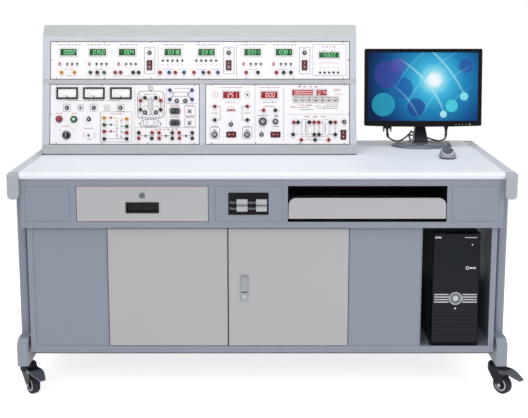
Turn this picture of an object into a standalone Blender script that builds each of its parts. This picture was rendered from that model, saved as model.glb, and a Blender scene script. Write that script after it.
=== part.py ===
"""Electrical training workstation: a wheeled bench with an instrument console and a computer set.

Metres, +Z up. The bench stands on the floor at Z = 0, its front faces -Y, and the origin lies
under the middle of everything that stands on the floor or reaches past the bench.
"""

import math

import bmesh
import bpy
from mathutils import Matrix, Vector

# Fits and cutting
GAP = 0.0003
OVERRUN = 0.004
BITE = 0.0008
MERGE = 0.00001
RUN_GAP = 0.0003

# Side rails, the beams that cap both ends of the bench
HALF_WIDTH = 0.900
HALF_DEPTH = 0.375
RAIL_WIDTH = 0.040
RAIL_HEIGHT = 0.094
RAIL_TOP_RADIUS = 0.006
RAIL_FOOT_RADIUS = 0.014
RAIL_CAP_LENGTH = 0.024
RAIL_CAP_LIP = 0.0006
RAIL_CAP_EDGE = 0.0015
RAIL_CAP_ROUND = 0.011
LEG_X = HALF_WIDTH - RAIL_WIDTH / 2

# Worktop
WORKTOP_TOP = 0.846
WORKTOP_THICKNESS = 0.026
WORKTOP_SETBACK = 0.009
WORKTOP_REAR_SETBACK = 0.004
WORKTOP_HALF = HALF_WIDTH - RAIL_WIDTH - GAP
NOTCH_WIDTH = 0.080
NOTCH_DEPTH = 0.026

# Leg frames
COLUMN_WIDTH = 0.032
COLUMN_DEPTH = 0.060
COLUMN_RADIUS = 0.007
COLUMN_SETBACK = 0.100
FOOT_INSET = 0.0065
FOOT_X = LEG_X - FOOT_INSET
FOOT_WIDTH = 0.037
FOOT_LENGTH = 0.710
FOOT_BOTTOM = 0.124
FOOT_TOP = 0.224
FOOT_CHAMFER_LENGTH = 0.022
FOOT_CHAMFER_DROP = 0.017
FOOT_EDGE = 0.003
FOOT_CAP_LENGTH = 0.064
FOOT_CAP_LIP = 0.0008
CASTOR_STEM_RADIUS = 0.0175
CASTOR_STEM_LENGTH = 0.011

# Sheet-steel carcasses
SHEET = 0.0015
FOLD = 0.0045
APRON_HALF = WORKTOP_HALF
APRON_SETBACK = 0.020
APRON_BOTTOM = 0.644
CARCASS_BACK = 0.330
APRON_TOP = WORKTOP_TOP - WORKTOP_THICKNESS - GAP
APRON_FRONT = -HALF_DEPTH + APRON_SETBACK
BAY_LOW_MARGIN = 0.022
BAY_TOP_MARGIN = 0.0227
BAY_LOW = APRON_BOTTOM + BAY_LOW_MARGIN
BAY_HIGH = APRON_TOP - BAY_TOP_MARGIN
FIELD_RAISE = 0.0012
FIELD_EDGE = 0.0010
FIELD_SHY = 0.002
FIELD_LOW = BAY_LOW + FIELD_SHY
FIELD_HIGH = BAY_HIGH - FIELD_SHY
WIRE_HOLE_RADIUS = 0.020
WIRE_HOLE_REAR = 0.060

# Drawer
DRAWER_END_MARGIN = 0.1997
DRAWER_LEFT = -APRON_HALF + DRAWER_END_MARGIN
DRAWER_RIGHT = -0.193
DRAWER_CLEARANCE = 0.002
DRAWER_DEPTH = 0.420
DRAWER_FRONT_THICKNESS = 0.015
DRAWER_TUB_LOW_MARGIN = 0.014
DRAWER_TUB_TOP_MARGIN = 0.027
DRAWER_TUB_LOW = BAY_LOW + DRAWER_TUB_LOW_MARGIN
DRAWER_TUB_HIGH = BAY_HIGH - DRAWER_TUB_TOP_MARGIN
SLIDE_THICKNESS = 0.006
SLIDE_HEIGHT = 0.035
SLIDE_REAR = 0.040
PULL_WIDTH = 0.119
PULL_HEIGHT = 0.040
PULL_RISE = 0.052
PULL_Z = BAY_LOW + PULL_RISE
PULL_LIP = 0.003
PULL_FLANGE = 0.0016
PULL_DEPTH = 0.013
PULL_WALL = 0.0015
DRAWER_LOCK_DROP = 0.0345
DRAWER_LOCK_Z = BAY_HIGH - DRAWER_LOCK_DROP
DRAWER_LOCK_RADIUS = 0.0105
DRAWER_LOCK_BARREL = 0.0085
DRAWER_LOCK_RIM = 0.0025
DRAWER_LOCK_LENGTH = 0.018
DRAWER_CAM_LENGTH = 0.020
DRAWER_CAM_WIDTH = 0.009
DRAWER_CAM_THICKNESS = 0.002

# Keyboard tray
TRAY_BAY_LEFT = 0.091
TRAY_END_MARGIN = 0.2027
TRAY_BAY_RIGHT = APRON_HALF - TRAY_END_MARGIN
TRAY_SIDE_CLEARANCE = 0.003
TRAY_LOW_MARGIN = 0.012
TRAY_TOP_MARGIN = 0.044
TRAY_LOW = BAY_LOW + TRAY_LOW_MARGIN
TRAY_HIGH = BAY_HIGH - TRAY_TOP_MARGIN
TRAY_CORNER = 0.026
TRAY_FRONT_THICKNESS = 0.004
TRAY_SHELF_HEIGHT = 0.020
TRAY_DEPTH = 0.300

# Raised fields of the apron, each with its margins to what lies beside it
FIELD_END_MARGIN = 0.0177
FIELD_MARGIN = 0.025
RIGHT_FIELD_MARGIN = 0.018
TRAY_FIELD_MARGIN = 0.017
LEFT_FIELD = (-APRON_HALF + FIELD_END_MARGIN, DRAWER_LEFT - FIELD_MARGIN)
SWITCH_FIELD = (DRAWER_RIGHT + FIELD_MARGIN, TRAY_BAY_LEFT - TRAY_FIELD_MARGIN)
RIGHT_FIELD = (TRAY_BAY_RIGHT + RIGHT_FIELD_MARGIN, APRON_HALF - TRAY_FIELD_MARGIN)

# Supply switches
SUPPLY_X = -0.049
SUPPLY_Z = 0.733
SUPPLY_WIDTH = 0.143
SUPPLY_HEIGHT = 0.080
SUPPLY_THICKNESS = 0.002
SUPPLY_ROCKER_WIDTH = 0.038
SUPPLY_ROCKER_HEIGHT = 0.044
SUPPLY_ROCKER_DROP = 0.005
SUPPLY_ROCKER_Z = SUPPLY_Z - SUPPLY_ROCKER_DROP
SUPPLY_ROCKER_LEFT_OFFSET = 0.0225
SUPPLY_ROCKER_RIGHT_OFFSET = 0.0465
SUPPLY_ROCKER_XS = (SUPPLY_X - SUPPLY_ROCKER_LEFT_OFFSET, SUPPLY_X + SUPPLY_ROCKER_RIGHT_OFFSET)
SUPPLY_ROCKER_DEPTH = 0.012

# Rocker switches, all of them
ROCKER_TILT = math.radians(6)
ROCKER_CREST = 0.0035
ROCKER_WINDOW_GAP = 0.0008
ROCKER_RISE = 0.0030

# Lower cabinet
CABINET_GAP = 0.0195
CABINET_HALF = LEG_X - COLUMN_WIDTH / 2 - CABINET_GAP
CABINET_SETBACK = 0.035
CABINET_BOTTOM = 0.169
CABINET_TOP = APRON_BOTTOM - GAP
CABINET_FRONT = -HALF_DEPTH + CABINET_SETBACK
STILE_WIDTH = 0.020
SILL_TOP = 0.197
FLOOR_TOP = 0.190
HEADER_BOTTOM = 0.6405
PANEL_RECESS = 0.003
COMPUTER_BAY_WIDTH = 0.2485
LEFT_BLANK_WIDTH = 0.2865
RIGHT_BLANK_WIDTH = 0.263
COMPUTER_BAY_LEFT = CABINET_HALF - STILE_WIDTH - COMPUTER_BAY_WIDTH
CUPBOARD_LEFT = -CABINET_HALF + LEFT_BLANK_WIDTH
CUPBOARD_RIGHT = COMPUTER_BAY_LEFT - RIGHT_BLANK_WIDTH
DOOR_SPLIT_OFFSET = 0.001
DOOR_SPLIT = (CUPBOARD_LEFT + CUPBOARD_RIGHT) / 2 - DOOR_SPLIT_OFFSET
DOOR_CLEARANCE = 0.002
DOOR_THICKNESS = 0.016
DOOR_EDGE_INSET = 0.003
PIVOT_RADIUS = 0.002
PIVOT_LENGTH = 0.005
SPACER_RADIUS = 0.012
SPACER_ZS = (0.300, 0.560)
REAR_WINDOW_MARGIN = 0.040
REAR_WINDOW_LOW = 0.260
REAR_WINDOW_HIGH = 0.600

# Flush door lock
LOCK_MARGIN = 0.059
LOCK_X = DOOR_SPLIT + LOCK_MARGIN
LOCK_Z = 0.417
LOCK_WIDTH = 0.031
LOCK_HEIGHT = 0.098
LOCK_LIP = 0.002
LOCK_FLANGE = 0.0022
LOCK_DEPTH = 0.014
LOCK_WALL = 0.0015
LEVER_LENGTH = 0.062
LEVER_THICKNESS = 0.006
LEVER_PIN_RADIUS = 0.0015
LEVER_GAP = 0.0005
LOCK_BUTTON_RADIUS = 0.0075
LOCK_BUTTON_TRAVEL = 0.003

# Castors, one heading for all four
CASTOR_SETBACK = 0.098
CASTOR_HEADING = math.radians(-50)
CASTOR_TOP = FOOT_BOTTOM - CASTOR_STEM_LENGTH - GAP
CROWN_RADIUS = 0.031
CROWN_ROUND = 0.010
CASTOR_TRAIL = 0.031
WHEEL_RADIUS = 0.035
WHEEL_WIDTH = 0.030
WHEEL_SIDES = 16
HUB_RADIUS = 0.012
DISH_RADIUS_SHARE = 0.72
DISH_DEPTH_SHARE = 0.72
TYRE_EDGE_SHARE = 0.94
SHOULDER_RADIUS_SHARE = 0.93
SHOULDER_WIDTH_SHARE = 0.90
TREAD_WIDTH_SHARE = 0.55
AXLE_RADIUS = 0.004
AXLE_HEAD_RADIUS = 0.007
AXLE_HEAD_LENGTH = 0.002
FORK_WIDTH = 0.043
FORK_CAVITY_WIDTH = WHEEL_WIDTH + 0.0025
FORK_CAVITY_RADIUS = 0.0390
FORK_BOSS_RADIUS = 0.013
FORK_COVER_HEIGHT = 0.018
FORK_BACK_SHARE = 0.70
FORK_WAIST_SHARE = 0.75
PEDAL_PIVOT_X = 0.036
PEDAL_PIVOT_Z = 0.088
PEDAL_PIN_RADIUS = 0.004
PEDAL_PIN_LENGTH = 0.003
PEDAL_ARM_THICKNESS = 0.0028
PEDAL_ARM_RADIUS = 0.008
PEDAL_REACH = 0.117
PEDAL_TIP_Z = 0.074
PEDAL_PLATE_THICKNESS = 0.004
PEDAL_PLATE_START = 0.057
PEDAL_TIP_WIDTH = 0.020
PEDAL_WIDTH = FORK_WIDTH + 2 * (PEDAL_ARM_THICKNESS + GAP)

# Console
CONSOLE_LEFT = -0.861
CONSOLE_RIGHT = 0.368
CONSOLE_FOOT = 0.003
CONSOLE_FOOT_RADIUS = 0.011
CONSOLE_FRONT = 0.005
CONSOLE_LEAN = math.radians(10.46)
CONSOLE_FACE = 0.465
CONSOLE_CROWN_HEIGHT = 0.0435
CONSOLE_TOP_DROP = 0.014
CONSOLE_CROWN_DEPTH = 0.037
CONSOLE_REAR = 0.366
CONSOLE_FRONT_WALL = 0.006
PANEL_THICKNESS = 0.003
PANEL_SUNK = 0.0005
PANEL_LEDGE = 0.008
UPPER_PANEL = (-0.830, 0.297, 1.171, 0.148)
LEFT_PANEL = (-0.831, 0.042, 0.584, 0.235)
RIGHT_PANEL = (-0.222, 0.042, 0.563, 0.235)

# Fittings on the instrument panels
TERMINAL_RADIUS = 0.0070
TERMINAL_HEIGHT = 0.010
FUSE_RADIUS = 0.0085
FUSE_HEIGHT = 0.009
PEG_RADIUS = 0.0032
PEG_HEIGHT = 0.004
DISPLAY_RAISE = 0.002
DISPLAY_RIM = 0.003
METER_RAISE = 0.007
METER_GLASS = 0.002
METER_RIM = 0.006
LEVER_SWITCH_RADIUS = 0.0045
LEVER_SWITCH_HEIGHT = 0.014
SOCKET_WIDTH = 0.046
SOCKET_HEIGHT = 0.030
SOCKET_RAISE = 0.003
BUTTON_RADIUS = 0.0115
BUTTON_RING_RADIUS = 0.015
BUTTON_RING_HEIGHT = 0.004
BUTTON_OUT = 0.009
BUTTON_IN = 0.006
BUTTON_TOP_SHARE = 0.86
SWITCH_WIDTH = 0.0155
SWITCH_HEIGHT = 0.0320
SWITCH_DEPTH = 0.009
SWITCH_FRAME_RIM = 0.0025
SWITCH_FRAME_RAISE = 0.0015
KNOB_SHAFT_RADIUS = 0.003
KNOB_HEIGHT = 0.014
KNOB_POINTER = 0.002
KNOB_SIDE_SHARES = ((0.94, 0.85), (0.82, 1.0))
KNOB_POINTER_SHARE = 0.80
LEVEL_KNOB_RADIUS = 0.010
RANGE_KNOB_RADIUS = 0.013
FINE_KNOB_RADIUS = 0.009
KEY_RADIUS = 0.014
KEY_HEIGHT = 0.010
KEY_GRIP_WIDTH = 0.005
KEY_GRIP_HEIGHT = 0.008
KEY_GRIP_SHARE = 0.80

# Monitor
MONITOR_X = 0.657
MONITOR_Y = 0.215
MONITOR_RISE = 0.242
MONITOR_Z = WORKTOP_TOP + MONITOR_RISE
MONITOR_WIDTH = 0.480
MONITOR_HEIGHT = 0.319
MONITOR_TILT = math.radians(5)
BEZEL_DEPTH = 0.018
BEZEL_CORNER = 0.006
BEZEL_BOW = 0.004
BEZEL_SIDE = 0.0155
BEZEL_TOP = 0.0150
BEZEL_BOTTOM = 0.0245
SCREEN_THICKNESS = 0.009
SCREEN_SUNK = 0.002
SHELL_DEPTH = 0.037
SHELL_WALL = 0.0025
SHELL_INSET = 0.005
SHELL_BACK_WIDTH = 0.340
SHELL_BACK_HEIGHT = 0.200
PIVOT_Y = 0.300
PIVOT_RISE = 0.184
PIVOT_Z = WORKTOP_TOP + PIVOT_RISE
BARREL_RADIUS = 0.011
BARREL_HALF = 0.021
TILT_PIN_RADIUS = 0.004
EAR_THICKNESS = 0.008
EAR_RADIUS = 0.012
NECK_FOOT_WIDTH = 0.058
NECK_FRONT_Y = 0.222
NECK_REAR_Y = 0.282
NECK_WAIST_RISE = 0.076
NECK_WAIST_Z = WORKTOP_TOP + NECK_WAIST_RISE
NECK_WAIST_FRONT_Y = 0.262
NECK_WAIST_REAR_Y = 0.296
NECK_HEAD_WIDTH = 0.041
NECK_HEAD_DEPTH = 0.020
NECK_EDGE = 0.0035
BASE_Y = 0.227
BASE_WIDTH = 0.251
BASE_DEPTH = 0.176
BASE_HEIGHT = 0.016
BASE_PROFILE_SHARES = ((0, 1), (0.30, 1), (0.42, 0.80), (0.49, 0.375), (0.50, 0.1875), (0.49, 0), (0, 0))

# Monitor plugs
SIGNAL_PLUG_X = 0.5150
SIGNAL_PLUG_WIDTH = 0.035
SIGNAL_PLUG_DEPTH = 0.013
PLUG_SCREW_RADIUS = 0.0030
PLUG_SCREW_LENGTH = 0.012
PLUG_EDGE = 0.0015
PLUG_Y = 0.011
PLUG_LENGTH = 0.030
RELIEF_LENGTH = 0.020
RELIEF_FOOT_SHARE = 0.46
RELIEF_TIP_SHARE = 1.2
POWER_PLUG_X = 0.7578
POWER_PLUG_WIDTH = 0.015
LEAD_RADIUS = 0.0034
MOUSE_LEAD_RADIUS = 0.0019

# Tower
TOWER_WIDTH = 0.174
TOWER_SIDE_MARGIN = 0.0335
TOWER_LEFT = CABINET_HALF - STILE_WIDTH - TOWER_SIDE_MARGIN - TOWER_WIDTH
TOWER_RECESS = 0.018
TOWER_FRONT = CABINET_FRONT + TOWER_RECESS
TOWER_FRONT_DEPTH = 0.036
TOWER_DEPTH = 0.424
TOWER_FOOT = 0.004
TOWER_FOOT_RADIUS = 0.010
TOWER_HEIGHT = 0.419
TOWER_SHEET = 0.0012
TOWER_FRONT_WALL = 0.0025
TOWER_CORNER = 0.009
TOWER_LOUVRES = 7
LOUVRE_PITCH = 0.014
LOUVRE_DEPTH = 0.0012
LOUVRE_HEIGHT = 0.003
LOUVRE_LOW = 0.040
STRIPE_COUNT = 4
STRIPE_PITCH = 0.0095
STRIPE_HEIGHT = 0.005
STRIPE_RAISE = 0.0012
BADGE_Z = 0.1785
BADGE_RADIUS = 0.0240
BADGE_RAISE = 0.003
POWER_BUTTON_RADIUS = 0.0110
POWER_BUTTON_OUT = 0.004
POWER_BUTTON_TRAVEL = 0.002

# Mouse
MOUSE_X = 0.717
MOUSE_Y = -0.042
MOUSE_TURN = math.radians(-10)
MOUSE_WIDTH = 0.062
MOUSE_LENGTH = 0.112
MOUSE_HEIGHT = 0.034
MOUSE_WHEEL_RADIUS = 0.011
MOUSE_WHEEL_WIDTH = 0.006
MOUSE_WHEEL_Y = 0.030
MOUSE_WHEEL_Z = 0.0195
MOUSE_SLOT_GAP = 0.001
MOUSE_LEAD_Z = 0.0095
MOUSE_LENGTH_SHARE = 1.05
MOUSE_TAIL_WIDTH_SHARE = 1.09
MOUSE_NOSE_WIDTH_SHARE = 0.98
MOUSE_CROWN_SHARE = 1.10
MOUSE_NOSE_CROWN_SHARE = 0.82

# A front castor's pedal reaches further out on the right than a castor's cover does on the left,
# so the bench is set off its origin by half of that, with the origin under the middle of the whole.
PEDAL_SPREAD = PEDAL_REACH * math.cos(CASTOR_HEADING) - PEDAL_TIP_WIDTH / 2 * math.sin(CASTOR_HEADING)
BENCH_X = -(FOOT_X + PEDAL_SPREAD - max(FOOT_X + CROWN_RADIUS, HALF_WIDTH)) / 2

# Where each panel's fittings are, as shares of that panel's width and height
UPPER_TERMINAL_ROW_SHARE = 0.176
UPPER_TERMINAL_SHARES = (
    0.038, 0.081, 0.134, 0.157, 0.180, 0.217, 0.235, 0.277, 0.295, 0.367, 0.397, 0.418, 0.447,
    0.480, 0.511, 0.530, 0.560, 0.655, 0.694, 0.756, 0.780, 0.804,
)
UPPER_PEG_ROW_SHARE = 0.405
UPPER_PEG_SHARES = (
    0.031, 0.056, 0.072, 0.089, 0.130, 0.154, 0.171, 0.187, 0.228, 0.253, 0.269, 0.285,
    0.646, 0.670, 0.687, 0.704, 0.746, 0.771, 0.787, 0.804,
)
UPPER_HIGH_PEG_ROW_SHARE = 0.493
UPPER_HIGH_PEG_SHARES = (0.376, 0.392, 0.408, 0.424, 0.441, 0.488, 0.504, 0.520, 0.537, 0.554)
UPPER_LOW_PEG_SHARES = (0.902, 0.917, 0.932, 0.947, 0.962)
UPPER_DISPLAY_ROW_SHARE = 0.716
UPPER_DISPLAY_SHARES = (0.060, 0.158, 0.256, 0.409, 0.522, 0.676, 0.781)
UPPER_FUSE_ROW_SHARE = 0.703
UPPER_SWITCH_ROW_SHARE = 0.372
UPPER_SWITCH_SHARES = (0.331, 0.596, 0.850)
DISPLAY_WIDTH = 0.064
DISPLAY_HEIGHT = 0.026
COUNTER_SHARE = (0.932, 0.642)
COUNTER_WIDTH = 0.079
COUNTER_HEIGHT = 0.021

LEFT_METER_SHARES = ((0.115, 0.851), (0.294, 0.851), (0.475, 0.851))
METER_WIDTH = 0.084
METER_HEIGHT = 0.046
LEFT_TERMINAL_SHARES = (
    (0.365, 0.438), (0.365, 0.323), (0.365, 0.213), (0.365, 0.089),
    (0.516, 0.421), (0.516, 0.298), (0.516, 0.191), (0.516, 0.089),
    (0.637, 0.774), (0.709, 0.774), (0.607, 0.728), (0.742, 0.728), (0.607, 0.574), (0.742, 0.574),
    (0.803, 0.902), (0.952, 0.902), (0.803, 0.745), (0.952, 0.745),
    (0.596, 0.191), (0.685, 0.191), (0.596, 0.098), (0.685, 0.098),
    (0.731, 0.191), (0.820, 0.191), (0.731, 0.098), (0.820, 0.098),
    (0.867, 0.191), (0.954, 0.191), (0.867, 0.098), (0.954, 0.098),
)
LEFT_FUSE_SHARES = (
    (0.113, 0.609), (0.293, 0.609), (0.473, 0.609), (0.260, 0.418),
    (0.637, 0.533), (0.709, 0.533), (0.849, 0.723), (0.906, 0.723),
)
LEFT_PEG_SHARES = (
    (0.409, 0.443), (0.409, 0.328), (0.409, 0.217), (0.640, 0.140), (0.777, 0.140), (0.911, 0.140),
)
LEFT_SOCKET_SHARES = ((0.837, 0.553), (0.837, 0.357))
LEFT_LEVER_SHARES = ((0.259, 0.153), (0.935, 0.553), (0.935, 0.357))
STOP_SHARE = (0.062, 0.421)
START_SHARE = (0.161, 0.417)
KEY_SHARE = (0.111, 0.153)

RIGHT_DISPLAY_SHARES = ((0.178, 0.823), (0.442, 0.823))
RIGHT_WIDE_DISPLAY_SHARE = (0.675, 0.860)
RIGHT_WIDE_DISPLAY_WIDTH = 0.082
RIGHT_SHORT_DISPLAY_SHARE = (0.806, 0.860)
RIGHT_SHORT_DISPLAY_WIDTH = 0.040
RIGHT_SMALL_DISPLAY_HEIGHT = 0.022
RIGHT_TERMINAL_SHARES = (
    (0.064, 0.630), (0.290, 0.630), (0.064, 0.404), (0.290, 0.404), (0.403, 0.566), (0.485, 0.566),
    (0.608, 0.366), (0.642, 0.366), (0.721, 0.366), (0.754, 0.366), (0.787, 0.366),
    (0.867, 0.366), (0.901, 0.366), (0.608, 0.162), (0.754, 0.162), (0.787, 0.162), (0.901, 0.162),
    (0.664, 0.072), (0.760, 0.072), (0.854, 0.072),
)
RIGHT_FUSE_SHARES = ((0.176, 0.332), (0.389, 0.162), (0.963, 0.374))
RIGHT_PEG_SHARES = ((0.160, 0.570), (0.178, 0.570), (0.196, 0.570))
RIGHT_FLAT_SWITCH_SHARES = ((0.178, 0.162), (0.485, 0.162))
RIGHT_TALL_SWITCH_SHARE = (0.957, 0.157)
KNOB_PLACE_SHARES = (
    ("level_knob_left", (0.062, 0.162), LEVEL_KNOB_RADIUS),
    ("level_knob_right", (0.288, 0.162), LEVEL_KNOB_RADIUS),
    ("range_knob", (0.397, 0.379), RANGE_KNOB_RADIUS),
    ("fine_knob", (0.485, 0.379), FINE_KNOB_RADIUS),
)

# Free leads, each from its plug behind the neck, down through the worktop's notch and in at the
# cabinet's rear window to the back of the tower. The points are chosen by hand, from the bench.
SIGNAL_LEAD_ROUTE = (
    (0.5150, 0.2268, 0.8950), (0.5152, 0.2258, 0.8870), (0.5270, 0.2255, 0.8770), (0.5430, 0.2260, 0.8690),
    (0.5600, 0.2270, 0.8662), (0.5800, 0.2300, 0.8729), (0.6010, 0.2370, 0.8880), (0.6150, 0.2480, 0.8995),
    (0.6200, 0.2720, 0.9015), (0.6260, 0.2990, 0.8960), (0.6420, 0.3140, 0.8830), (0.6520, 0.3260, 0.8660),
    (0.6550, 0.3370, 0.8550), (0.6560, 0.3460, 0.8522), (0.6560, 0.3545, 0.8470), (0.6560, 0.3585, 0.8370),
    (0.6560, 0.3590, 0.8200), (0.6570, 0.3585, 0.7700), (0.6620, 0.3570, 0.7000), (0.6680, 0.3555, 0.6200),
    (0.6760, 0.3520, 0.5500), (0.6840, 0.3380, 0.4900), (0.6880, 0.3000, 0.4550), (0.6880, 0.2500, 0.4450),
    (0.6860, 0.1900, 0.4550), (0.6850, 0.1300, 0.4660), (0.6850, 0.1023, 0.4680),
)
POWER_LEAD_ROUTE = (
    (0.7578, 0.2268, 0.8950), (0.7576, 0.2258, 0.8880), (0.7530, 0.2256, 0.8760), (0.7410, 0.2260, 0.8690),
    (0.7250, 0.2280, 0.8672), (0.7060, 0.2500, 0.8690), (0.6930, 0.2870, 0.8700), (0.6700, 0.3010, 0.8740),
    (0.6450, 0.3010, 0.8795), (0.6280, 0.2990, 0.8805), (0.6190, 0.3070, 0.8760), (0.6220, 0.3200, 0.8640),
    (0.6310, 0.3350, 0.8540), (0.6365, 0.3460, 0.8522), (0.6380, 0.3545, 0.8470), (0.6380, 0.3585, 0.8370),
    (0.6380, 0.3590, 0.8200), (0.6390, 0.3580, 0.7700), (0.6440, 0.3550, 0.7000), (0.6510, 0.3500, 0.6300),
    (0.6620, 0.3420, 0.5800), (0.6780, 0.3220, 0.5450), (0.6950, 0.2850, 0.5280), (0.7080, 0.2350, 0.5350),
    (0.7160, 0.1750, 0.5530), (0.7200, 0.1300, 0.5600), (0.7200, 0.1023, 0.5600),
)
MOUSE_LEAD_ROUTE = (
    (0.7270, 0.0148, 0.8560), (0.7292, 0.0300, 0.8545), (0.7370, 0.0600, 0.8498), (0.7510, 0.1100, 0.8484),
    (0.7620, 0.1500, 0.8492), (0.7650, 0.1740, 0.8545), (0.7660, 0.2000, 0.8605), (0.7660, 0.2270, 0.8625),
    (0.7650, 0.2550, 0.8600), (0.7600, 0.2800, 0.8535), (0.7500, 0.3050, 0.8488), (0.7300, 0.3300, 0.8484),
    (0.7050, 0.3430, 0.8484), (0.6880, 0.3460, 0.8492), (0.6795, 0.3520, 0.8480), (0.6762, 0.3575, 0.8390),
    (0.6760, 0.3590, 0.8200), (0.6770, 0.3585, 0.7600), (0.6820, 0.3570, 0.6600), (0.6920, 0.3550, 0.5600),
    (0.7060, 0.3480, 0.4800), (0.7180, 0.3250, 0.4150), (0.7250, 0.2750, 0.3850), (0.7265, 0.2100, 0.3750),
    (0.7260, 0.1400, 0.3740), (0.7260, 0.1023, 0.3740),
)
LEAD_STEP = 0.019
THIN_LEAD_STEP = 0.0135
LEAD_STUB = 0.004

PARTS = "training_workstation"
TOOLS = "cutters"


# Scene and materials

def clear_scene():
    for old in list(bpy.data.objects):
        bpy.data.objects.remove(old, do_unlink=True)
    for name in (PARTS, TOOLS):
        group = bpy.data.collections.new(name)
        bpy.context.scene.collection.children.link(group)


def finish(name, colour, roughness, metallic=0.0):
    """A plain surface: sRGB-like colour, roughness and metallic value."""
    material = bpy.data.materials.new(name)
    material.use_nodes = True
    shader = material.node_tree.nodes["Principled BSDF"]
    shader.inputs["Base Color"].default_value = (*colour, 1.0)
    shader.inputs["Roughness"].default_value = roughness
    shader.inputs["Metallic"].default_value = metallic
    material.diffuse_color = (*colour, 1.0)
    return material


def make_finishes():
    return {
        "frame": finish("satin_aluminium_frame", (0.50, 0.53, 0.58), 0.45, 0.3),
        "steel": finish("blue_grey_powder_coat", (0.36, 0.40, 0.48), 0.50),
        "front": finish("warm_grey_powder_coat", (0.56, 0.55, 0.56), 0.50),
        "top": finish("white_laminate", (0.80, 0.83, 0.88), 0.35),
        "console": finish("brushed_grey_steel", (0.55, 0.57, 0.60), 0.40, 0.5),
        "panel": finish("white_panel", (0.86, 0.86, 0.86), 0.40),
        "black": finish("black_plastic", (0.02, 0.02, 0.025), 0.45),
        "grey": finish("grey_plastic", (0.30, 0.31, 0.33), 0.50),
        "light": finish("light_grey_plastic", (0.62, 0.63, 0.66), 0.45),
        "red": finish("red_plastic", (0.55, 0.03, 0.05), 0.35),
        "green": finish("green_plastic", (0.02, 0.35, 0.18), 0.35),
        "chrome": finish("chromed_zinc", (0.60, 0.60, 0.62), 0.20, 1.0),
        "tread": finish("black_rubber_tread", (0.03, 0.03, 0.035), 0.70),
        "glass": finish("dark_screen", (0.02, 0.08, 0.16), 0.15),
    }


# Mesh building

def box(low, high):
    """An upright box between two corners."""
    size = Vector(high) - Vector(low)
    centre = (Vector(high) + Vector(low)) / 2
    work = bmesh.new()
    made = bmesh.ops.create_cube(work, size=1.0)
    bmesh.ops.scale(work, vec=size, verts=made["verts"])
    bmesh.ops.translate(work, vec=centre, verts=made["verts"])
    return from_work(work)


def from_work(work):
    mesh = bpy.data.meshes.new("shape")
    work.to_mesh(mesh)
    work.free()
    return mesh


def merged(meshes):
    """Several separate shapes in one mesh."""
    work = bmesh.new()
    for mesh in meshes:
        work.from_mesh(mesh)
    return from_work(work)


def boxes(corners):
    return merged([box(low, high) for low, high in corners])


def moved(mesh, matrix):
    mesh.transform(matrix)
    return mesh


def at(x, y, z):
    return Matrix.Translation((x, y, z))


ALONG = {
    "X": Matrix(((0, 0, 1, 0), (1, 0, 0, 0), (0, 1, 0, 0), (0, 0, 0, 1))),
    "Y": Matrix(((1, 0, 0, 0), (0, 0, -1, 0), (0, 1, 0, 0), (0, 0, 0, 1))),
    "Z": Matrix.Identity(4),
}


def rod(radius, start, end, along, centre=(0, 0), sides=16, tip_radius=None):
    """A round bar or cone along an axis, from start to end on it.

    The centre is the other two coordinates, in X, Y, Z order.
    """
    work = bmesh.new()
    tip = radius if tip_radius is None else tip_radius
    bmesh.ops.create_cone(
        work, cap_ends=True, segments=sides, radius1=radius, radius2=tip, depth=abs(end - start)
    )
    if end < start:
        bmesh.ops.rotate(work, verts=work.verts, matrix=Matrix.Rotation(math.pi, 3, "X"))
    mesh = from_work(work)
    middle = (start + end) / 2
    if along == "X":
        mesh.transform(Matrix.Rotation(math.pi / 2, 4, "Y"))
        return moved(mesh, at(middle, centre[0], centre[1]))
    if along == "Y":
        mesh.transform(Matrix.Rotation(-math.pi / 2, 4, "X"))
        return moved(mesh, at(centre[0], middle, centre[1]))
    return moved(mesh, at(centre[0], centre[1], middle))


def baked(obj):
    """The evaluated shape of an object, welded, with the object removed."""
    bpy.context.view_layer.update()
    graph = bpy.context.evaluated_depsgraph_get()
    mesh = bpy.data.meshes.new_from_object(obj.evaluated_get(graph))
    mesh.transform(obj.matrix_world)
    bpy.data.objects.remove(obj, do_unlink=True)
    work = bmesh.new()
    work.from_mesh(mesh)
    bmesh.ops.remove_doubles(work, verts=work.verts, dist=MERGE)
    work.to_mesh(mesh)
    work.free()
    return mesh


def outline(points, thickness, along):
    """A flat outline given thickness along an axis, centred on it."""
    curve = bpy.data.curves.new("outline", "CURVE")
    curve.dimensions = "2D"
    curve.fill_mode = "BOTH"
    curve.extrude = thickness / 2
    spline = curve.splines.new("POLY")
    spline.points.add(len(points) - 1)
    for knot, (across, up) in zip(spline.points, points):
        knot.co = (across, up, 0, 1)
    spline.use_cyclic_u = True
    guide = bpy.data.objects.new("outline", curve)
    bpy.context.scene.collection.objects.link(guide)
    return moved(baked(guide), ALONG[along])


def arc(centre, radius, start, end, steps):
    """Points of an arc, angles in degrees."""
    points = []
    for step in range(steps + 1):
        angle = math.radians(start + (end - start) * step / steps)
        points.append((centre[0] + radius * math.cos(angle), centre[1] + radius * math.sin(angle)))
    return points


def rounded(low, high, radii, steps=3):
    """A rectangle with four corner radii: low left, low right, high right, high left."""
    (x0, y0), (x1, y1) = low, high
    a, b, c, d = radii
    points = arc((x0 + a, y0 + a), a, 180, 270, steps)
    points += arc((x1 - b, y0 + b), b, 270, 360, steps)
    points += arc((x1 - c, y1 - c), c, 0, 90, steps)
    points += arc((x0 + d, y1 - d), d, 90, 180, steps)
    return points


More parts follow.
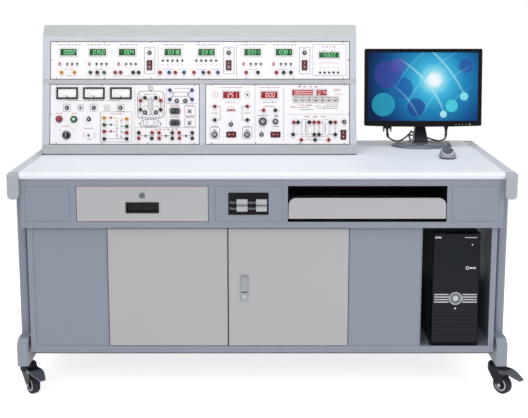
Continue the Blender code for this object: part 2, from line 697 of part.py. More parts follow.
def inset(points, walls):
    """An outline drawn in by its own wall on each side, for a shell's inner face."""
    lines = []
    for index, wall in enumerate(walls):
        start = Vector(points[index])
        run = (Vector(points[(index + 1) % len(points)]) - start).normalized()
        inward = Vector((-run.y, run.x))
        lines.append((start + inward * wall, run))
    corners = []
    for index, (start, run) in enumerate(lines):
        before, before_run = lines[index - 1]
        cross = before_run.x * run.y - before_run.y * run.x
        reach = start - before
        along = (reach.x * run.y - reach.y * run.x) / cross
        corners.append(tuple(before + before_run * along))
    return corners


def turned(profile, sides, along="Z"):
    """A closed or axis-to-axis profile of (radius, height) points turned about the axis."""
    work = bmesh.new()
    knots = [work.verts.new((radius, 0, height)) for radius, height in profile]
    for first, second in zip(knots, knots[1:]):
        work.edges.new((first, second))
    if profile[0][0] > 0:
        work.edges.new((knots[-1], knots[0]))
    mesh = from_work(work)
    guide = bpy.data.objects.new("turned", mesh)
    bpy.context.scene.collection.objects.link(guide)
    screw = guide.modifiers.new("turn", "SCREW")
    screw.axis = "Z"
    screw.steps = sides
    screw.render_steps = sides
    screw.use_merge_vertices = True
    screw.merge_threshold = MERGE
    shape = baked(guide)
    if along == "Y":
        shape.transform(Matrix.Rotation(-math.pi / 2, 4, "X"))
    return shape


def soften(mesh, width, segments, chosen):
    """Round the edges that a test picks."""
    work = bmesh.new()
    work.from_mesh(mesh)
    picked = [edge for edge in work.edges if chosen(edge)]
    bmesh.ops.bevel(
        work, geom=picked, offset=width, offset_type="OFFSET", segments=segments, profile=0.5,
        affect="EDGES", clamp_overlap=True,
    )
    work.to_mesh(mesh)
    work.free()
    return mesh


# Objects

def shade(mesh):
    mesh.shade_smooth()
    mesh.set_sharp_from_angle(angle=math.radians(24))


def piece(name, mesh, material, parent):
    """A named piece of the workstation."""
    mesh.name = name
    mesh.materials.clear()
    mesh.materials.append(material)
    shade(mesh)
    obj = bpy.data.objects.new(name, mesh)
    bpy.data.collections[PARTS].objects.link(obj)
    obj.parent = parent
    return obj


def shaped(obj, mesh, operation):
    """Cut a shape away from a piece or join one to it."""
    tool = bpy.data.objects.new(obj.name + "_" + operation.lower(), mesh)
    bpy.data.collections[TOOLS].objects.link(tool)
    tool.parent = obj.parent
    tool.hide_render = True
    tool.display_type = "WIRE"
    modifier = obj.modifiers.new(operation.lower(), "BOOLEAN")
    modifier.operation = operation
    modifier.object = tool
    return obj


def cut(obj, mesh):
    return shaped(obj, mesh, "DIFFERENCE")


def join(obj, mesh):
    return shaped(obj, mesh, "UNION")


def bevelled(obj, width, segments=2, angle=40):
    modifier = obj.modifiers.new("bevel", "BEVEL")
    modifier.width = width
    modifier.segments = segments
    modifier.limit_method = "ANGLE"
    modifier.angle_limit = math.radians(angle)
    return obj


def empty(name, place, parent=None, turn=(0, 0, 0)):
    obj = bpy.data.objects.new(name, None)
    bpy.data.collections[PARTS].objects.link(obj)
    obj.parent = parent
    obj.location = place
    obj.rotation_euler = turn
    return obj


# Bench frame

def side_rail(name, side, bench, finishes):
    """One rail with its two end caps. The caps stand a lip proud of the extrusion."""
    low = (side * LEG_X - RAIL_WIDTH / 2, WORKTOP_TOP - RAIL_HEIGHT)
    high = (side * LEG_X + RAIL_WIDTH / 2, WORKTOP_TOP)
    radii = (RAIL_FOOT_RADIUS, RAIL_FOOT_RADIUS, RAIL_TOP_RADIUS, RAIL_TOP_RADIUS)
    body_low = (low[0] + RAIL_CAP_LIP, low[1] + RAIL_CAP_LIP)
    body_high = (high[0] - RAIL_CAP_LIP, high[1] - RAIL_CAP_LIP)
    length = 2 * (HALF_DEPTH - RAIL_CAP_LENGTH + BITE)
    rail = piece(name, outline(rounded(body_low, body_high, radii), length, "Y"), finishes["frame"], bench)
    caps = []
    corners = []
    for end in (-1, 1):
        cap = outline(rounded(low, high, radii), RAIL_CAP_LENGTH, "Y")
        cap.transform(at(0, end * (HALF_DEPTH - RAIL_CAP_LENGTH / 2), 0))
        face = end * HALF_DEPTH
        soften(cap, RAIL_CAP_EDGE, 1, lambda edge: all(abs(v.co.y - face) < MERGE for v in edge.verts)
               and edge.calc_face_angle(0) > math.radians(30))
        caps.append(cap)
        centre = (face - end * RAIL_CAP_ROUND, WORKTOP_TOP - RAIL_CAP_ROUND)
        curve = arc(centre, RAIL_CAP_ROUND, 90, 90 + 90 * -end, 4)
        past = (face + end * OVERRUN, WORKTOP_TOP + OVERRUN)
        curve += [(past[0], curve[-1][1]), past, (curve[0][0], past[1])]
        corner = outline(curve, RAIL_WIDTH + 2 * OVERRUN, "X")
        fix_normals(corner)
        corners.append(moved(corner, at(side * LEG_X, 0, 0)))
    join(rail, merged(caps))
    return cut(rail, merged(corners))


def foot_outline(lip):
    """A foot beam's side view, with its sloped end caps. A lip grows it on every side."""
    end = FOOT_LENGTH / 2 + lip
    low = FOOT_BOTTOM
    high = FOOT_TOP + lip
    slope = high - FOOT_CHAMFER_DROP
    return [
        (-end + FOOT_EDGE, low), (end - FOOT_EDGE, low), (end, low + FOOT_EDGE), (end, slope),
        (end - FOOT_CHAMFER_LENGTH, high), (-end + FOOT_CHAMFER_LENGTH, high), (-end, slope),
        (-end, low + FOOT_EDGE),
    ]


def leg_frame(name, side, bench, finishes):
    """A foot beam with caps, two columns and the stems that the castors swivel under."""
    x = side * FOOT_X
    beam = piece(name, moved(outline(foot_outline(0), FOOT_WIDTH, "X"), at(x, 0, 0)), finishes["frame"], bench)
    caps = moved(outline(foot_outline(FOOT_CAP_LIP), FOOT_WIDTH + 2 * FOOT_CAP_LIP, "X"), at(x, 0, 0))
    cap_tool = piece(name + "_caps", caps, finishes["light"], bench)
    bpy.data.collections[PARTS].objects.unlink(cap_tool)
    bpy.data.collections[TOOLS].objects.link(cap_tool)
    cap_tool.hide_render = True
    cap_tool.display_type = "WIRE"
    inner = FOOT_LENGTH / 2 - FOOT_CAP_LENGTH
    wide = FOOT_WIDTH
    cut(cap_tool, box((x - wide, -inner, 0), (x + wide, inner, FOOT_TOP + FOOT_WIDTH)))
    modifier = beam.modifiers.new("caps", "BOOLEAN")
    modifier.operation = "UNION"
    modifier.object = cap_tool
    top = WORKTOP_TOP - RAIL_HEIGHT - GAP
    low = FOOT_TOP - BITE
    columns = []
    stems = []
    column_x = side * LEG_X
    for end in (-1, 1):
        y = end * (HALF_DEPTH - COLUMN_SETBACK - COLUMN_DEPTH / 2)
        corners = rounded(
            (column_x - COLUMN_WIDTH / 2, y - COLUMN_DEPTH / 2), (column_x + COLUMN_WIDTH / 2, y + COLUMN_DEPTH / 2),
            (COLUMN_RADIUS,) * 4, 2,
        )
        columns.append(moved(outline(corners, top - low, "Z"), at(0, 0, (top + low) / 2)))
        stems.append(rod(
            CASTOR_STEM_RADIUS, FOOT_BOTTOM - CASTOR_STEM_LENGTH, FOOT_BOTTOM + BITE, "Z",
            (x, end * (HALF_DEPTH - CASTOR_SETBACK)), 12,
        ))
    return join(beam, merged(columns + stems))


def worktop(bench, finishes):
    """A board with a post-formed nose, and a notch for leads in its rear edge."""
    front = -HALF_DEPTH + WORKTOP_SETBACK
    rear = HALF_DEPTH - WORKTOP_REAR_SETBACK
    low = WORKTOP_TOP - WORKTOP_THICKNESS
    nose = WORKTOP_THICKNESS / 2
    points = arc((front + nose, low + nose), nose, 270, 90, 8)
    points += [(rear, WORKTOP_TOP), (rear, low)]
    points.reverse()
    top = piece("worktop", outline(points, 2 * WORKTOP_HALF, "X"), finishes["top"], bench)
    half = NOTCH_WIDTH / 2
    notch = box(
        (MONITOR_X - half, rear - NOTCH_DEPTH, low - OVERRUN),
        (MONITOR_X + half, rear + OVERRUN, WORKTOP_TOP + OVERRUN),
    )
    return cut(top, notch)


# Apron with its bays

def slide_pair(left, right, low, high, front, rear, side):
    """Two slide members: side 1 is fixed to the bay's walls, side -1 to what slides."""
    if side > 0:
        spans = ((left - BITE, left + SLIDE_THICKNESS), (right - SLIDE_THICKNESS, right + BITE))
    else:
        spans = ((left - SLIDE_THICKNESS, left + BITE), (right - BITE, right + SLIDE_THICKNESS))
    return boxes([((x0, front, low), (x1, rear, high)) for x0, x1 in spans])


DRAWER_BAY = (DRAWER_LEFT - DRAWER_CLEARANCE - SLIDE_THICKNESS, DRAWER_RIGHT + DRAWER_CLEARANCE + SLIDE_THICKNESS)
TRAY_BAY = (TRAY_BAY_LEFT - SLIDE_THICKNESS, TRAY_BAY_RIGHT + SLIDE_THICKNESS)
SLIDE_FRONT = APRON_FRONT + DRAWER_FRONT_THICKNESS + GAP
DRAWER_SLIDE_LOW = (DRAWER_TUB_LOW + DRAWER_TUB_HIGH - SLIDE_HEIGHT) / 2
DRAWER_SLIDE_HIGH = DRAWER_SLIDE_LOW + SLIDE_HEIGHT


def apron(bench, finishes):
    """A folded box with five bays, two of them open in front, and raised fields on the rest."""
    body = piece(
        "apron_carcass", box((-APRON_HALF, APRON_FRONT, APRON_BOTTOM), (APRON_HALF, CARCASS_BACK, APRON_TOP)),
        finishes["steel"], bench,
    )
    edges = [-APRON_HALF, DRAWER_BAY[0] - SHEET, DRAWER_BAY[1], TRAY_BAY[0] - SHEET, TRAY_BAY[1], APRON_HALF - SHEET]
    hollow_front = APRON_FRONT + FOLD
    cavities = []
    for left, right in zip(edges, edges[1:]):
        cavities.append((
            (left + SHEET, hollow_front, APRON_BOTTOM + SHEET), (right, CARCASS_BACK - SHEET, APRON_TOP - SHEET),
        ))
    cut(body, boxes(cavities))
    cut(body, boxes([
        ((DRAWER_LEFT - DRAWER_CLEARANCE, APRON_FRONT - OVERRUN, BAY_LOW),
         (DRAWER_RIGHT + DRAWER_CLEARANCE, hollow_front + OVERRUN, BAY_HIGH)),
        ((TRAY_BAY_LEFT, APRON_FRONT - OVERRUN, BAY_LOW),
         (TRAY_BAY_RIGHT, hollow_front + OVERRUN, BAY_HIGH)),
    ]))
    fields = []
    for left, right in (LEFT_FIELD, SWITCH_FIELD, RIGHT_FIELD):
        field = box(
            (left, APRON_FRONT - FIELD_RAISE, FIELD_LOW), (right, APRON_FRONT + BITE, FIELD_HIGH)
        )
        soften(field, FIELD_EDGE, 1, lambda edge: all(v.co.y < APRON_FRONT for v in edge.verts))
        fields.append(field)
    join(body, merged(fields))
    cut(body, boxes([supply_window(x, APRON_FRONT - FIELD_RAISE - OVERRUN, hollow_front + OVERRUN)
                     for x in SUPPLY_ROCKER_XS]))
    slides = [
        slide_pair(DRAWER_BAY[0], DRAWER_BAY[1], DRAWER_SLIDE_LOW, DRAWER_SLIDE_HIGH,
                   SLIDE_FRONT, APRON_FRONT + DRAWER_DEPTH, 1),
        slide_pair(TRAY_BAY[0], TRAY_BAY[1], TRAY_LOW, TRAY_LOW + TRAY_SHELF_HEIGHT,
                   SLIDE_FRONT, APRON_FRONT + TRAY_DEPTH, 1),
    ]
    join(body, merged(slides))
    hole = (CARCASS_BACK - WIRE_HOLE_REAR, (APRON_BOTTOM + APRON_TOP) / 2)
    holes = [rod(WIRE_HOLE_RADIUS, wall - OVERRUN, wall + SHEET + OVERRUN, "X", hole, 16) for wall in edges[1:5]]
    return cut(body, merged(holes))


def supply_window(x, front, rear):
    half = SUPPLY_ROCKER_WIDTH / 2 + ROCKER_WINDOW_GAP
    tall = SUPPLY_ROCKER_HEIGHT / 2 + ROCKER_WINDOW_GAP
    return ((x - half, front, SUPPLY_ROCKER_Z - tall), (x + half, rear, SUPPLY_ROCKER_Z + tall))


def drawer(bench, finishes):
    """A folded front with a tub behind it that rides on its slide members."""
    slide = empty("drawer_slide", ((DRAWER_LEFT + DRAWER_RIGHT) / 2, APRON_FRONT, 0), bench)
    half = (DRAWER_RIGHT - DRAWER_LEFT) / 2
    front = piece(
        "drawer", box((-half, 0, FIELD_LOW), (half, DRAWER_FRONT_THICKNESS, FIELD_HIGH)), finishes["front"], slide
    )
    cut(front, box(
        (-half + SHEET, SHEET, FIELD_LOW + SHEET),
        (half - SHEET, DRAWER_FRONT_THICKNESS + OVERRUN, FIELD_HIGH - SHEET),
    ))
    member = (DRAWER_BAY[1] - DRAWER_BAY[0]) / 2 - SLIDE_THICKNESS - RUN_GAP
    tub_half = member - SLIDE_THICKNESS
    tub_front = SHEET - BITE
    tub = piece("drawer_tub", box((-tub_half, tub_front, DRAWER_TUB_LOW), (tub_half, DRAWER_DEPTH, DRAWER_TUB_HIGH)),
                finishes["front"], slide)
    bpy.data.collections[PARTS].objects.unlink(tub)
    bpy.data.collections[TOOLS].objects.link(tub)
    tub.hide_render = True
    tub.display_type = "WIRE"
    cut(tub, box(
        (-tub_half + SHEET, tub_front - OVERRUN, DRAWER_TUB_LOW + SHEET),
        (tub_half - SHEET, DRAWER_DEPTH - SHEET, DRAWER_TUB_HIGH + OVERRUN),
    ))
    modifier = front.modifiers.new("tub", "BOOLEAN")
    modifier.operation = "UNION"
    modifier.object = tub
    join(front, slide_pair(-tub_half, tub_half, DRAWER_SLIDE_LOW, DRAWER_SLIDE_HIGH,
                           DRAWER_FRONT_THICKNESS + GAP, DRAWER_DEPTH - SLIDE_REAR, -1))
    wide = PULL_WIDTH / 2 - PULL_LIP
    tall = PULL_HEIGHT / 2 - PULL_LIP
    cut(front, box((-wide, -OVERRUN, PULL_Z - tall), (wide, SHEET + OVERRUN, PULL_Z + tall)))
    cut(front, rod(DRAWER_LOCK_BARREL + GAP, -OVERRUN, SHEET + OVERRUN, "Y", (0, DRAWER_LOCK_Z), 16))

    lip = outline(rounded((-PULL_WIDTH / 2, PULL_Z - PULL_HEIGHT / 2), (PULL_WIDTH / 2, PULL_Z + PULL_HEIGHT / 2),
                          (PULL_LIP,) * 4, 2), PULL_FLANGE, "Y")
    pull = piece("drawer_pull", moved(lip, at(0, -PULL_FLANGE / 2 - GAP, 0)), finishes["black"], slide)
    cup_x = wide - GAP
    cup_z = tall - GAP
    join(pull, box((-cup_x, -GAP - PULL_FLANGE / 2, PULL_Z - cup_z), (cup_x, PULL_DEPTH, PULL_Z + cup_z)))
    cut(pull, box(
        (-cup_x + PULL_WALL, -PULL_FLANGE - OVERRUN, PULL_Z - cup_z + PULL_WALL),
        (cup_x - PULL_WALL, PULL_DEPTH - PULL_WALL, PULL_Z + cup_z - PULL_WALL),
    ))

    lock = piece("drawer_lock", rod(DRAWER_LOCK_RADIUS, -DRAWER_LOCK_RIM - GAP, -GAP, "Y", (0, DRAWER_LOCK_Z), 20),
                 finishes["chrome"], slide)
    join(lock, rod(DRAWER_LOCK_BARREL, -GAP - DRAWER_LOCK_RIM / 2, DRAWER_LOCK_LENGTH, "Y", (0, DRAWER_LOCK_Z), 16))
    join(lock, box(
        (-DRAWER_CAM_WIDTH / 2, DRAWER_LOCK_LENGTH - BITE, DRAWER_LOCK_Z - DRAWER_CAM_WIDTH / 2),
        (DRAWER_CAM_LENGTH, DRAWER_LOCK_LENGTH + DRAWER_CAM_THICKNESS, DRAWER_LOCK_Z + DRAWER_CAM_WIDTH / 2),
    ))
    slot = KEY_GRIP_WIDTH / 4
    cut(lock, box((-slot, -DRAWER_LOCK_RIM - OVERRUN, DRAWER_LOCK_Z - 3 * slot),
                  (slot, -GAP, DRAWER_LOCK_Z + 3 * slot)))


def keyboard_tray(bench, finishes):
    """A shelf with turned-down edges behind a front with two rounded corners."""
    slide = empty("tray_slide", ((TRAY_BAY_LEFT + TRAY_BAY_RIGHT) / 2, APRON_FRONT, 0), bench)
    half = (TRAY_BAY_RIGHT - TRAY_BAY_LEFT) / 2 - TRAY_SIDE_CLEARANCE
    edge = TRAY_FRONT_THICKNESS / 2
    plate = outline(rounded((-half, TRAY_LOW), (half, TRAY_HIGH), (edge, edge, TRAY_CORNER, TRAY_CORNER), 6),
                    TRAY_FRONT_THICKNESS, "Y")
    tray = piece("keyboard_tray", moved(plate, at(0, TRAY_FRONT_THICKNESS / 2, 0)), finishes["front"], slide)
    member = (TRAY_BAY_RIGHT - TRAY_BAY_LEFT) / 2 - RUN_GAP
    shelf_half = member - SLIDE_THICKNESS
    top = TRAY_LOW + TRAY_SHELF_HEIGHT
    front = TRAY_FRONT_THICKNESS - BITE
    join(tray, box((-shelf_half, front, TRAY_LOW), (shelf_half, TRAY_DEPTH, top)))
    cut(tray, box(
        (-shelf_half + SHEET, TRAY_FRONT_THICKNESS + SHEET, TRAY_LOW - OVERRUN),
        (shelf_half - SHEET, TRAY_DEPTH - SHEET, top - SHEET),
    ))
    return join(tray, slide_pair(-shelf_half, shelf_half, TRAY_LOW, top,
                                 SLIDE_FRONT - APRON_FRONT, TRAY_DEPTH - SLIDE_REAR, -1))


# Rocker switches

def rocker_shape(width, height, depth, flat):
    """A saddle whose two faces meet in a shallow crest, at its off position.

    The rocker's pivot is the origin, its face looks along -Y, and it rocks about X, or about Z
    where it lies flat.
    """
    half = height / 2
    crest = -ROCKER_RISE
    ends = crest - ROCKER_CREST
    side = [(-half, ends), (0, crest), (half, ends), (half, 0), (half / 2, depth), (-half / 2, depth), (-half, 0)]
    points = [(back, up) for up, back in side]
    mesh = outline(points, width, "X")
    fix_normals(mesh)
    mesh.transform(Matrix.Rotation(ROCKER_TILT, 4, "X"))
    if flat:
        mesh.transform(Matrix.Rotation(math.pi / 2, 4, "Y"))
    return mesh


def fix_normals(mesh):
    work = bmesh.new()
    work.from_mesh(mesh)
    bmesh.ops.recalc_face_normals(work, faces=work.faces)
    work.to_mesh(mesh)
    work.free()


def supply_switches(bench, finishes):
    """The black plate on the apron's switch field, with two large rockers through it."""
    front = APRON_FRONT - FIELD_RAISE - GAP
    low = (SUPPLY_X - SUPPLY_WIDTH / 2, SUPPLY_Z - SUPPLY_HEIGHT / 2)
    high = (SUPPLY_X + SUPPLY_WIDTH / 2, SUPPLY_Z + SUPPLY_HEIGHT / 2)
    shape = outline(rounded(low, high, (SUPPLY_THICKNESS,) * 4, 2), SUPPLY_THICKNESS, "Y")
    plate = piece("supply_plate", moved(shape, at(0, front - SUPPLY_THICKNESS / 2, 0)), finishes["black"], bench)
    cut(plate, boxes([supply_window(x, front - SUPPLY_THICKNESS - OVERRUN, front + OVERRUN)
                      for x in SUPPLY_ROCKER_XS]))
    for name, x in zip(("supply_rocker_left", "supply_rocker_right"), SUPPLY_ROCKER_XS):
        pivot = empty(name + "_pivot", (x, front, SUPPLY_ROCKER_Z), bench)
        piece(name, rocker_shape(SUPPLY_ROCKER_WIDTH, SUPPLY_ROCKER_HEIGHT, SUPPLY_ROCKER_DEPTH, False),
              finishes["light"], pivot)


# Lower cabinet and doors

def door_span(side):
    """A door's left and right edges: side -1 is the left door."""
    if side < 0:
        return CUPBOARD_LEFT + DOOR_CLEARANCE, DOOR_SPLIT - DOOR_CLEARANCE / 2
    return DOOR_SPLIT + DOOR_CLEARANCE / 2, CUPBOARD_RIGHT - DOOR_CLEARANCE


def door_axis(side):
    left, right = door_span(side)
    x = left + DOOR_EDGE_INSET if side < 0 else right - DOOR_EDGE_INSET
    return x, CABINET_FRONT + DOOR_EDGE_INSET


def cabinet(bench, finishes):
    """A folded box with a two-door cupboard, fixed front panels and an open computer bay."""
    body = piece(
        "cabinet_carcass",
        box((-CABINET_HALF, CABINET_FRONT, CABINET_BOTTOM), (CABINET_HALF, CARCASS_BACK, CABINET_TOP)),
        finishes["steel"], bench,
    )
    inner_front = CABINET_FRONT + FOLD
    back = CARCASS_BACK - SHEET
    left = -CABINET_HALF + SHEET
    right = CABINET_HALF - SHEET
    under = FLOOR_TOP - SHEET
    cut(body, boxes([
        ((left, inner_front, FLOOR_TOP), (COMPUTER_BAY_LEFT - SHEET, back, CABINET_TOP - SHEET)),
        ((COMPUTER_BAY_LEFT, inner_front, FLOOR_TOP), (right, back, CABINET_TOP - SHEET)),
        ((left, CABINET_FRONT + SHEET, CABINET_BOTTOM - OVERRUN), (right, back, under)),
    ]))
    stile = CABINET_HALF - STILE_WIDTH
    front = CABINET_FRONT - OVERRUN
    cut(body, boxes([
        ((CUPBOARD_LEFT, front, SILL_TOP), (CUPBOARD_RIGHT, inner_front + OVERRUN, HEADER_BOTTOM)),
        ((COMPUTER_BAY_LEFT, front, SILL_TOP), (stile, inner_front + OVERRUN, HEADER_BOTTOM)),
        ((-stile, front, SILL_TOP), (CUPBOARD_LEFT - SHEET, CABINET_FRONT + PANEL_RECESS, HEADER_BOTTOM)),
        ((CUPBOARD_RIGHT + SHEET, front, SILL_TOP),
         (COMPUTER_BAY_LEFT - SHEET, CABINET_FRONT + PANEL_RECESS, HEADER_BOTTOM)),
    ]))
    cut(body, box(
        (COMPUTER_BAY_LEFT + REAR_WINDOW_MARGIN, back - OVERRUN, REAR_WINDOW_LOW),
        (CABINET_HALF - REAR_WINDOW_MARGIN, CARCASS_BACK + OVERRUN, REAR_WINDOW_HIGH),
    ))
    holes = []
    for side in (-1, 1):
        x, y = door_axis(side)
        holes.append(rod(PIVOT_RADIUS + GAP, HEADER_BOTTOM - OVERRUN, CABINET_TOP + OVERRUN, "Z", (x, y), 12))
        holes.append(rod(PIVOT_RADIUS + GAP, SILL_TOP - PIVOT_LENGTH - GAP, SILL_TOP + OVERRUN, "Z", (x, y), 12))
    cut(body, merged(holes))
    spacers = []
    for side in (-1, 1):
        inner = side * (CABINET_HALF - BITE)
        outer = side * (LEG_X - COLUMN_WIDTH / 2 - GAP)
        for end in (-1, 1):
            y = end * (HALF_DEPTH - COLUMN_SETBACK - COLUMN_DEPTH / 2)
            for z in SPACER_ZS:
                spacers.append(rod(SPACER_RADIUS, inner, outer, "X", (y, z), 12))
    return join(body, merged(spacers))


def door(name, side, bench, finishes):
    """A folded pan with a pivot pin at the top and the foot of its outer edge."""
    x, y = door_axis(side)
    hinge = empty(name + "_hinge", (x, y, 0), bench)
    left, right = door_span(side)
    low = SILL_TOP + DOOR_CLEARANCE
    high = HEADER_BOTTOM - DOOR_CLEARANCE
    front = CABINET_FRONT - y
    left -= x
    right -= x
    pan = piece(name, box((left, front, low), (right, front + DOOR_THICKNESS, high)), finishes["front"], hinge)
    bevelled(pan, SHEET / 2, 1)
    cut(pan, box(
        (left + SHEET, front + SHEET, low + SHEET), (right - SHEET, front + DOOR_THICKNESS + OVERRUN, high - SHEET)
    ))
    pins = [
        rod(PIVOT_RADIUS, high - BITE, HEADER_BOTTOM + SHEET, "Z", (0, 0), 12),
        rod(PIVOT_RADIUS, low + BITE, SILL_TOP - PIVOT_LENGTH, "Z", (0, 0), 12),
    ]
    join(pan, merged(pins))
    if side > 0:
        wide = LOCK_WIDTH / 2 - LOCK_LIP
        tall = LOCK_HEIGHT / 2 - LOCK_LIP
        cut(pan, box((LOCK_X - x - wide, front - OVERRUN, LOCK_Z - tall),
                     (LOCK_X - x + wide, front + SHEET + OVERRUN, LOCK_Z + tall)))
        door_lock(hinge, LOCK_X - x, front, finishes)
    return pan


def door_lock(hinge, x, front, finishes):
    """A flush dish with a pop-out lever, hinged at its top, above the button that frees it."""
    place = empty("door_lock_place", (x, front, LOCK_Z), hinge)
    half = LOCK_WIDTH / 2
    tall = LOCK_HEIGHT / 2
    face = -LOCK_FLANGE - GAP
    flange = outline(rounded((-half, -tall), (half, tall), (half / 2,) * 4, 4), LOCK_FLANGE, "Y")
    case = piece("door_lock_case", moved(flange, at(0, -LOCK_FLANGE / 2 - GAP, 0)), finishes["chrome"], place)
    cup_x = half - LOCK_LIP - GAP
    cup_z = tall - LOCK_LIP - GAP
    join(case, box((-cup_x, face + BITE, -cup_z), (cup_x, LOCK_DEPTH, cup_z)))
    well = cup_x - LOCK_WALL
    top = cup_z - LOCK_WALL
    lever_low = top - LEVER_LENGTH
    cut(case, box((-well, face - OVERRUN, lever_low), (well, LOCK_DEPTH - LOCK_WALL, top)))
    button_z = (lever_low - cup_z) / 2
    cut(case, rod(LOCK_BUTTON_RADIUS + GAP, face - OVERRUN, LOCK_DEPTH + OVERRUN, "Y", (0, button_z), 16))

    pin_z = top - LEVER_THICKNESS / 2 - LEVER_GAP
    pin_y = face + LEVER_THICKNESS / 2
    pivot = empty("lever_pivot", (0, pin_y, pin_z), place)
    lever_half = well - LEVER_GAP
    reach = LEVER_LENGTH - LEVER_THICKNESS - 2 * LEVER_GAP
    radius = LEVER_THICKNESS / 2
    side = arc((0, 0), radius, 0, 180, 6)
    side = [(back, up) for back, up in side] + [(-radius, -reach), (radius / 2, -reach), (radius, -reach + radius)]
    side.reverse()
    lever = piece("door_lock_lever", outline(side, 2 * lever_half, "X"), finishes["chrome"], pivot)
    fix_normals(lever.data)
    pin_half = well + LOCK_WALL / 2
    join(lever, rod(LEVER_PIN_RADIUS, -pin_half, pin_half, "X", (0, 0), 10))
    cut(case, rod(LEVER_PIN_RADIUS + GAP / 2, -pin_half - GAP, pin_half + GAP, "X", (pin_y, pin_z), 10))

    button = piece("door_lock_button", rod(LOCK_BUTTON_RADIUS, LOCK_DEPTH - LOCK_BUTTON_TRAVEL, face - LOCK_LIP / 2,
                                           "Y", (0, button_z), 16), finishes["chrome"], place)
    return button


# Castors

def castor(corner, side, end, bench, finishes):
    """A swivel fork with its cover and axle, a wheel, and in front a brake pedal."""
    name = {(-1, -1): "front_left", (1, -1): "front_right", (-1, 1): "rear_left", (1, 1): "rear_right"}[corner]
    swivel = empty("castor_swivel_" + name, (side * FOOT_X, end * (HALF_DEPTH - CASTOR_SETBACK), 0), bench,
                   (0, 0, CASTOR_HEADING))
    hub = (CASTOR_TRAIL, WHEEL_RADIUS)
    edge = CASTOR_TOP - CROWN_ROUND
    cover = edge - FORK_COVER_HEIGHT
    shoulder = PEDAL_PIVOT_X + PEDAL_ARM_RADIUS
    back = -CROWN_RADIUS * FORK_BACK_SHARE
    side_view = [(back, edge), (back, cover), (back * FORK_WAIST_SHARE, cover - FORK_COVER_HEIGHT / 2)]
    side_view += arc(hub, FORK_BOSS_RADIUS, 200, 380, 6)
    side_view += [(shoulder, PEDAL_PIVOT_Z - PEDAL_ARM_RADIUS), (shoulder, PEDAL_PIVOT_Z + PEDAL_ARM_RADIUS / 2),
                  (-back, edge)]
    fork = piece("castor_fork_" + name, outline(side_view, FORK_WIDTH, "Y"), finishes["black"], swivel)
    fix_normals(fork.data)
    join(fork, turned([
        (0, cover), (CROWN_RADIUS, cover), (CROWN_RADIUS, edge),
        (CROWN_RADIUS - CROWN_ROUND / 4, CASTOR_TOP - CROWN_ROUND / 3), (CROWN_RADIUS - CROWN_ROUND, CASTOR_TOP),
        (0, CASTOR_TOP),
    ], 16))
    half = FORK_CAVITY_WIDTH / 2
    cut(fork, rod(FORK_CAVITY_RADIUS, -half, half, "Y", hub, 18))
    cut(fork, box((CASTOR_TRAIL - FORK_CAVITY_RADIUS, -half, -OVERRUN),
                  (CASTOR_TRAIL + FORK_CAVITY_RADIUS, half, WHEEL_RADIUS)))
    ends = FORK_WIDTH / 2
    join(fork, rod(AXLE_RADIUS, -ends + BITE, ends - BITE, "Y", hub, 10))
    heads = []
    for way in (-1, 1):
        heads.append(rod(AXLE_HEAD_RADIUS, way * (ends - BITE), way * (ends + AXLE_HEAD_LENGTH), "Y", hub, 8))
        if end < 0:
            pin = (PEDAL_PIVOT_X, PEDAL_PIVOT_Z)
            heads.append(rod(PEDAL_PIN_RADIUS, way * (ends - BITE), way * (ends + PEDAL_PIN_LENGTH), "Y", pin, 8))
    join(fork, merged(heads))

    spin = empty("castor_spin_" + name, (CASTOR_TRAIL, 0, WHEEL_RADIUS), swivel)
    piece("castor_wheel_" + name, wheel_shape(), finishes["tread"], spin)
    if end < 0:
        pedal(name, swivel, finishes)


def wheel_shape():
    """A tyred wheel with a dished disc and a bored hub, turned about Y, with a flat of its rim below."""
    half = WHEEL_WIDTH / 2
    bore = AXLE_RADIUS + GAP
    dish = WHEEL_RADIUS * DISH_RADIUS_SHARE
    floor = half * DISH_DEPTH_SHARE
    right = [
        (bore, half), (HUB_RADIUS, half), (HUB_RADIUS, floor), (dish, floor), (dish, half * TYRE_EDGE_SHARE),
        (WHEEL_RADIUS * SHOULDER_RADIUS_SHARE, half * SHOULDER_WIDTH_SHARE), (WHEEL_RADIUS, half * TREAD_WIDTH_SHARE),
    ]
    left = [(radius, -height) for radius, height in reversed(right)]
    wheel = turned(right + left, WHEEL_SIDES, "Y")
    growth = 1 / math.cos(math.pi / WHEEL_SIDES)
    wheel.transform(Matrix.Diagonal((growth, 1, growth, 1)))
    return moved(wheel, Matrix.Rotation(math.pi / WHEEL_SIDES, 4, "Y"))


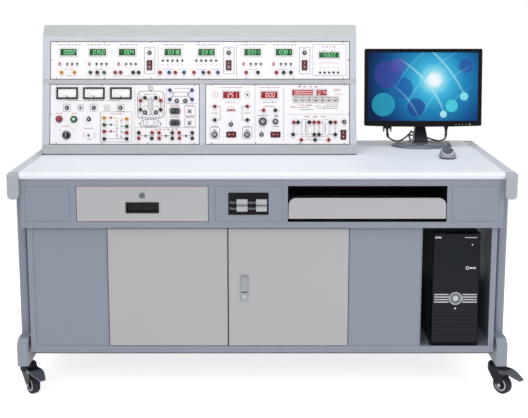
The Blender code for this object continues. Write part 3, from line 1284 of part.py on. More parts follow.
def pedal(name, swivel, finishes):
    """A pressed lever on two arms outside the fork, which locks the wheel when trodden down."""
    pivot = empty("pedal_pivot_" + name, (PEDAL_PIVOT_X, 0, PEDAL_PIVOT_Z), swivel)
    reach = PEDAL_REACH - PEDAL_PIVOT_X
    tip = PEDAL_TIP_Z - PEDAL_PIVOT_Z
    knee = PEDAL_PLATE_START - PEDAL_PIVOT_X
    side_view = arc((0, 0), PEDAL_ARM_RADIUS, 270, 90, 6)
    side_view += [(knee, PEDAL_ARM_RADIUS), (reach - PEDAL_PLATE_THICKNESS, tip + PEDAL_PLATE_THICKNESS),
                  (reach, tip), (reach - PEDAL_PLATE_THICKNESS, tip - PEDAL_PLATE_THICKNESS / 2),
                  (knee, PEDAL_ARM_RADIUS - PEDAL_PLATE_THICKNESS)]
    lever = piece("castor_pedal_" + name, outline(side_view, PEDAL_WIDTH, "Y"), finishes["light"], pivot)
    fix_normals(lever.data)
    inner = FORK_WIDTH / 2 + GAP
    cut(lever, box((-PEDAL_REACH, -inner, -PEDAL_REACH), (knee + BITE, inner, PEDAL_REACH)))
    cut(lever, rod(PEDAL_PIN_RADIUS + GAP, -PEDAL_WIDTH, PEDAL_WIDTH, "Y", (0, 0), 8))
    wide = PEDAL_WIDTH / 2
    narrow = PEDAL_TIP_WIDTH / 2
    plan = [(-wide, -wide - OVERRUN), (knee + PEDAL_ARM_RADIUS, -wide - OVERRUN), (reach, -narrow),
            (reach + OVERRUN, 0), (reach, narrow), (knee + PEDAL_ARM_RADIUS, wide + OVERRUN), (-wide, wide + OVERRUN)]
    return shaped(lever, outline(plan, PEDAL_REACH, "Z"), "INTERSECT")


# Console

def console_profile():
    """The console's side view, from its front foot round to its folded crown."""
    low = WORKTOP_TOP + CONSOLE_FOOT
    fold_y = CONSOLE_FRONT + CONSOLE_FACE * math.sin(CONSOLE_LEAN)
    fold_z = WORKTOP_TOP + CONSOLE_FACE * math.cos(CONSOLE_LEAN)
    top = fold_z + CONSOLE_CROWN_HEIGHT
    foot_y = CONSOLE_FRONT + CONSOLE_FOOT * math.tan(CONSOLE_LEAN)
    return [(foot_y, low), (CONSOLE_REAR, low), (CONSOLE_REAR, top - CONSOLE_TOP_DROP), (fold_y + CONSOLE_CROWN_DEPTH, top),
            (fold_y, fold_z)]


def console(bench, finishes):
    """A sheet-steel shell whose leaning front has a framed window for each panel."""
    profile = console_profile()
    width = CONSOLE_RIGHT - CONSOLE_LEFT
    middle = (CONSOLE_RIGHT + CONSOLE_LEFT) / 2
    case = piece("console_case", moved(outline(profile, width, "X"), at(middle, 0, 0)), finishes["console"], bench)
    walls = (SHEET, SHEET, SHEET, SHEET, CONSOLE_FRONT_WALL)
    hollow = outline(inset(profile, walls), width - 2 * SHEET, "X")
    cut(case, moved(hollow, at(middle, 0, 0)))
    face = empty("console_face", (0, CONSOLE_FRONT, WORKTOP_TOP), bench, (-CONSOLE_LEAN, 0, 0))
    pockets = []
    windows = []
    depth = PANEL_SUNK + PANEL_THICKNESS + GAP
    for left, low, wide, tall in (UPPER_PANEL, LEFT_PANEL, RIGHT_PANEL):
        pockets.append(((left - GAP, -OVERRUN, low - GAP), (left + wide + GAP, depth, low + tall + GAP)))
        windows.append(((left + PANEL_LEDGE, depth - OVERRUN, low + PANEL_LEDGE),
                        (left + wide - PANEL_LEDGE, CONSOLE_FRONT_WALL + OVERRUN, low + tall - PANEL_LEDGE)))
    for corners in (pockets, windows):
        mesh = boxes(corners)
        mesh.transform(Matrix.Translation(face.location) @ Matrix.Rotation(-CONSOLE_LEAN, 4, "X"))
        cut(case, mesh)
    feet = []
    inset_x = 3 * CONSOLE_FOOT_RADIUS
    for x in (CONSOLE_LEFT + inset_x, CONSOLE_RIGHT - inset_x):
        for y in (CONSOLE_FRONT + inset_x, CONSOLE_REAR - inset_x):
            feet.append(rod(CONSOLE_FOOT_RADIUS, WORKTOP_TOP + GAP, WORKTOP_TOP + CONSOLE_FOOT + BITE, "Z", (x, y), 12))
    join(case, merged(feet))
    return face


def spot(panel, share):
    """A point on a panel, in the console face's own X and Z."""
    left, low, wide, tall = panel
    return left + share[0] * wide, low + share[1] * tall


def posts(panel, shares, radius, height, sides=6):
    """Fittings that stand out from a panel, round ones with as few sides as their size allows."""
    back = PANEL_SUNK + PANEL_THICKNESS / 2
    return [rod(radius, back, PANEL_SUNK - height, "Y", spot(panel, share), sides) for share in shares]


def plates(panel, shares, width, height, raise_by):
    """Rectangular fittings that stand out from a panel."""
    back = PANEL_SUNK + PANEL_THICKNESS / 2
    made = []
    for share in shares:
        x, z = spot(panel, share)
        made.append(box((x - width / 2, PANEL_SUNK - raise_by, z - height / 2), (x + width / 2, back, z + height / 2)))
    return made


def rings(panel, share, flat=False):
    """The raised frame round a rocker switch and the window through it."""
    x, z = spot(panel, share)
    half = (SWITCH_HEIGHT if flat else SWITCH_WIDTH) / 2
    tall = (SWITCH_WIDTH if flat else SWITCH_HEIGHT) / 2
    rim = SWITCH_FRAME_RIM
    back = PANEL_SUNK + PANEL_THICKNESS
    frame = box((x - half - rim, PANEL_SUNK - SWITCH_FRAME_RAISE, z - tall - rim),
                (x + half + rim, back - BITE, z + tall + rim))
    gap = ROCKER_WINDOW_GAP
    window = box((x - half - gap, -OVERRUN, z - tall - gap), (x + half + gap, back + OVERRUN, z + tall + gap))
    return frame, window


def panel_plate(name, panel, face, finishes, fittings, holes, dishes):
    left, low, wide, tall = panel
    plate = piece(
        name, box((left, PANEL_SUNK, low), (left + wide, PANEL_SUNK + PANEL_THICKNESS, low + tall)),
        finishes["panel"], face,
    )
    join(plate, merged(fittings))
    if dishes:
        cut(plate, merged(dishes))
    return cut(plate, merged(holes))


def display(panel, share, width, height):
    """A display's raised rim and the shallow dish of its window."""
    x, z = spot(panel, share)
    rim = DISPLAY_RIM
    frame = box((x - width / 2 - rim, PANEL_SUNK - DISPLAY_RAISE, z - height / 2 - rim),
                (x + width / 2 + rim, PANEL_SUNK + PANEL_THICKNESS / 2, z + height / 2 + rim))
    dish = box((x - width / 2, -OVERRUN, z - height / 2),
               (x + width / 2, PANEL_SUNK - DISPLAY_RAISE / 4, z + height / 2))
    return frame, dish


def rocker_switch(name, panel, share, face, finishes, flat=False):
    x, z = spot(panel, share)
    pivot = empty(name + "_pivot", (x, PANEL_SUNK, z), face)
    return piece(name, rocker_shape(SWITCH_WIDTH, SWITCH_HEIGHT, SWITCH_DEPTH, flat), finishes["red"], pivot)


def upper_panel(face, finishes):
    fittings = posts(UPPER_PANEL, [(x, UPPER_TERMINAL_ROW_SHARE) for x in UPPER_TERMINAL_SHARES],
                     TERMINAL_RADIUS, TERMINAL_HEIGHT)
    fittings += posts(UPPER_PANEL, [(x, UPPER_PEG_ROW_SHARE) for x in UPPER_PEG_SHARES], PEG_RADIUS, PEG_HEIGHT, 4)
    fittings += posts(UPPER_PANEL, [(x, UPPER_HIGH_PEG_ROW_SHARE) for x in UPPER_HIGH_PEG_SHARES],
                      PEG_RADIUS, PEG_HEIGHT, 4)
    fittings += posts(UPPER_PANEL, [(x, UPPER_TERMINAL_ROW_SHARE) for x in UPPER_LOW_PEG_SHARES],
                      PEG_RADIUS, PEG_HEIGHT, 4)
    fittings += posts(UPPER_PANEL, [(x, UPPER_FUSE_ROW_SHARE) for x in UPPER_SWITCH_SHARES], FUSE_RADIUS, FUSE_HEIGHT)
    dishes = []
    for share in UPPER_DISPLAY_SHARES:
        frame, dish = display(UPPER_PANEL, (share, UPPER_DISPLAY_ROW_SHARE), DISPLAY_WIDTH, DISPLAY_HEIGHT)
        fittings.append(frame)
        dishes.append(dish)
    frame, dish = display(UPPER_PANEL, COUNTER_SHARE, COUNTER_WIDTH, COUNTER_HEIGHT)
    fittings.append(frame)
    dishes.append(dish)
    windows = []
    for index, share in enumerate(UPPER_SWITCH_SHARES):
        place = (share, UPPER_SWITCH_ROW_SHARE)
        frame, window = rings(UPPER_PANEL, place)
        fittings.append(frame)
        windows.append(window)
        rocker_switch("meter_rocker_" + "abc"[index], UPPER_PANEL, place, face, finishes)
    panel_plate("upper_panel", UPPER_PANEL, face, finishes, fittings, windows, dishes)


def push_button(name, share, face, finishes, colour):
    x, z = spot(LEFT_PANEL, share)
    place = empty(name + "_place", (x, PANEL_SUNK, z), face)
    cap = turned([
        (0, BUTTON_IN), (BUTTON_RADIUS, BUTTON_IN), (BUTTON_RADIUS, -BUTTON_OUT + BUTTON_RADIUS / 6),
        (BUTTON_RADIUS * BUTTON_TOP_SHARE, -BUTTON_OUT), (0, -BUTTON_OUT),
    ], 14, "Y")
    return piece(name, cap, finishes[colour], place)


def lower_panel_left(face, finishes):
    fittings = posts(LEFT_PANEL, LEFT_TERMINAL_SHARES, TERMINAL_RADIUS, TERMINAL_HEIGHT)
    fittings += posts(LEFT_PANEL, LEFT_FUSE_SHARES, FUSE_RADIUS, FUSE_HEIGHT)
    fittings += posts(LEFT_PANEL, LEFT_PEG_SHARES, PEG_RADIUS, PEG_HEIGHT, 4)
    fittings += posts(LEFT_PANEL, LEFT_LEVER_SHARES, LEVER_SWITCH_RADIUS, LEVER_SWITCH_HEIGHT, 6)
    fittings += plates(LEFT_PANEL, LEFT_SOCKET_SHARES, SOCKET_WIDTH, SOCKET_HEIGHT, SOCKET_RAISE)
    fittings += plates(LEFT_PANEL, LEFT_METER_SHARES, METER_WIDTH, METER_HEIGHT, METER_RAISE)
    dishes = []
    for share in LEFT_METER_SHARES:
        x, z = spot(LEFT_PANEL, share)
        half = METER_WIDTH / 2 - METER_RIM
        tall = METER_HEIGHT / 2 - METER_RIM
        dishes.append(box((x - half, -METER_RAISE - OVERRUN, z - tall),
                          (x + half, PANEL_SUNK - METER_RAISE + METER_GLASS, z + tall)))
    fittings += posts(LEFT_PANEL, (STOP_SHARE, START_SHARE), BUTTON_RING_RADIUS, BUTTON_RING_HEIGHT, 14)
    holes = []
    back = PANEL_SUNK + PANEL_THICKNESS + OVERRUN
    for share in (STOP_SHARE, START_SHARE):
        holes.append(rod(BUTTON_RADIUS + GAP, -BUTTON_RING_HEIGHT - OVERRUN, back, "Y", spot(LEFT_PANEL, share), 14))
    holes.append(rod(KNOB_SHAFT_RADIUS + GAP, -OVERRUN, back, "Y", spot(LEFT_PANEL, KEY_SHARE), 10))
    panel_plate("lower_panel_left", LEFT_PANEL, face, finishes, fittings, holes, dishes)
    push_button("stop_button", STOP_SHARE, face, finishes, "red")
    push_button("start_button", START_SHARE, face, finishes, "green")
    key_switch(face, finishes)


def knob_shape(radius, height):
    """A round knob on its shaft, turned about Y with its foot at zero."""
    side = [(radius * out, -height * up) for out, up in KNOB_SIDE_SHARES]
    return turned([
        (0, PANEL_THICKNESS + KNOB_HEIGHT / 3), (KNOB_SHAFT_RADIUS, PANEL_THICKNESS + KNOB_HEIGHT / 3),
        (KNOB_SHAFT_RADIUS, -GAP), (radius, -GAP), *side, (0, -height),
    ], 12, "Y")


def key_switch(face, finishes):
    x, z = spot(LEFT_PANEL, KEY_SHARE)
    pivot = empty("key_switch_pivot", (x, PANEL_SUNK, z), face)
    key = piece("key_switch", knob_shape(KEY_RADIUS, KEY_HEIGHT), finishes["black"], pivot)
    half = KEY_GRIP_WIDTH / 2
    reach = KEY_RADIUS * KEY_GRIP_SHARE
    return join(key, box((-half, -KEY_HEIGHT - KEY_GRIP_HEIGHT, -reach), (half, -KEY_HEIGHT + BITE, reach)))


def lower_panel_right(face, finishes):
    fittings = posts(RIGHT_PANEL, RIGHT_TERMINAL_SHARES, TERMINAL_RADIUS, TERMINAL_HEIGHT)
    fittings += posts(RIGHT_PANEL, RIGHT_FUSE_SHARES, FUSE_RADIUS, FUSE_HEIGHT)
    fittings += posts(RIGHT_PANEL, RIGHT_PEG_SHARES, PEG_RADIUS, PEG_HEIGHT, 4)
    dishes = []
    windows = [(share, DISPLAY_WIDTH, DISPLAY_HEIGHT) for share in RIGHT_DISPLAY_SHARES]
    windows.append((RIGHT_WIDE_DISPLAY_SHARE, RIGHT_WIDE_DISPLAY_WIDTH, RIGHT_SMALL_DISPLAY_HEIGHT))
    windows.append((RIGHT_SHORT_DISPLAY_SHARE, RIGHT_SHORT_DISPLAY_WIDTH, RIGHT_SMALL_DISPLAY_HEIGHT))
    for share, width, height in windows:
        frame, dish = display(RIGHT_PANEL, share, width, height)
        fittings.append(frame)
        dishes.append(dish)
    holes = []
    places = [("supply_rocker_dc", RIGHT_FLAT_SWITCH_SHARES[0], True), ("current_rocker", RIGHT_FLAT_SWITCH_SHARES[1], True),
              ("generator_rocker", RIGHT_TALL_SWITCH_SHARE, False)]
    for name, share, flat in places:
        frame, window = rings(RIGHT_PANEL, share, flat)
        fittings.append(frame)
        holes.append(window)
        rocker_switch(name, RIGHT_PANEL, share, face, finishes, flat)
    back = PANEL_SUNK + PANEL_THICKNESS + OVERRUN
    for name, share, radius in KNOB_PLACE_SHARES:
        x, z = spot(RIGHT_PANEL, share)
        holes.append(rod(KNOB_SHAFT_RADIUS + GAP, -OVERRUN, back, "Y", (x, z), 10))
        pivot = empty(name + "_pivot", (x, PANEL_SUNK, z), face)
        knob = piece(name, knob_shape(radius, KNOB_HEIGHT), finishes["grey"], pivot)
        line = KNOB_POINTER / 2
        join(knob, box((-line, -KNOB_HEIGHT - line, 0), (line, -KNOB_HEIGHT + BITE, radius * KNOB_POINTER_SHARE)))
    panel_plate("lower_panel_right", RIGHT_PANEL, face, finishes, fittings, holes, dishes)


# Monitor

def monitor(bench, finishes):
    """A head of bezel, screen and rear shell on a barrel at the top of its neck."""
    pivot = empty("monitor_tilt", (MONITOR_X, PIVOT_Y, PIVOT_Z), bench)
    head = empty("monitor_head", (0, MONITOR_Y - PIVOT_Y, MONITOR_Z - PIVOT_Z), pivot, (-MONITOR_TILT, 0, 0))
    half = MONITOR_WIDTH / 2
    tall = MONITOR_HEIGHT / 2
    corners = arc((BEZEL_CORNER - half, BEZEL_CORNER + BEZEL_BOW - tall), BEZEL_CORNER, 180, 268, 3)
    corners += [(-half / 2, -tall + BEZEL_BOW / 4), (0, -tall), (half / 2, -tall + BEZEL_BOW / 4)]
    corners += arc((half - BEZEL_CORNER, BEZEL_CORNER + BEZEL_BOW - tall), BEZEL_CORNER, 272, 360, 3)
    corners += arc((half - BEZEL_CORNER, tall - BEZEL_CORNER), BEZEL_CORNER, 0, 90, 3)
    corners += arc((BEZEL_CORNER - half, tall - BEZEL_CORNER), BEZEL_CORNER, 90, 180, 3)
    frame = outline(corners, BEZEL_DEPTH, "Y")
    bezel = piece("monitor_bezel", moved(frame, at(0, BEZEL_DEPTH / 2, 0)), finishes["black"], head)
    low = -tall + BEZEL_BOTTOM
    high = tall - BEZEL_TOP
    side = half - BEZEL_SIDE
    cut(bezel, box((-side, -OVERRUN, low), (side, BEZEL_DEPTH + OVERRUN, high)))
    ledge = GAP
    screen = box((-side + ledge, SCREEN_SUNK, low + ledge), (side - ledge, SCREEN_SUNK + SCREEN_THICKNESS, high - ledge))
    piece("monitor_screen", screen, finishes["glass"], head)

    shell = piece("monitor_shell", shell_shape(0), finishes["black"], head)
    cut(shell, shell_shape(SHELL_WALL, OVERRUN))
    ears = []
    lean = Matrix.Rotation(MONITOR_TILT, 4, "X") @ at(0, PIVOT_Y - MONITOR_Y, PIVOT_Z - MONITOR_Z)
    for way in (-1, 1):
        inner = way * (BARREL_HALF + GAP)
        outer = inner + way * EAR_THICKNESS
        ear = rod(EAR_RADIUS, inner, outer, "X", (0, 0), 16)
        ears.append(moved(ear, lean))
    join(shell, merged(ears))
    centre = lean.translation
    back = BEZEL_DEPTH + SHELL_DEPTH
    webs = []
    for way in (-1, 1):
        inner = way * (BARREL_HALF + GAP)
        outer = inner + way * EAR_THICKNESS
        webs.append(((min(inner, outer), back - BITE, centre.z - EAR_RADIUS),
                     (max(inner, outer), centre.y, centre.z + EAR_RADIUS)))
    join(shell, boxes(webs))
    pin = BARREL_HALF + GAP + EAR_THICKNESS
    cut(shell, moved(rod(TILT_PIN_RADIUS + GAP, -pin - OVERRUN, pin + OVERRUN, "X", (0, 0), 12), lean))
    neck(bench, finishes)
    plugs(head, finishes)


def shell_shape(wall, ahead=0.0):
    """The rear shell as a box that narrows to a flat plateau, or its hollow with a wall.

    Its slopes run on for the length given ahead of its front.
    """
    front = BEZEL_DEPTH + GAP
    back = front + SHELL_DEPTH - wall
    half = MONITOR_WIDTH / 2 - SHELL_INSET - wall
    tall = MONITOR_HEIGHT / 2 - SHELL_INSET - wall
    back_half = SHELL_BACK_WIDTH / 2 - wall
    back_tall = SHELL_BACK_HEIGHT / 2 - wall
    growth = ahead / (back - front)
    half += (half - back_half) * growth
    tall += (tall - back_tall) * growth
    front -= ahead
    mesh = box((-half, front, -tall), (half, back, tall))
    middle = (front + back) / 2
    for vertex in mesh.vertices:
        if vertex.co.y > middle:
            vertex.co.x = math.copysign(back_half, vertex.co.x)
            vertex.co.z = math.copysign(back_tall, vertex.co.z)
    return mesh


def neck(bench, finishes):
    """A tapering column from the base to the tilt barrel, and the oval base."""
    place = empty("monitor_stand", (MONITOR_X, 0, 0), bench)
    low = WORKTOP_TOP + BASE_HEIGHT + 2 * GAP
    foot = NECK_FOOT_WIDTH / 2
    head = NECK_HEAD_WIDTH / 2
    front_view = [(-foot, low), (foot, low), (head, NECK_WAIST_Z), (head, PIVOT_Z), (-head, PIVOT_Z),
                  (-head, NECK_WAIST_Z)]
    behind = NECK_REAR_Y + OVERRUN + SHELL_DEPTH
    column = moved(outline(front_view, behind, "Y"), at(0, behind / 2 + NECK_EDGE, 0))
    stand = piece("monitor_neck", column, finishes["black"], place)
    half = NECK_HEAD_DEPTH / 2
    side_view = [(NECK_FRONT_Y, low - OVERRUN), (NECK_REAR_Y, low - OVERRUN), (NECK_WAIST_REAR_Y, NECK_WAIST_Z),
                 (PIVOT_Y + half, PIVOT_Z + OVERRUN), (PIVOT_Y - half, PIVOT_Z + OVERRUN),
                 (NECK_WAIST_FRONT_Y, NECK_WAIST_Z)]
    shaped(stand, outline(side_view, 2 * NECK_FOOT_WIDTH, "X"), "INTERSECT")
    bevelled(stand, NECK_EDGE, 1)
    join(stand, rod(BARREL_RADIUS, -BARREL_HALF, BARREL_HALF, "X", (PIVOT_Y, PIVOT_Z), 16))
    pin = BARREL_HALF + EAR_THICKNESS
    join(stand, rod(TILT_PIN_RADIUS, -pin, pin, "X", (PIVOT_Y, PIVOT_Z), 12))

    base = turned(BASE_PROFILE_SHARES, 24)
    base.transform(Matrix.Diagonal((BASE_WIDTH, BASE_DEPTH, BASE_HEIGHT, 1)))
    base.transform(at(0, BASE_Y, WORKTOP_TOP + GAP))
    piece("monitor_base", base, finishes["grey"], place)


def plugs(head, finishes):
    """The signal and power plugs under the rear shell, square to it."""
    places = (
        ("signal_plug", SIGNAL_PLUG_X - MONITOR_X, SIGNAL_PLUG_WIDTH, SIGNAL_PLUG_DEPTH, True),
        ("power_plug", POWER_PLUG_X - MONITOR_X, POWER_PLUG_WIDTH, POWER_PLUG_WIDTH, False),
    )
    y = BEZEL_DEPTH + PLUG_Y
    top = plug_top()
    relief = top - PLUG_LENGTH
    for name, x, width, depth, screwed in places:
        body = box((x - width / 2, y - depth / 2, relief), (x + width / 2, y + depth / 2, top + SHELL_DEPTH / 2))
        plug = piece(name, body, finishes["black"], head)
        bevelled(plug, PLUG_EDGE, 1)
        cut(plug, shell_shape(-GAP, GAP))
        fittings = [
            rod(depth * RELIEF_FOOT_SHARE, relief + BITE, relief - RELIEF_LENGTH, "Z", (x, y), 10,
                RELIEF_TIP_SHARE * LEAD_RADIUS)
        ]
        if screwed:
            for way in (-1, 1):
                across = x + way * (width / 2 - PLUG_SCREW_RADIUS)
                fittings.append(rod(PLUG_SCREW_RADIUS, relief + BITE, relief - PLUG_SCREW_LENGTH, "Z", (across, y), 8))
        join(plug, merged(fittings))


def plug_top():
    """Where the sloping underside of the rear shell stands over the plugs."""
    rise = (MONITOR_HEIGHT / 2 - SHELL_INSET - SHELL_BACK_HEIGHT / 2) * PLUG_Y / SHELL_DEPTH
    return -MONITOR_HEIGHT / 2 + SHELL_INSET + rise


# Tower

def tower(bench, finishes):
    """A steel case with a moulded front that carries raised stripes, a badge ring and a button."""
    x = TOWER_LEFT + TOWER_WIDTH / 2
    low = FLOOR_TOP + GAP + TOWER_FOOT
    place = empty("tower_place", (x, TOWER_FRONT, low), bench)
    half = TOWER_WIDTH / 2
    inner = half - SHEET
    case = piece("tower_case", box((-inner, TOWER_FRONT_DEPTH + GAP, 0), (inner, TOWER_DEPTH, TOWER_HEIGHT)),
                 finishes["black"], place)
    cut(case, box((-inner + TOWER_SHEET, 0, TOWER_SHEET),
                  (inner - TOWER_SHEET, TOWER_DEPTH - TOWER_SHEET, TOWER_HEIGHT - TOWER_SHEET)))
    feet = []
    for fx in (-inner + 2 * TOWER_FOOT_RADIUS, inner - 2 * TOWER_FOOT_RADIUS):
        for fy in (TOWER_FRONT_DEPTH + 2 * TOWER_FOOT_RADIUS, TOWER_DEPTH - 2 * TOWER_FOOT_RADIUS):
            feet.append(rod(TOWER_FOOT_RADIUS, -TOWER_FOOT, TOWER_SHEET / 2, "Z", (fx, fy), 12))
    join(case, merged(feet))

    shape = outline(rounded((-half, 0), (half, TOWER_FRONT_DEPTH), (TOWER_CORNER, TOWER_CORNER, SHEET, SHEET), 3),
                    TOWER_HEIGHT, "Z")
    front = piece("tower_front", moved(shape, at(0, 0, TOWER_HEIGHT / 2)), finishes["black"], place)
    cut(front, box((-half + TOWER_FRONT_WALL, 2 * TOWER_FRONT_WALL, TOWER_FRONT_WALL),
                   (half - TOWER_FRONT_WALL, TOWER_FRONT_DEPTH + OVERRUN, TOWER_HEIGHT - TOWER_FRONT_WALL)))
    grooves = []
    for index in range(TOWER_LOUVRES):
        z = LOUVRE_LOW + index * LOUVRE_PITCH
        grooves.append(((-half - OVERRUN, -OVERRUN, z), (half + OVERRUN, LOUVRE_DEPTH, z + LOUVRE_HEIGHT)))
    cut(front, boxes(grooves))
    stripes = []
    flat = half - TOWER_CORNER
    for index in range(STRIPE_COUNT):
        z = BADGE_Z + (index - (STRIPE_COUNT - 1) / 2) * STRIPE_PITCH
        stripes.append(box((-flat, -STRIPE_RAISE, z - STRIPE_HEIGHT / 2), (flat, BITE, z + STRIPE_HEIGHT / 2)))
    join(front, merged(stripes))
    join(front, rod(BADGE_RADIUS, BITE, -BADGE_RAISE, "Y", (0, BADGE_Z), 24))
    cut(front, rod(POWER_BUTTON_RADIUS + GAP, -BADGE_RAISE - OVERRUN, 3 * TOWER_FRONT_WALL, "Y", (0, BADGE_Z), 20))
    button = turned([
        (0, 2 * TOWER_FRONT_WALL), (POWER_BUTTON_RADIUS, 2 * TOWER_FRONT_WALL),
        (POWER_BUTTON_RADIUS, -POWER_BUTTON_OUT + SHEET), (POWER_BUTTON_RADIUS - SHEET, -POWER_BUTTON_OUT),
        (0, -POWER_BUTTON_OUT),
    ], 20, "Y")
    piece("tower_power_button", moved(button, at(0, 0, BADGE_Z)), finishes["light"], place)


# Mouse

def mouse(bench, finishes):
    """A low moulded shell with a crowned back, flat below, and a wheel in its slot."""
    place = empty("mouse_place", (MOUSE_X, MOUSE_Y, WORKTOP_TOP + GAP), bench, (0, 0, MOUSE_TURN))
    half = MOUSE_WIDTH / 2
    reach = MOUSE_LENGTH / 2
    cage = bmesh.new()
    bmesh.ops.create_cube(cage, size=2.0)
    bmesh.ops.subdivide_edges(cage, edges=cage.edges[:], cuts=1, use_grid_fill=True)
    for vertex in cage.verts:
        lengthwise = vertex.co.y
        narrow = MOUSE_TAIL_WIDTH_SHARE if lengthwise < 0 else MOUSE_NOSE_WIDTH_SHARE
        crown = MOUSE_NOSE_CROWN_SHARE if lengthwise > 0 else MOUSE_CROWN_SHARE
        vertex.co.x *= half * narrow
        vertex.co.y *= reach * MOUSE_LENGTH_SHARE
        vertex.co.z = vertex.co.z * MOUSE_HEIGHT * crown if vertex.co.z > 0 else vertex.co.z * MOUSE_HEIGHT
    mesh = from_work(cage)
    shell = piece("mouse", mesh, finishes["grey"], place)
    smooth = shell.modifiers.new("smooth", "SUBSURF")
    smooth.levels = 2
    smooth.render_levels = 2
    cut(shell, box((-MOUSE_LENGTH, -MOUSE_LENGTH, -2 * MOUSE_HEIGHT), (MOUSE_LENGTH, MOUSE_LENGTH, 0)))
    slot = MOUSE_WHEEL_WIDTH / 2 + MOUSE_SLOT_GAP
    radius = MOUSE_WHEEL_RADIUS + MOUSE_SLOT_GAP
    cut(shell, rod(radius, -slot, slot, "X", (MOUSE_WHEEL_Y, MOUSE_WHEEL_Z), 20))
    cut(shell, rod(MOUSE_LEAD_RADIUS + 2 * GAP, reach - 2 * OVERRUN, MOUSE_LENGTH, "Y", (0, MOUSE_LEAD_Z), 10))
    rim = MOUSE_WHEEL_WIDTH / 2
    edge = MOUSE_SLOT_GAP
    wheel = turned([
        (0, rim), (MOUSE_WHEEL_RADIUS - edge, rim), (MOUSE_WHEEL_RADIUS, rim - edge),
        (MOUSE_WHEEL_RADIUS, -rim + edge), (MOUSE_WHEEL_RADIUS - edge, -rim), (0, -rim),
    ], 16)
    wheel.transform(Matrix.Rotation(math.pi / 2, 4, "Y"))
    axle = rod(edge, -slot - BITE, slot + BITE, "X", (0, 0), 8)
    wheel_set = at(0, MOUSE_WHEEL_Y, MOUSE_WHEEL_Z)
    join(shell, moved(wheel, wheel_set))
    return join(shell, moved(axle, wheel_set))


# Free leads

def smooth_route(route, step):
    """Points at an even step along a smooth curve through the route's own points."""
    knots = [Vector(point) for point in route]
    knots = [2 * knots[0] - knots[1]] + knots + [2 * knots[-1] - knots[-2]]
    fine = []
    for index in range(1, len(knots) - 2):
        p0, p1, p2, p3 = knots[index - 1:index + 3]
        for part in range(12):
            t = part / 12
            fine.append(0.5 * (2 * p1 + (p2 - p0) * t + (2 * p0 - 5 * p1 + 4 * p2 - p3) * t * t
                               + (3 * p1 - p0 - 3 * p2 + p3) * t ** 3))
    fine.append(knots[-2])
    lengths = [0.0]
    for first, second in zip(fine, fine[1:]):
        lengths.append(lengths[-1] + (second - first).length)
    count = max(2, round(lengths[-1] / step))
    points = []
    index = 0
    wanted = [lengths[-1] * number / count for number in range(count + 1)]
    wanted = wanted[:1] + [LEAD_STUB] + wanted[1:-1] + [lengths[-1] - LEAD_STUB] + wanted[-1:]
    for want in wanted:
        while index < len(lengths) - 2 and lengths[index + 1] < want:
            index += 1
        share = (want - lengths[index]) / max(lengths[index + 1] - lengths[index], MERGE)
        points.append(fine[index].lerp(fine[index + 1], min(1.0, share)))
    return points, lengths[-1]


def lead(name, route, radius, step, bench, finishes):
    points, length = smooth_route(route, step)
    curve = bpy.data.curves.new(name, "CURVE")
    curve.dimensions = "3D"
    curve.bevel_depth = radius
    curve.bevel_resolution = 2
    curve.use_fill_caps = True
    spline = curve.splines.new("POLY")
    spline.points.add(len(points) - 1)
    for knot, point in zip(spline.points, points):
        knot.co = (*point, 1)
    guide = bpy.data.objects.new(name, curve)
    bpy.context.scene.collection.objects.link(guide)
    mesh = baked(guide)
    print(name, "is", round(length, 3), "m long in", len(points), "points")
    return piece(name, mesh, finishes["black"], bench)


def main():
    clear_scene()
    finishes = make_finishes()
    bench = empty("bench", (BENCH_X, 0, 0))
    for side, name in ((-1, "left"), (1, "right")):
        side_rail("side_rail_" + name, side, bench, finishes)
        leg_frame("leg_frame_" + name, side, bench, finishes)
        door("door_" + name, side, bench, finishes)
        for end in (-1, 1):
            castor((side, end), side, end, bench, finishes)
    worktop(bench, finishes)
    apron(bench, finishes)
    drawer(bench, finishes)
    keyboard_tray(bench, finishes)
    supply_switches(bench, finishes)
    cabinet(bench, finishes)
    face = console(bench, finishes)
    upper_panel(face, finishes)
    lower_panel_left(face, finishes)
    lower_panel_right(face, finishes)
    monitor(bench, finishes)
    tower(bench, finishes)
    mouse(bench, finishes)
    lead("signal_lead", SIGNAL_LEAD_ROUTE, LEAD_RADIUS, LEAD_STEP, bench, finishes)
    lead("power_lead", POWER_LEAD_ROUTE, LEAD_RADIUS, LEAD_STEP, bench, finishes)
    lead("mouse_lead", MOUSE_LEAD_ROUTE, MOUSE_LEAD_RADIUS, THIN_LEAD_STEP, bench, finishes)
    bpy.context.view_layer.update()


main()
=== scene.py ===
"""Electrical training workstation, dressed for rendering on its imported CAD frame.

Metres, +Z up, the bench's front faces -Y. Every finished piece sits at the origin with its place
in its mesh, and rides on the CAD body that carries it.
"""

import logging
import math
from dataclasses import dataclass, field
from enum import Enum
from typing import Iterable, Sequence

import bmesh
import bpy
from mathutils import Euler, Matrix, Vector


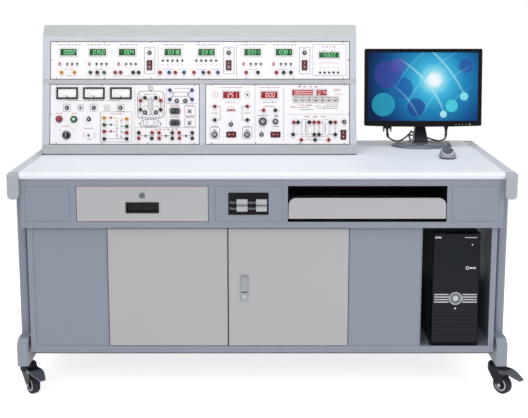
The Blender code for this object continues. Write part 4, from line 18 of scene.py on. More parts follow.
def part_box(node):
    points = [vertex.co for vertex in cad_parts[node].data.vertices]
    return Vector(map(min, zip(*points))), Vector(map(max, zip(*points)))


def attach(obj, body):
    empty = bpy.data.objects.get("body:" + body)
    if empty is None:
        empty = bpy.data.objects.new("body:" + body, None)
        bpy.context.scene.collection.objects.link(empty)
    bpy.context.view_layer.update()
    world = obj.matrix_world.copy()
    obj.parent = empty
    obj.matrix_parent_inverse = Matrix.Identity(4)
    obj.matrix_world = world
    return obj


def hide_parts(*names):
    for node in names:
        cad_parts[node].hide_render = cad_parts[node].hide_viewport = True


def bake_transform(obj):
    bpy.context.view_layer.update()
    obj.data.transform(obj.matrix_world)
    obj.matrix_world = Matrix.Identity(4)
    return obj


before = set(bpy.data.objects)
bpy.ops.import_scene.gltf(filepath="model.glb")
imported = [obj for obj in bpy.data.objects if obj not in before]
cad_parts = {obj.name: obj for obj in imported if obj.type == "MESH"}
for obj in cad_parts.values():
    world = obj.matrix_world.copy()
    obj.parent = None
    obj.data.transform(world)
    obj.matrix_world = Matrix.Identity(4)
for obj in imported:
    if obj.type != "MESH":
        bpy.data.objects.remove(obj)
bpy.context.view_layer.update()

LOG = logging.getLogger("workstation")

MM = 0.001
Point = tuple[float, float]
Place = tuple[float, float, float]
Colour = tuple[float, float, float, float]

# The bench stands a little left of the origin, so its middle is read off the worktop.
BENCH_X = (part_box("worktop")[0].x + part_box("worktop")[1].x) / 2


class Body(Enum):
    """The CAD bodies that new pieces ride on."""

    BENCH = "bench"
    DRAWER = "drawer_body"
    HEAD = "monitor_head"
    POWER_BUTTON = "power_button"
    LEFT_DOOR = "left_door"
    RIGHT_DOOR = "right_door"
    TRAY = "tray"


# Materials


def linear(hex_colour: str, level: float = 1.0) -> Colour:
    """Turns an sRGB hex colour into a linear one.

    Args:
        hex_colour: six hex digits after a hash sign.
        level: factor on the linear colour, for a lighter or darker shade of it.

    Returns:
        The colour as red, green, blue and an alpha of 1.
    """
    shades = []
    for start in (1, 3, 5):
        share = int(hex_colour[start:start + 2], 16) / 255
        value = share / 12.92 if share <= 0.04045 else ((share + 0.055) / 1.055) ** 2.4
        shades.append(min(1.0, value * level))
    return (shades[0], shades[1], shades[2], 1.0)


def add(
    tree: bpy.types.NodeTree,
    kind: str,
    settings: dict | None = None,
    links: dict | None = None,
) -> bpy.types.Node:
    """Adds one node with its settings and links.

    Args:
        tree: the node tree that gets it.
        kind: the node's type name.
        settings: properties by name, and unlinked sockets by name or index.
        links: the output socket that feeds each input, by the input's name or index.

    Returns:
        The new node.
    """
    node = tree.nodes.new(kind)
    for key, value in (settings or {}).items():
        if isinstance(key, int) or key in node.inputs:
            node.inputs[key].default_value = value
        else:
            setattr(node, key, value)
    for key, source in (links or {}).items():
        tree.links.new(source, node.inputs[key])
    return node


@dataclass(frozen=True)
class Finish:
    """One surface: what it is made of, and how that was worked.

    Attributes:
        name: the real material and how its surface was made.
        colour: its sRGB colour.
        roughness: the shader's roughness, wandering a little over the surface.
        grain: size of the surface's own relief in mm.
        relief: strength of that relief, from 0 to 1.
        drift: how far the tone wanders from place to place, as a share.
        cloud: size of that wandering in mm.
        metallic: 1 for a bare metal.
        coat: weight of a clear layer on top.
        edge: radius in mm of the rounded edge that is lightened, or 0 for none.
        edge_wear_and_glint: how much lighter the edge is, as a share: rubbing on most finishes, a painted highlight on
            the pedals and the latch.
        shine: strength of its mirror part, 0.5 for common plastic.
    """

    name: str
    colour: str
    roughness: float
    grain: float = 1.2
    relief: float = 0.06
    drift: float = 0.03
    cloud: float = 180.0
    metallic: float = 0.0
    coat: float = 0.0
    edge: float = 0.0
    edge_wear_and_glint: float = 0.25
    shine: float = 0.5

    def material(self) -> bpy.types.Material:
        """Returns the material, drawn the first time that it is asked for."""
        made = bpy.data.materials.get(self.name)
        if made is None:
            made = bpy.data.materials.new(self.name)
            made.use_nodes = True
            made.node_tree.nodes.clear()
            made.diffuse_color = linear(self.colour)
            self.draw(made.node_tree)
        return made

    def draw(self, tree: bpy.types.NodeTree) -> None:
        """Draws the shader from its colour, its lightened edges and relief.

        Args:
            tree: the material's empty node tree.
        """
        place = add(tree, "ShaderNodeTexCoord").outputs["Object"]
        links = {
            "Base Color": self.tint(tree, place),
            "Roughness": self.polish(tree, place),
            "Normal": self.surface(tree, place),
        }
        settings = {
            "Metallic": self.metallic, "Coat Weight": self.coat, "Coat Roughness": 0.08,
            "Specular IOR Level": self.shine,
        }
        shader = add(tree, "ShaderNodeBsdfPrincipled", settings, links)
        add(tree, "ShaderNodeOutputMaterial", links={"Surface": shader.outputs[0]})

    def tint(self, tree: bpy.types.NodeTree, place: bpy.types.NodeSocket) -> bpy.types.NodeSocket:
        """Returns the colour, which drifts slowly and is lighter along its edges: rubbing, and a painted highlight on
        some finishes.
        """
        drift = add(tree, "ShaderNodeTexNoise", {"Scale": 1 / (self.cloud * MM), "Detail": 4.0}, {"Vector": place})
        tone = add(
            tree, "ShaderNodeMix",
            {"data_type": "RGBA", 6: linear(self.colour, 1 - self.drift), 7: linear(self.colour, 1 + self.drift)},
            {0: drift.outputs[0]},
        ).outputs[2]
        if not self.edge:
            return tone
        # Edges are lightened: rubbing on most finishes, a painted highlight on the pedals and the latch.
        rounded = add(tree, "ShaderNodeBevel", {"samples": 4, "Radius": self.edge * MM})
        flat = add(tree, "ShaderNodeNewGeometry")
        alike = add(
            tree, "ShaderNodeVectorMath", {"operation": "DOT_PRODUCT"},
            {0: rounded.outputs[0], 1: flat.outputs["Normal"]},
        )
        lightened_edge = add(
            tree, "ShaderNodeMapRange",
            {"From Min": 0.98, "From Max": 0.80, "To Min": 0.0, "To Max": self.edge_wear_and_glint},
            {"Value": alike.outputs["Value"]},
        )
        pale = linear(self.colour, 1.5)
        return add(
            tree, "ShaderNodeMix", {"data_type": "RGBA", 7: pale}, {0: lightened_edge.outputs[0], 6: tone},
        ).outputs[2]

    def polish(self, tree: bpy.types.NodeTree, place: bpy.types.NodeSocket) -> bpy.types.NodeSocket:
        """Returns the roughness, smeared a little as hands and cloths leave it."""
        smear = add(tree, "ShaderNodeTexNoise", {"Scale": 22.0, "Detail": 5.0, "Roughness": 0.65}, {"Vector": place})
        spread = add(
            tree, "ShaderNodeMapRange",
            {"From Min": 0.35, "From Max": 0.65, "To Min": self.roughness * 0.88, "To Max": self.roughness * 1.12},
            {"Value": smear.outputs[0]},
        )
        return spread.outputs[0]

    def surface(self, tree: bpy.types.NodeTree, place: bpy.types.NodeSocket) -> bpy.types.NodeSocket:
        """Returns the normal with the grain's relief on it."""
        grain = add(
            tree, "ShaderNodeTexNoise", {"Scale": 1 / (self.grain * MM), "Detail": 2.0}, {"Vector": place},
        )
        links = {"Height": grain.outputs[0]}
        if self.edge:
            links["Normal"] = add(tree, "ShaderNodeBevel", {"samples": 4, "Radius": self.edge * MM}).outputs[0]
        bump = add(tree, "ShaderNodeBump", {"Strength": self.relief, "Distance": self.grain * MM / 4}, links)
        return bump.outputs[0]


@dataclass(frozen=True)
class Zone:
    """A slab of space along one axis.

    Attributes:
        axis: 0, 1 or 2 for X, Y or Z.
        low: where it starts, in metres.
        high: where it ends.
        soft: width of its blurred ends.
    """

    axis: int
    low: float
    high: float
    soft: float = 0.0004

    def mask(self, tree: bpy.types.NodeTree, place: bpy.types.NodeSocket) -> bpy.types.NodeSocket:
        """Returns 1 inside the slab and 0 outside it."""
        along = add(tree, "ShaderNodeSeparateXYZ", links={"Vector": place}).outputs[self.axis]
        ends = []
        for edge, way in ((self.low, 1), (self.high, -1)):
            ends.append(add(
                tree, "ShaderNodeMapRange",
                {"From Min": edge - way * self.soft / 2, "From Max": edge + way * self.soft / 2}, {"Value": along},
            ).outputs[0])
        return add(tree, "ShaderNodeMath", {"operation": "MULTIPLY"}, {0: ends[0], 1: ends[1]}).outputs[0]


@dataclass(frozen=True)
class ZonedFinish(Finish):
    """A finish with other colours in slabs of space: other parts of the same piece, and painted shade.

    Attributes:
        zones: for each other colour, the slabs that together bound it.
    """

    zones: tuple[tuple[str, tuple[Zone, ...]], ...] = ()

    def tint(self, tree: bpy.types.NodeTree, place: bpy.types.NodeSocket) -> bpy.types.NodeSocket:
        """Returns the plain tint with each zone's colour laid over it."""
        colour = super().tint(tree, place)
        for other, slabs in self.zones:
            inside = slabs[0].mask(tree, place)
            for slab in slabs[1:]:
                inside = add(
                    tree, "ShaderNodeMath", {"operation": "MULTIPLY"}, {0: inside, 1: slab.mask(tree, place)},
                ).outputs[0]
            colour = add(
                tree, "ShaderNodeMix", {"data_type": "RGBA", 7: linear(other)}, {0: inside, 6: colour},
            ).outputs[2]
        return colour


@dataclass(frozen=True)
class OvalFinish(ZonedFinish):
    """A moulding with an oval inlay of another colour, seen from above, and a pale ring of painted highlight round
    that.

    Attributes:
        centre: the oval's middle in metres.
        turn: its turn about the vertical, in radians.
        half: half its width and half its length.
        rim: width of the rim as a share of the oval.
        inlay: the inlay's colour.
        bright: the ring's colour, a painted highlight.
    """

    centre: Point = (0.0, 0.0)
    turn: float = 0.0
    half: Point = (0.02, 0.04)
    rim: float = 0.16
    inlay: str = "#4c515b"
    bright: str = "#c3c6cc"

    def tint(self, tree: bpy.types.NodeTree, place: bpy.types.NodeSocket) -> bpy.types.NodeSocket:
        """Returns the zoned tint with the rim and the inlay laid over it."""
        tone = super().tint(tree, place)
        settings = {
            "vector_type": "TEXTURE", "Location": (*self.centre, 0.0), "Rotation": (0.0, 0.0, self.turn),
            "Scale": (*self.half, 1000.0),
        }
        flat = add(tree, "ShaderNodeMapping", settings, {"Vector": place}).outputs[0]
        away = add(tree, "ShaderNodeVectorMath", {"operation": "LENGTH"}, {0: flat}).outputs["Value"]
        # The pale ring just outside the inlay is a painted highlight.
        for edge, colour in ((1 + self.rim, self.bright), (1.0, self.inlay)):
            inside = add(tree, "ShaderNodeMapRange", {"From Min": edge + 0.01, "From Max": edge - 0.01}, {"Value": away})
            tone = add(
                tree, "ShaderNodeMix", {"data_type": "RGBA", 7: linear(colour)}, {0: inside.outputs[0], 6: tone},
            ).outputs[2]
        return tone


@dataclass(frozen=True)
class BrushedFinish(Finish):
    """Metal drawn or brushed one way, with fine lines that run along one axis.

    Attributes:
        along: 0, 1 or 2 for the axis that the lines follow.
        pitch: distance between the lines in mm.
    """

    along: int = 1
    pitch: float = 1.5

    def surface(self, tree: bpy.types.NodeTree, place: bpy.types.NodeSocket) -> bpy.types.NodeSocket:
        """Returns the normal with the drawn lines in it."""
        stretch = [1.0, 1.0, 1.0]
        stretch[self.along] = 0.02
        drawn = add(tree, "ShaderNodeMapping", {"Scale": tuple(stretch)}, {"Vector": place})
        lines = add(
            tree, "ShaderNodeTexNoise", {"Scale": 1 / (self.pitch * MM), "Detail": 3.0},
            {"Vector": drawn.outputs[0]},
        )
        links = {"Height": lines.outputs[0]}
        if self.edge:
            links["Normal"] = add(tree, "ShaderNodeBevel", {"samples": 4, "Radius": self.edge * MM}).outputs[0]
        bump = add(tree, "ShaderNodeBump", {"Strength": self.relief, "Distance": self.pitch * MM / 4}, links)
        return bump.outputs[0]


@dataclass(frozen=True)
class SprayedFinish(ZonedFinish, BrushedFinish):
    """Sheet that was brushed one way and sprayed thinly, so that its lines show in tone and relief.

    Attributes:
        streak: how far the lines lighten and darken the tone, as a share.
    """

    streak: float = 0.08

    def tint(self, tree: bpy.types.NodeTree, place: bpy.types.NodeSocket) -> bpy.types.NodeSocket:
        """Returns the zoned tint with the brushed lines in it."""
        tone = super().tint(tree, place)
        stretch = [1.0, 1.0, 1.0]
        stretch[self.along] = 0.03
        drawn = add(tree, "ShaderNodeMapping", {"Scale": tuple(stretch)}, {"Vector": place})
        lines = add(
            tree, "ShaderNodeTexNoise", {"Scale": 1 / (3 * self.pitch * MM), "Detail": 5.0, "Roughness": 0.7},
            {"Vector": drawn.outputs[0]},
        )
        level = add(
            tree, "ShaderNodeMapRange",
            {"From Min": 0.3, "From Max": 0.7, "To Min": 1 - self.streak, "To Max": 1 + self.streak},
            {"Value": lines.outputs[0]},
        )
        return add(
            tree, "ShaderNodeVectorMath", {"operation": "SCALE"}, {0: tone, "Scale": level.outputs[0]},
        ).outputs[0]


@dataclass(frozen=True)
class LitFinish(Finish):
    """A surface with a light of its own behind it, such as a lamp or a lit digit.

    Attributes:
        glow: how strongly it shines.
    """

    glow: float = 1.0

    def draw(self, tree: bpy.types.NodeTree) -> None:
        """Draws a moulded lens that shines in its own colour.

        Args:
            tree: the material's empty node tree.
        """
        place = add(tree, "ShaderNodeTexCoord").outputs["Object"]
        tone = self.tint(tree, place)
        links = {"Base Color": tone, "Emission Color": tone, "Roughness": self.polish(tree, place)}
        settings = {"Emission Strength": self.glow, "Specular IOR Level": self.shine}
        shader = add(tree, "ShaderNodeBsdfPrincipled", settings, links)
        add(tree, "ShaderNodeOutputMaterial", links={"Surface": shader.outputs[0]})


@dataclass(frozen=True)
class ScreenFinish(Finish):
    """The lit display panel, with a generic picture of drifting bands and facets in blues.

    Attributes:
        centre: middle of the screen in metres.
        tilt: how far it leans back, in radians.
        width: the lit width in metres.
        height: the lit height in metres.
    """

    centre: Place = (0.0, 0.0, 0.0)
    tilt: float = 0.0
    width: float = 0.45
    height: float = 0.28
    discs: tuple[tuple[float, float, float, str, float], ...] = (
        (-0.52, 0.18, 0.20, "#3b3f9a", 0.70), (-0.36, 0.31, 0.11, "#5a4fb0", 0.60), (-0.30, -0.02, 0.15, "#1f5aa8", 0.75),
        (-0.58, -0.26, 0.17, "#2fb3cf", 0.60), (-0.10, -0.30, 0.13, "#1d3f8c", 0.75), (0.42, -0.28, 0.09, "#4fd8e4", 0.80),
        (0.60, -0.14, 0.06, "#8beff4", 0.85), (0.30, -0.40, 0.05, "#bdf6f8", 0.80), (0.62, 0.30, 0.10, "#2c4aa0", 0.70),
    )

    def draw(self, tree: bpy.types.NodeTree) -> None:
        """Draws the picture as light under a smooth matt-black panel.

        Args:
            tree: the material's empty node tree.
        """
        place = add(tree, "ShaderNodeTexCoord").outputs["Object"]
        shift = add(
            tree, "ShaderNodeVectorMath", {"operation": "SUBTRACT", 1: self.centre}, {0: place},
        )
        lean = add(
            tree, "ShaderNodeMapping",
            {"Rotation": (self.tilt, 0.0, 0.0), "Scale": (1 / self.width, 1.0, 1 / self.height)},
            {"Vector": shift.outputs[0]},
        )
        axes = add(tree, "ShaderNodeSeparateXYZ", links={"Vector": lean.outputs[0]})
        flat = add(tree, "ShaderNodeCombineXYZ", links={"X": axes.outputs[0], "Y": axes.outputs[2]}).outputs[0]
        picture = self.picture(tree, flat)
        shader = add(
            tree, "ShaderNodeBsdfPrincipled",
            {"Base Color": linear("#05070c"), "Emission Strength": 0.95, "Specular IOR Level": 0.15},
            {"Emission Color": picture, "Roughness": self.polish(tree, place)},
        )
        add(tree, "ShaderNodeOutputMaterial", links={"Surface": shader.outputs[0]})

    def picture(self, tree: bpy.types.NodeTree, flat: bpy.types.NodeSocket) -> bpy.types.NodeSocket:
        """Returns the picture's colour: a glow on deep blue, sweeping arcs and overlapping discs."""
        wide = add(
            tree, "ShaderNodeVectorMath", {"operation": "MULTIPLY", 1: (self.width / self.height, 1.0, 0.0)}, {0: flat},
        ).outputs[0]
        from_glow = self.distance(tree, wide, (0.16, 0.10))
        ground = add(tree, "ShaderNodeValToRGB", links={"Fac": from_glow})
        ramp = ground.color_ramp
        stops = (
            (0.0, "#fbffff"), (0.08, "#e6fafe"), (0.14, "#93def1"), (0.24, "#3fb8de"), (0.46, "#1b83ba"),
            (0.76, "#0d4a86"), (1.0, "#08224e"),
        )
        ramp.elements[0].position = stops[0][0]
        ramp.elements[0].color = linear(stops[0][1])
        ramp.elements[1].position = stops[-1][0]
        ramp.elements[1].color = linear(stops[-1][1])
        for position, colour in stops[1:-1]:
            ramp.elements.new(position).color = linear(colour)
        tone = ground.outputs[0]
        for x, y, size, colour, share in self.discs:
            away = self.distance(tree, wide, (x, y))
            inside = add(
                tree, "ShaderNodeMapRange", {"From Min": size + 0.004, "From Max": size - 0.004, "To Max": share},
                {"Value": away},
            )
            tone = add(
                tree, "ShaderNodeMix", {"data_type": "RGBA", 7: linear(colour)}, {0: inside.outputs[0], 6: tone},
            ).outputs[2]
        for centre, pace, colour in (((-1.15, -0.95), 17.0, "#b4f0fb"), ((1.3, -1.0), 23.0, "#6fd2ee")):
            turns = add(
                tree, "ShaderNodeMath", {"operation": "MULTIPLY", 1: pace}, {0: self.distance(tree, wide, centre)},
            )
            wave = add(tree, "ShaderNodeMath", {"operation": "SINE"}, {0: turns.outputs[0]})
            crest = add(
                tree, "ShaderNodeMapRange", {"From Min": 0.955, "From Max": 0.985, "To Max": 0.80},
                {"Value": wave.outputs[0]},
            )
            near = add(
                tree, "ShaderNodeMapRange", {"From Min": 0.62, "From Max": 0.08}, {"Value": from_glow},
            )
            share = add(
                tree, "ShaderNodeMath", {"operation": "MULTIPLY"}, {0: crest.outputs[0], 1: near.outputs[0]},
            )
            tone = add(
                tree, "ShaderNodeMix", {"data_type": "RGBA", 7: linear(colour)}, {0: share.outputs[0], 6: tone},
            ).outputs[2]
        return tone

    def distance(
        self, tree: bpy.types.NodeTree, place: bpy.types.NodeSocket, centre: Point,
    ) -> bpy.types.NodeSocket:
        """Returns the distance from a point of the picture."""
        return add(
            tree, "ShaderNodeVectorMath", {"operation": "DISTANCE", 1: (*centre, 0.0)}, {0: place},
        ).outputs["Value"]


CAP_START = 0.375 - 0.024
FOOT_CAP_START = 0.355 - 0.064
BAY_LEFT = BENCH_X + 0.3145
BAY_FRONT = -0.3352
DOOR_GAP = -0.1494

# Extruded aluminium, anodised: bright, between moulded light grey end caps.
RAIL = ZonedFinish(
    "rail_anodised_extrusion_with_caps", "#ccd0d9", 0.42, drift=0.02, edge=0.8, edge_wear_and_glint=0.1,
    zones=(("#aaaeb6", (Zone(1, -0.376, -CAP_START),)), ("#aaaeb6", (Zone(1, CAP_START, 0.376),))),
)
# Steel tube, powder coated in a blue grey: a fine orange peel and soft gloss; the foot caps are moulded.
LEG = ZonedFinish(
    "leg_powder_coated_tube", "#9298a8", 0.45, drift=0.03, edge=1.0, edge_wear_and_glint=0.12,
    zones=(
        ("#9098a3", (Zone(1, -0.358, -FOOT_CAP_START), Zone(2, 0.12, 0.226))),
        ("#9098a3", (Zone(1, FOOT_CAP_START, 0.358), Zone(2, 0.12, 0.226))),
        ("#191b1f", (Zone(2, 0.10, 0.1238),)),
    ),
)
# High-pressure laminate, post-formed: near white, a faint pebbled texture and an even satin sheen.
LAMINATE = Finish("worktop_postformed_laminate", "#e9edf4", 0.48, grain=0.9, relief=0.05, drift=0.012, shine=0.22)
# Sheet steel, powder coated in blue grey: soft gloss, fine orange peel, paler at folds where it is rubbed. Inside the
# cabinet the colour is painted shade, nearly black deep inside, and a band of painted shade runs along the sill's lower
# edge.
CABINET_STEEL = ZonedFinish(
    "cabinet_steel_blue_grey_powder_coat", "#8b92a0", 0.42, drift=0.025, edge=0.8, edge_wear_and_glint=0.18,
    zones=(("#343940", (Zone(1, BAY_FRONT, 0.3284), Zone(2, 0.1905, 0.642), Zone(0, -0.8540, 0.8022))),
           ("#34373e", (Zone(2, 0.16, 0.1726),))),
)
# The apron's sheet: behind its front, round the drawer and the tray, the colour is painted shade, nearly black.
APRON_STEEL = ZonedFinish(
    "apron_steel_blue_grey_powder_coat", "#8b92a0", 0.42, drift=0.025, edge=0.8, edge_wear_and_glint=0.18,
    zones=(("#2b2f34", (Zone(1, -0.3528, 0.3284), Zone(2, 0.6460, 0.8190), Zone(0, -0.8785, 0.8266))),),
)
# Sheet steel, powder coated in warm light grey, on doors, drawer and tray.
WARM_STEEL = Finish("sheet_steel_light_grey_powder_coat", "#b4b3b7", 0.44, drift=0.018, edge=0.7, edge_wear_and_glint=0.2)
# The same sheet on the doors, with a strip of painted shade along the two closing edges, where the gap between them is
# dark.
DOOR_STEEL = ZonedFinish(
    "door_steel_light_grey_powder_coat", "#b3b2b5", 0.44, drift=0.018, edge=0.7, edge_wear_and_glint=0.2,
    zones=(("#3a3d40", (Zone(0, DOOR_GAP - 0.0026, DOOR_GAP + 0.0024),)),),
)
# Console sheet, brushed along and thinly sprayed in silver grey: streaks run across it. The crown and the band between
# the boards are a little darker, painted shade, and the strip along its foot is darker too.
CONSOLE_STEEL = SprayedFinish(
    "console_steel_silver_grey_spray_coat", "#c2c7d1", 0.36, grain=0.8, drift=0.05, cloud=260.0, edge=0.7, edge_wear_and_glint=0.2,
    along=0, pitch=1.2, relief=0.10,
    zones=(("#b2b6b8", (Zone(2, 1.3035, 1.4),)), ("#b6b9bd", (Zone(2, 1.1165, 1.1395, 0.002), Zone(1, 0.045, 0.066))),
           ("#aeb1b6", (Zone(2, 0.84, 0.8885, 0.012), Zone(1, -0.01, 0.017)))),
)
# Near black matt rubber for the console's corner foot; the same dark colour is painted shade round the boards and along
# the console's foot.
DARK_RUBBER_AND_SHADE = Finish("seal_moulded_dark_rubber", "#3a3c42", 0.60, grain=0.6, relief=0.15, drift=0.10)
# Printed instrument board: white lacquer with a satin clear coat.
BOARD = Finish("printed_board_white_lacquer", "#f2f0f3", 0.34, grain=0.7, relief=0.03, drift=0.008, edge=0.5, edge_wear_and_glint=0.0)
# Moulded ABS, in the colours of the fittings: an even spark-eroded grain and a soft gloss.
BLACK_ABS = Finish("moulded_black_abs", "#17191d", 0.40, grain=0.5, relief=0.12, drift=0.08, edge=0.4, edge_wear_and_glint=0.3, shine=0.35)
PLATE_ENAMEL = Finish("switch_plate_black_enamel", "#0d0e13", 0.46, grain=0.6, relief=0.05, shine=0.16)
GREY_ABS = Finish("moulded_grey_abs", "#82868e", 0.42, grain=0.5, relief=0.10, edge=0.4)
PALE_ABS = Finish("moulded_pale_grey_abs", "#b9bac0", 0.36, grain=0.5, relief=0.06, edge=0.5, edge_wear_and_glint=0.1)
WHITE_ABS = Finish("moulded_white_abs", "#eceded", 0.34, grain=0.5, relief=0.06, edge=0.5, edge_wear_and_glint=0.0)
RED_ABS = Finish("moulded_red_abs", "#a3202b", 0.34, grain=0.5, relief=0.06, coat=0.2, edge=0.4, edge_wear_and_glint=0.2)
STOP_ABS = Finish("moulded_stop_red_abs", "#99283c", 0.32, grain=0.5, relief=0.06, edge=0.4, edge_wear_and_glint=0.2)
DEEP_RED_ABS = Finish("moulded_deep_red_translucent_abs", "#6f1820", 0.24, coat=0.2, edge=0.4, edge_wear_and_glint=0.3)
GREEN_ABS = Finish("moulded_green_abs", "#0b5b40", 0.34, grain=0.5, relief=0.06, coat=0.2, edge=0.4, edge_wear_and_glint=0.2)
BLUE_ABS = Finish("moulded_blue_abs", "#1c3875", 0.34, grain=0.5, relief=0.06, coat=0.2, edge=0.4, edge_wear_and_glint=0.2)
YELLOW_ABS = Finish("moulded_yellow_abs", "#e0a52a", 0.34, grain=0.5, relief=0.06, coat=0.2, edge=0.4, edge_wear_and_glint=0.2)
KNOB_ABS = Finish("moulded_knob_dark_grey_abs", "#3b3f46", 0.36, grain=0.5, relief=0.10, edge=0.4)
KNOB_CAP = Finish("moulded_pale_knob_cap", "#9ca1aa", 0.30, grain=0.5, relief=0.06, coat=0.2)
# High-gloss ABS, polished mould: a deep black mirror with faint polishing haze.
GLOSS_ABS = Finish("gloss_moulded_black_abs", "#0e0f14", 0.20, grain=3.0, relief=0.02, drift=0.1, shine=0.20)
TOWER_GLOSS = Finish("gloss_moulded_tower_front", "#10151d", 0.30, grain=3.0, relief=0.02, drift=0.08, shine=0.18)
SATIN_ABS = Finish("satin_moulded_dark_abs", "#202227", 0.34, grain=0.5, relief=0.10, drift=0.06, shine=0.35)
BASE_ABS = Finish("gloss_moulded_dark_blue_grey_abs", "#656c7a", 0.24, grain=2.0, relief=0.02, coat=0.3)
# The mouse: a dark inlay on a silver grey shell, a pale ring of painted highlight round the inlay, and a darker band
# along its foot.
MOUSE_ABS = OvalFinish(
    "gloss_moulded_silver_grey_abs", "#8b909a", 0.24, grain=2.0, relief=0.02, coat=0.3,
    centre=(0.7145 + BENCH_X, -0.043), turn=math.radians(-10), half=(0.0215, 0.043),
    zones=(("#26282d", (Zone(2, 0.84, 0.8513),)),),
)
# Sheet steel of the tower, painted black with a wrinkle texture; its colour is lifted to a dark grey, painted light on
# sides that stand in shade in the bay.
TOWER_STEEL = Finish("tower_steel_dark_wrinkle_paint", "#4e5259", 0.50, grain=1.0, relief=0.20, drift=0.06, edge=0.8)
# Steel pressings of the castors, black passivated, and their nylon and rubber wheels; the pale nylon ring on each side
# of a wheel is also a painted highlight.
FORK_STEEL = Finish(
    "castor_steel_black_coat", "#11151c", 0.34, grain=1.0, relief=0.12, drift=0.08, edge=0.6, edge_wear_and_glint=0.5, shine=0.22,
)
# The pedals' edges are strongly lightened, a painted highlight along their lips.
PEDAL_STEEL = Finish("pedal_steel_dark_zinc", "#4c515b", 0.32, grain=1.0, relief=0.15, drift=0.12, edge=0.6, edge_wear_and_glint=0.8, shine=0.7)
TYRE_RUBBER = Finish("tyre_moulded_black_rubber", "#24282e", 0.62, grain=0.8, relief=0.25, drift=0.12, shine=0.25)
NYLON_RING_AND_HIGHLIGHT = Finish("wheel_moulded_pale_grey_nylon", "#c0c3c8", 0.45, grain=0.8, relief=0.12, drift=0.08)
# Chromed and brushed metals: clear highlights broken by fine brush lines.
CHROME = BrushedFinish("lock_satin_chrome", "#a9adb4", 0.30, metallic=1.0, relief=0.08, edge=0.4, along=2, pitch=0.6)
# The latch's edges are strongly lightened, a painted glint.
LATCH_CHROME = BrushedFinish(
    "latch_worn_chrome", "#95979d", 0.34, metallic=1.0, relief=0.08, edge=0.6, edge_wear_and_glint=0.8, along=2, pitch=0.6,
)
BRASS = BrushedFinish("contact_tarnished_brass", "#41301f", 0.40, metallic=0.6, relief=0.05, along=2, pitch=0.5)
SCREW_ZINC = Finish("screw_bright_zinc", "#9fa3a8", 0.30, grain=0.6, relief=0.1, metallic=1.0)
TRIM_GREY = Finish("trim_dark_grey_paint", "#5f646b", 0.35, grain=0.6, relief=0.04)
SILVER_TRIM = Finish("trim_silver_paint", "#c3c6cc", 0.28, grain=0.6, relief=0.04, coat=0.3, edge=0.3)
# Lead jacket, extruded soft PVC: black, slightly wavy, satin.
LEAD_PVC = Finish("lead_extruded_black_pvc", "#1f2124", 0.45, grain=2.5, relief=0.25, drift=0.10)
# Painted shade in inside corners and creases: darker than the sheet and duller.
SHADE_LINE_PAINT = Finish("sealant_dull_blue_grey", "#5f6470", 0.55, grain=0.6, relief=0.10)
LOCK_ZINC = Finish("lock_nickel_on_zinc", "#6f7681", 0.34, grain=0.8, relief=0.05, metallic=0.7, edge=0.4)
# Screen inks, a thin matt film.
GREY_INK = Finish("screen_ink_grey", "#4b4d57", 0.60, relief=0.02)
PALE_INK = Finish("screen_ink_pale_grey", "#a9abb3", 0.60, relief=0.02)
BLACK_INK = Finish("screen_ink_black", "#232328", 0.60, relief=0.02)
RED_INK = Finish("screen_ink_red", "#a82a38", 0.60, relief=0.02)
BLUE_INK = Finish("screen_ink_blue", "#34509c", 0.60, relief=0.02)
YELLOW_INK = Finish("screen_ink_yellow", "#d9a83a", 0.60, relief=0.02)
GREEN_INK = Finish("screen_ink_green", "#2a8560", 0.60, relief=0.02)
WHITE_INK = Finish("screen_ink_white", "#e4e6ea", 0.55, relief=0.02)
PALE_MARK = Finish("screen_ink_silver", "#cfd2d8", 0.50, relief=0.02)
PLATE_INK = Finish("screen_ink_worn_silver", "#a2a4ac", 0.55, relief=0.02)
FAINT_INK = Finish("screen_ink_faint_grey", "#c4c6cc", 0.60, relief=0.02)
DIAL_CARD = Finish("dial_white_card", "#fcfcfd", 0.50, grain=0.4, relief=0.02, drift=0.005)
# Display windows, tinted acrylic over the lit digits.
GREEN_WINDOW = LitFinish("window_green_acrylic", "#0d5a2e", 0.20, glow=0.05, shine=0.25)
RED_WINDOW = LitFinish("window_red_acrylic", "#8c1a25", 0.20, glow=0.08, shine=0.25)
GREEN_DIGIT = LitFinish("digit_lit_green", "#86d896", 0.30, glow=0.35)
RED_DIGIT = LitFinish("digit_lit_red", "#ffd0d0", 0.30, glow=0.45)
# Display surround, moulded in a faintly pink white.
RIM_ABS = Finish("display_rim_moulded_pale_abs", "#ecdfe2", 0.34, grain=0.5, relief=0.06, edge_wear_and_glint=0.0)
RED_LAMP = LitFinish("lamp_red_lens", "#d2343a", 0.20, glow=0.20)
GREEN_LAMP = LitFinish("lamp_green_lens", "#2a9a63", 0.20, glow=0.15)
# A pale glowing lens in the start button's middle, a painted highlight.
START_HIGHLIGHT_LENS = LitFinish("start_lens_pale_green", "#bfe6cf", 0.25, glow=0.12)
WHITE_LAMP = LitFinish("lamp_white_lens", "#d4dbe6", 0.20, glow=0.30)


# Shapes


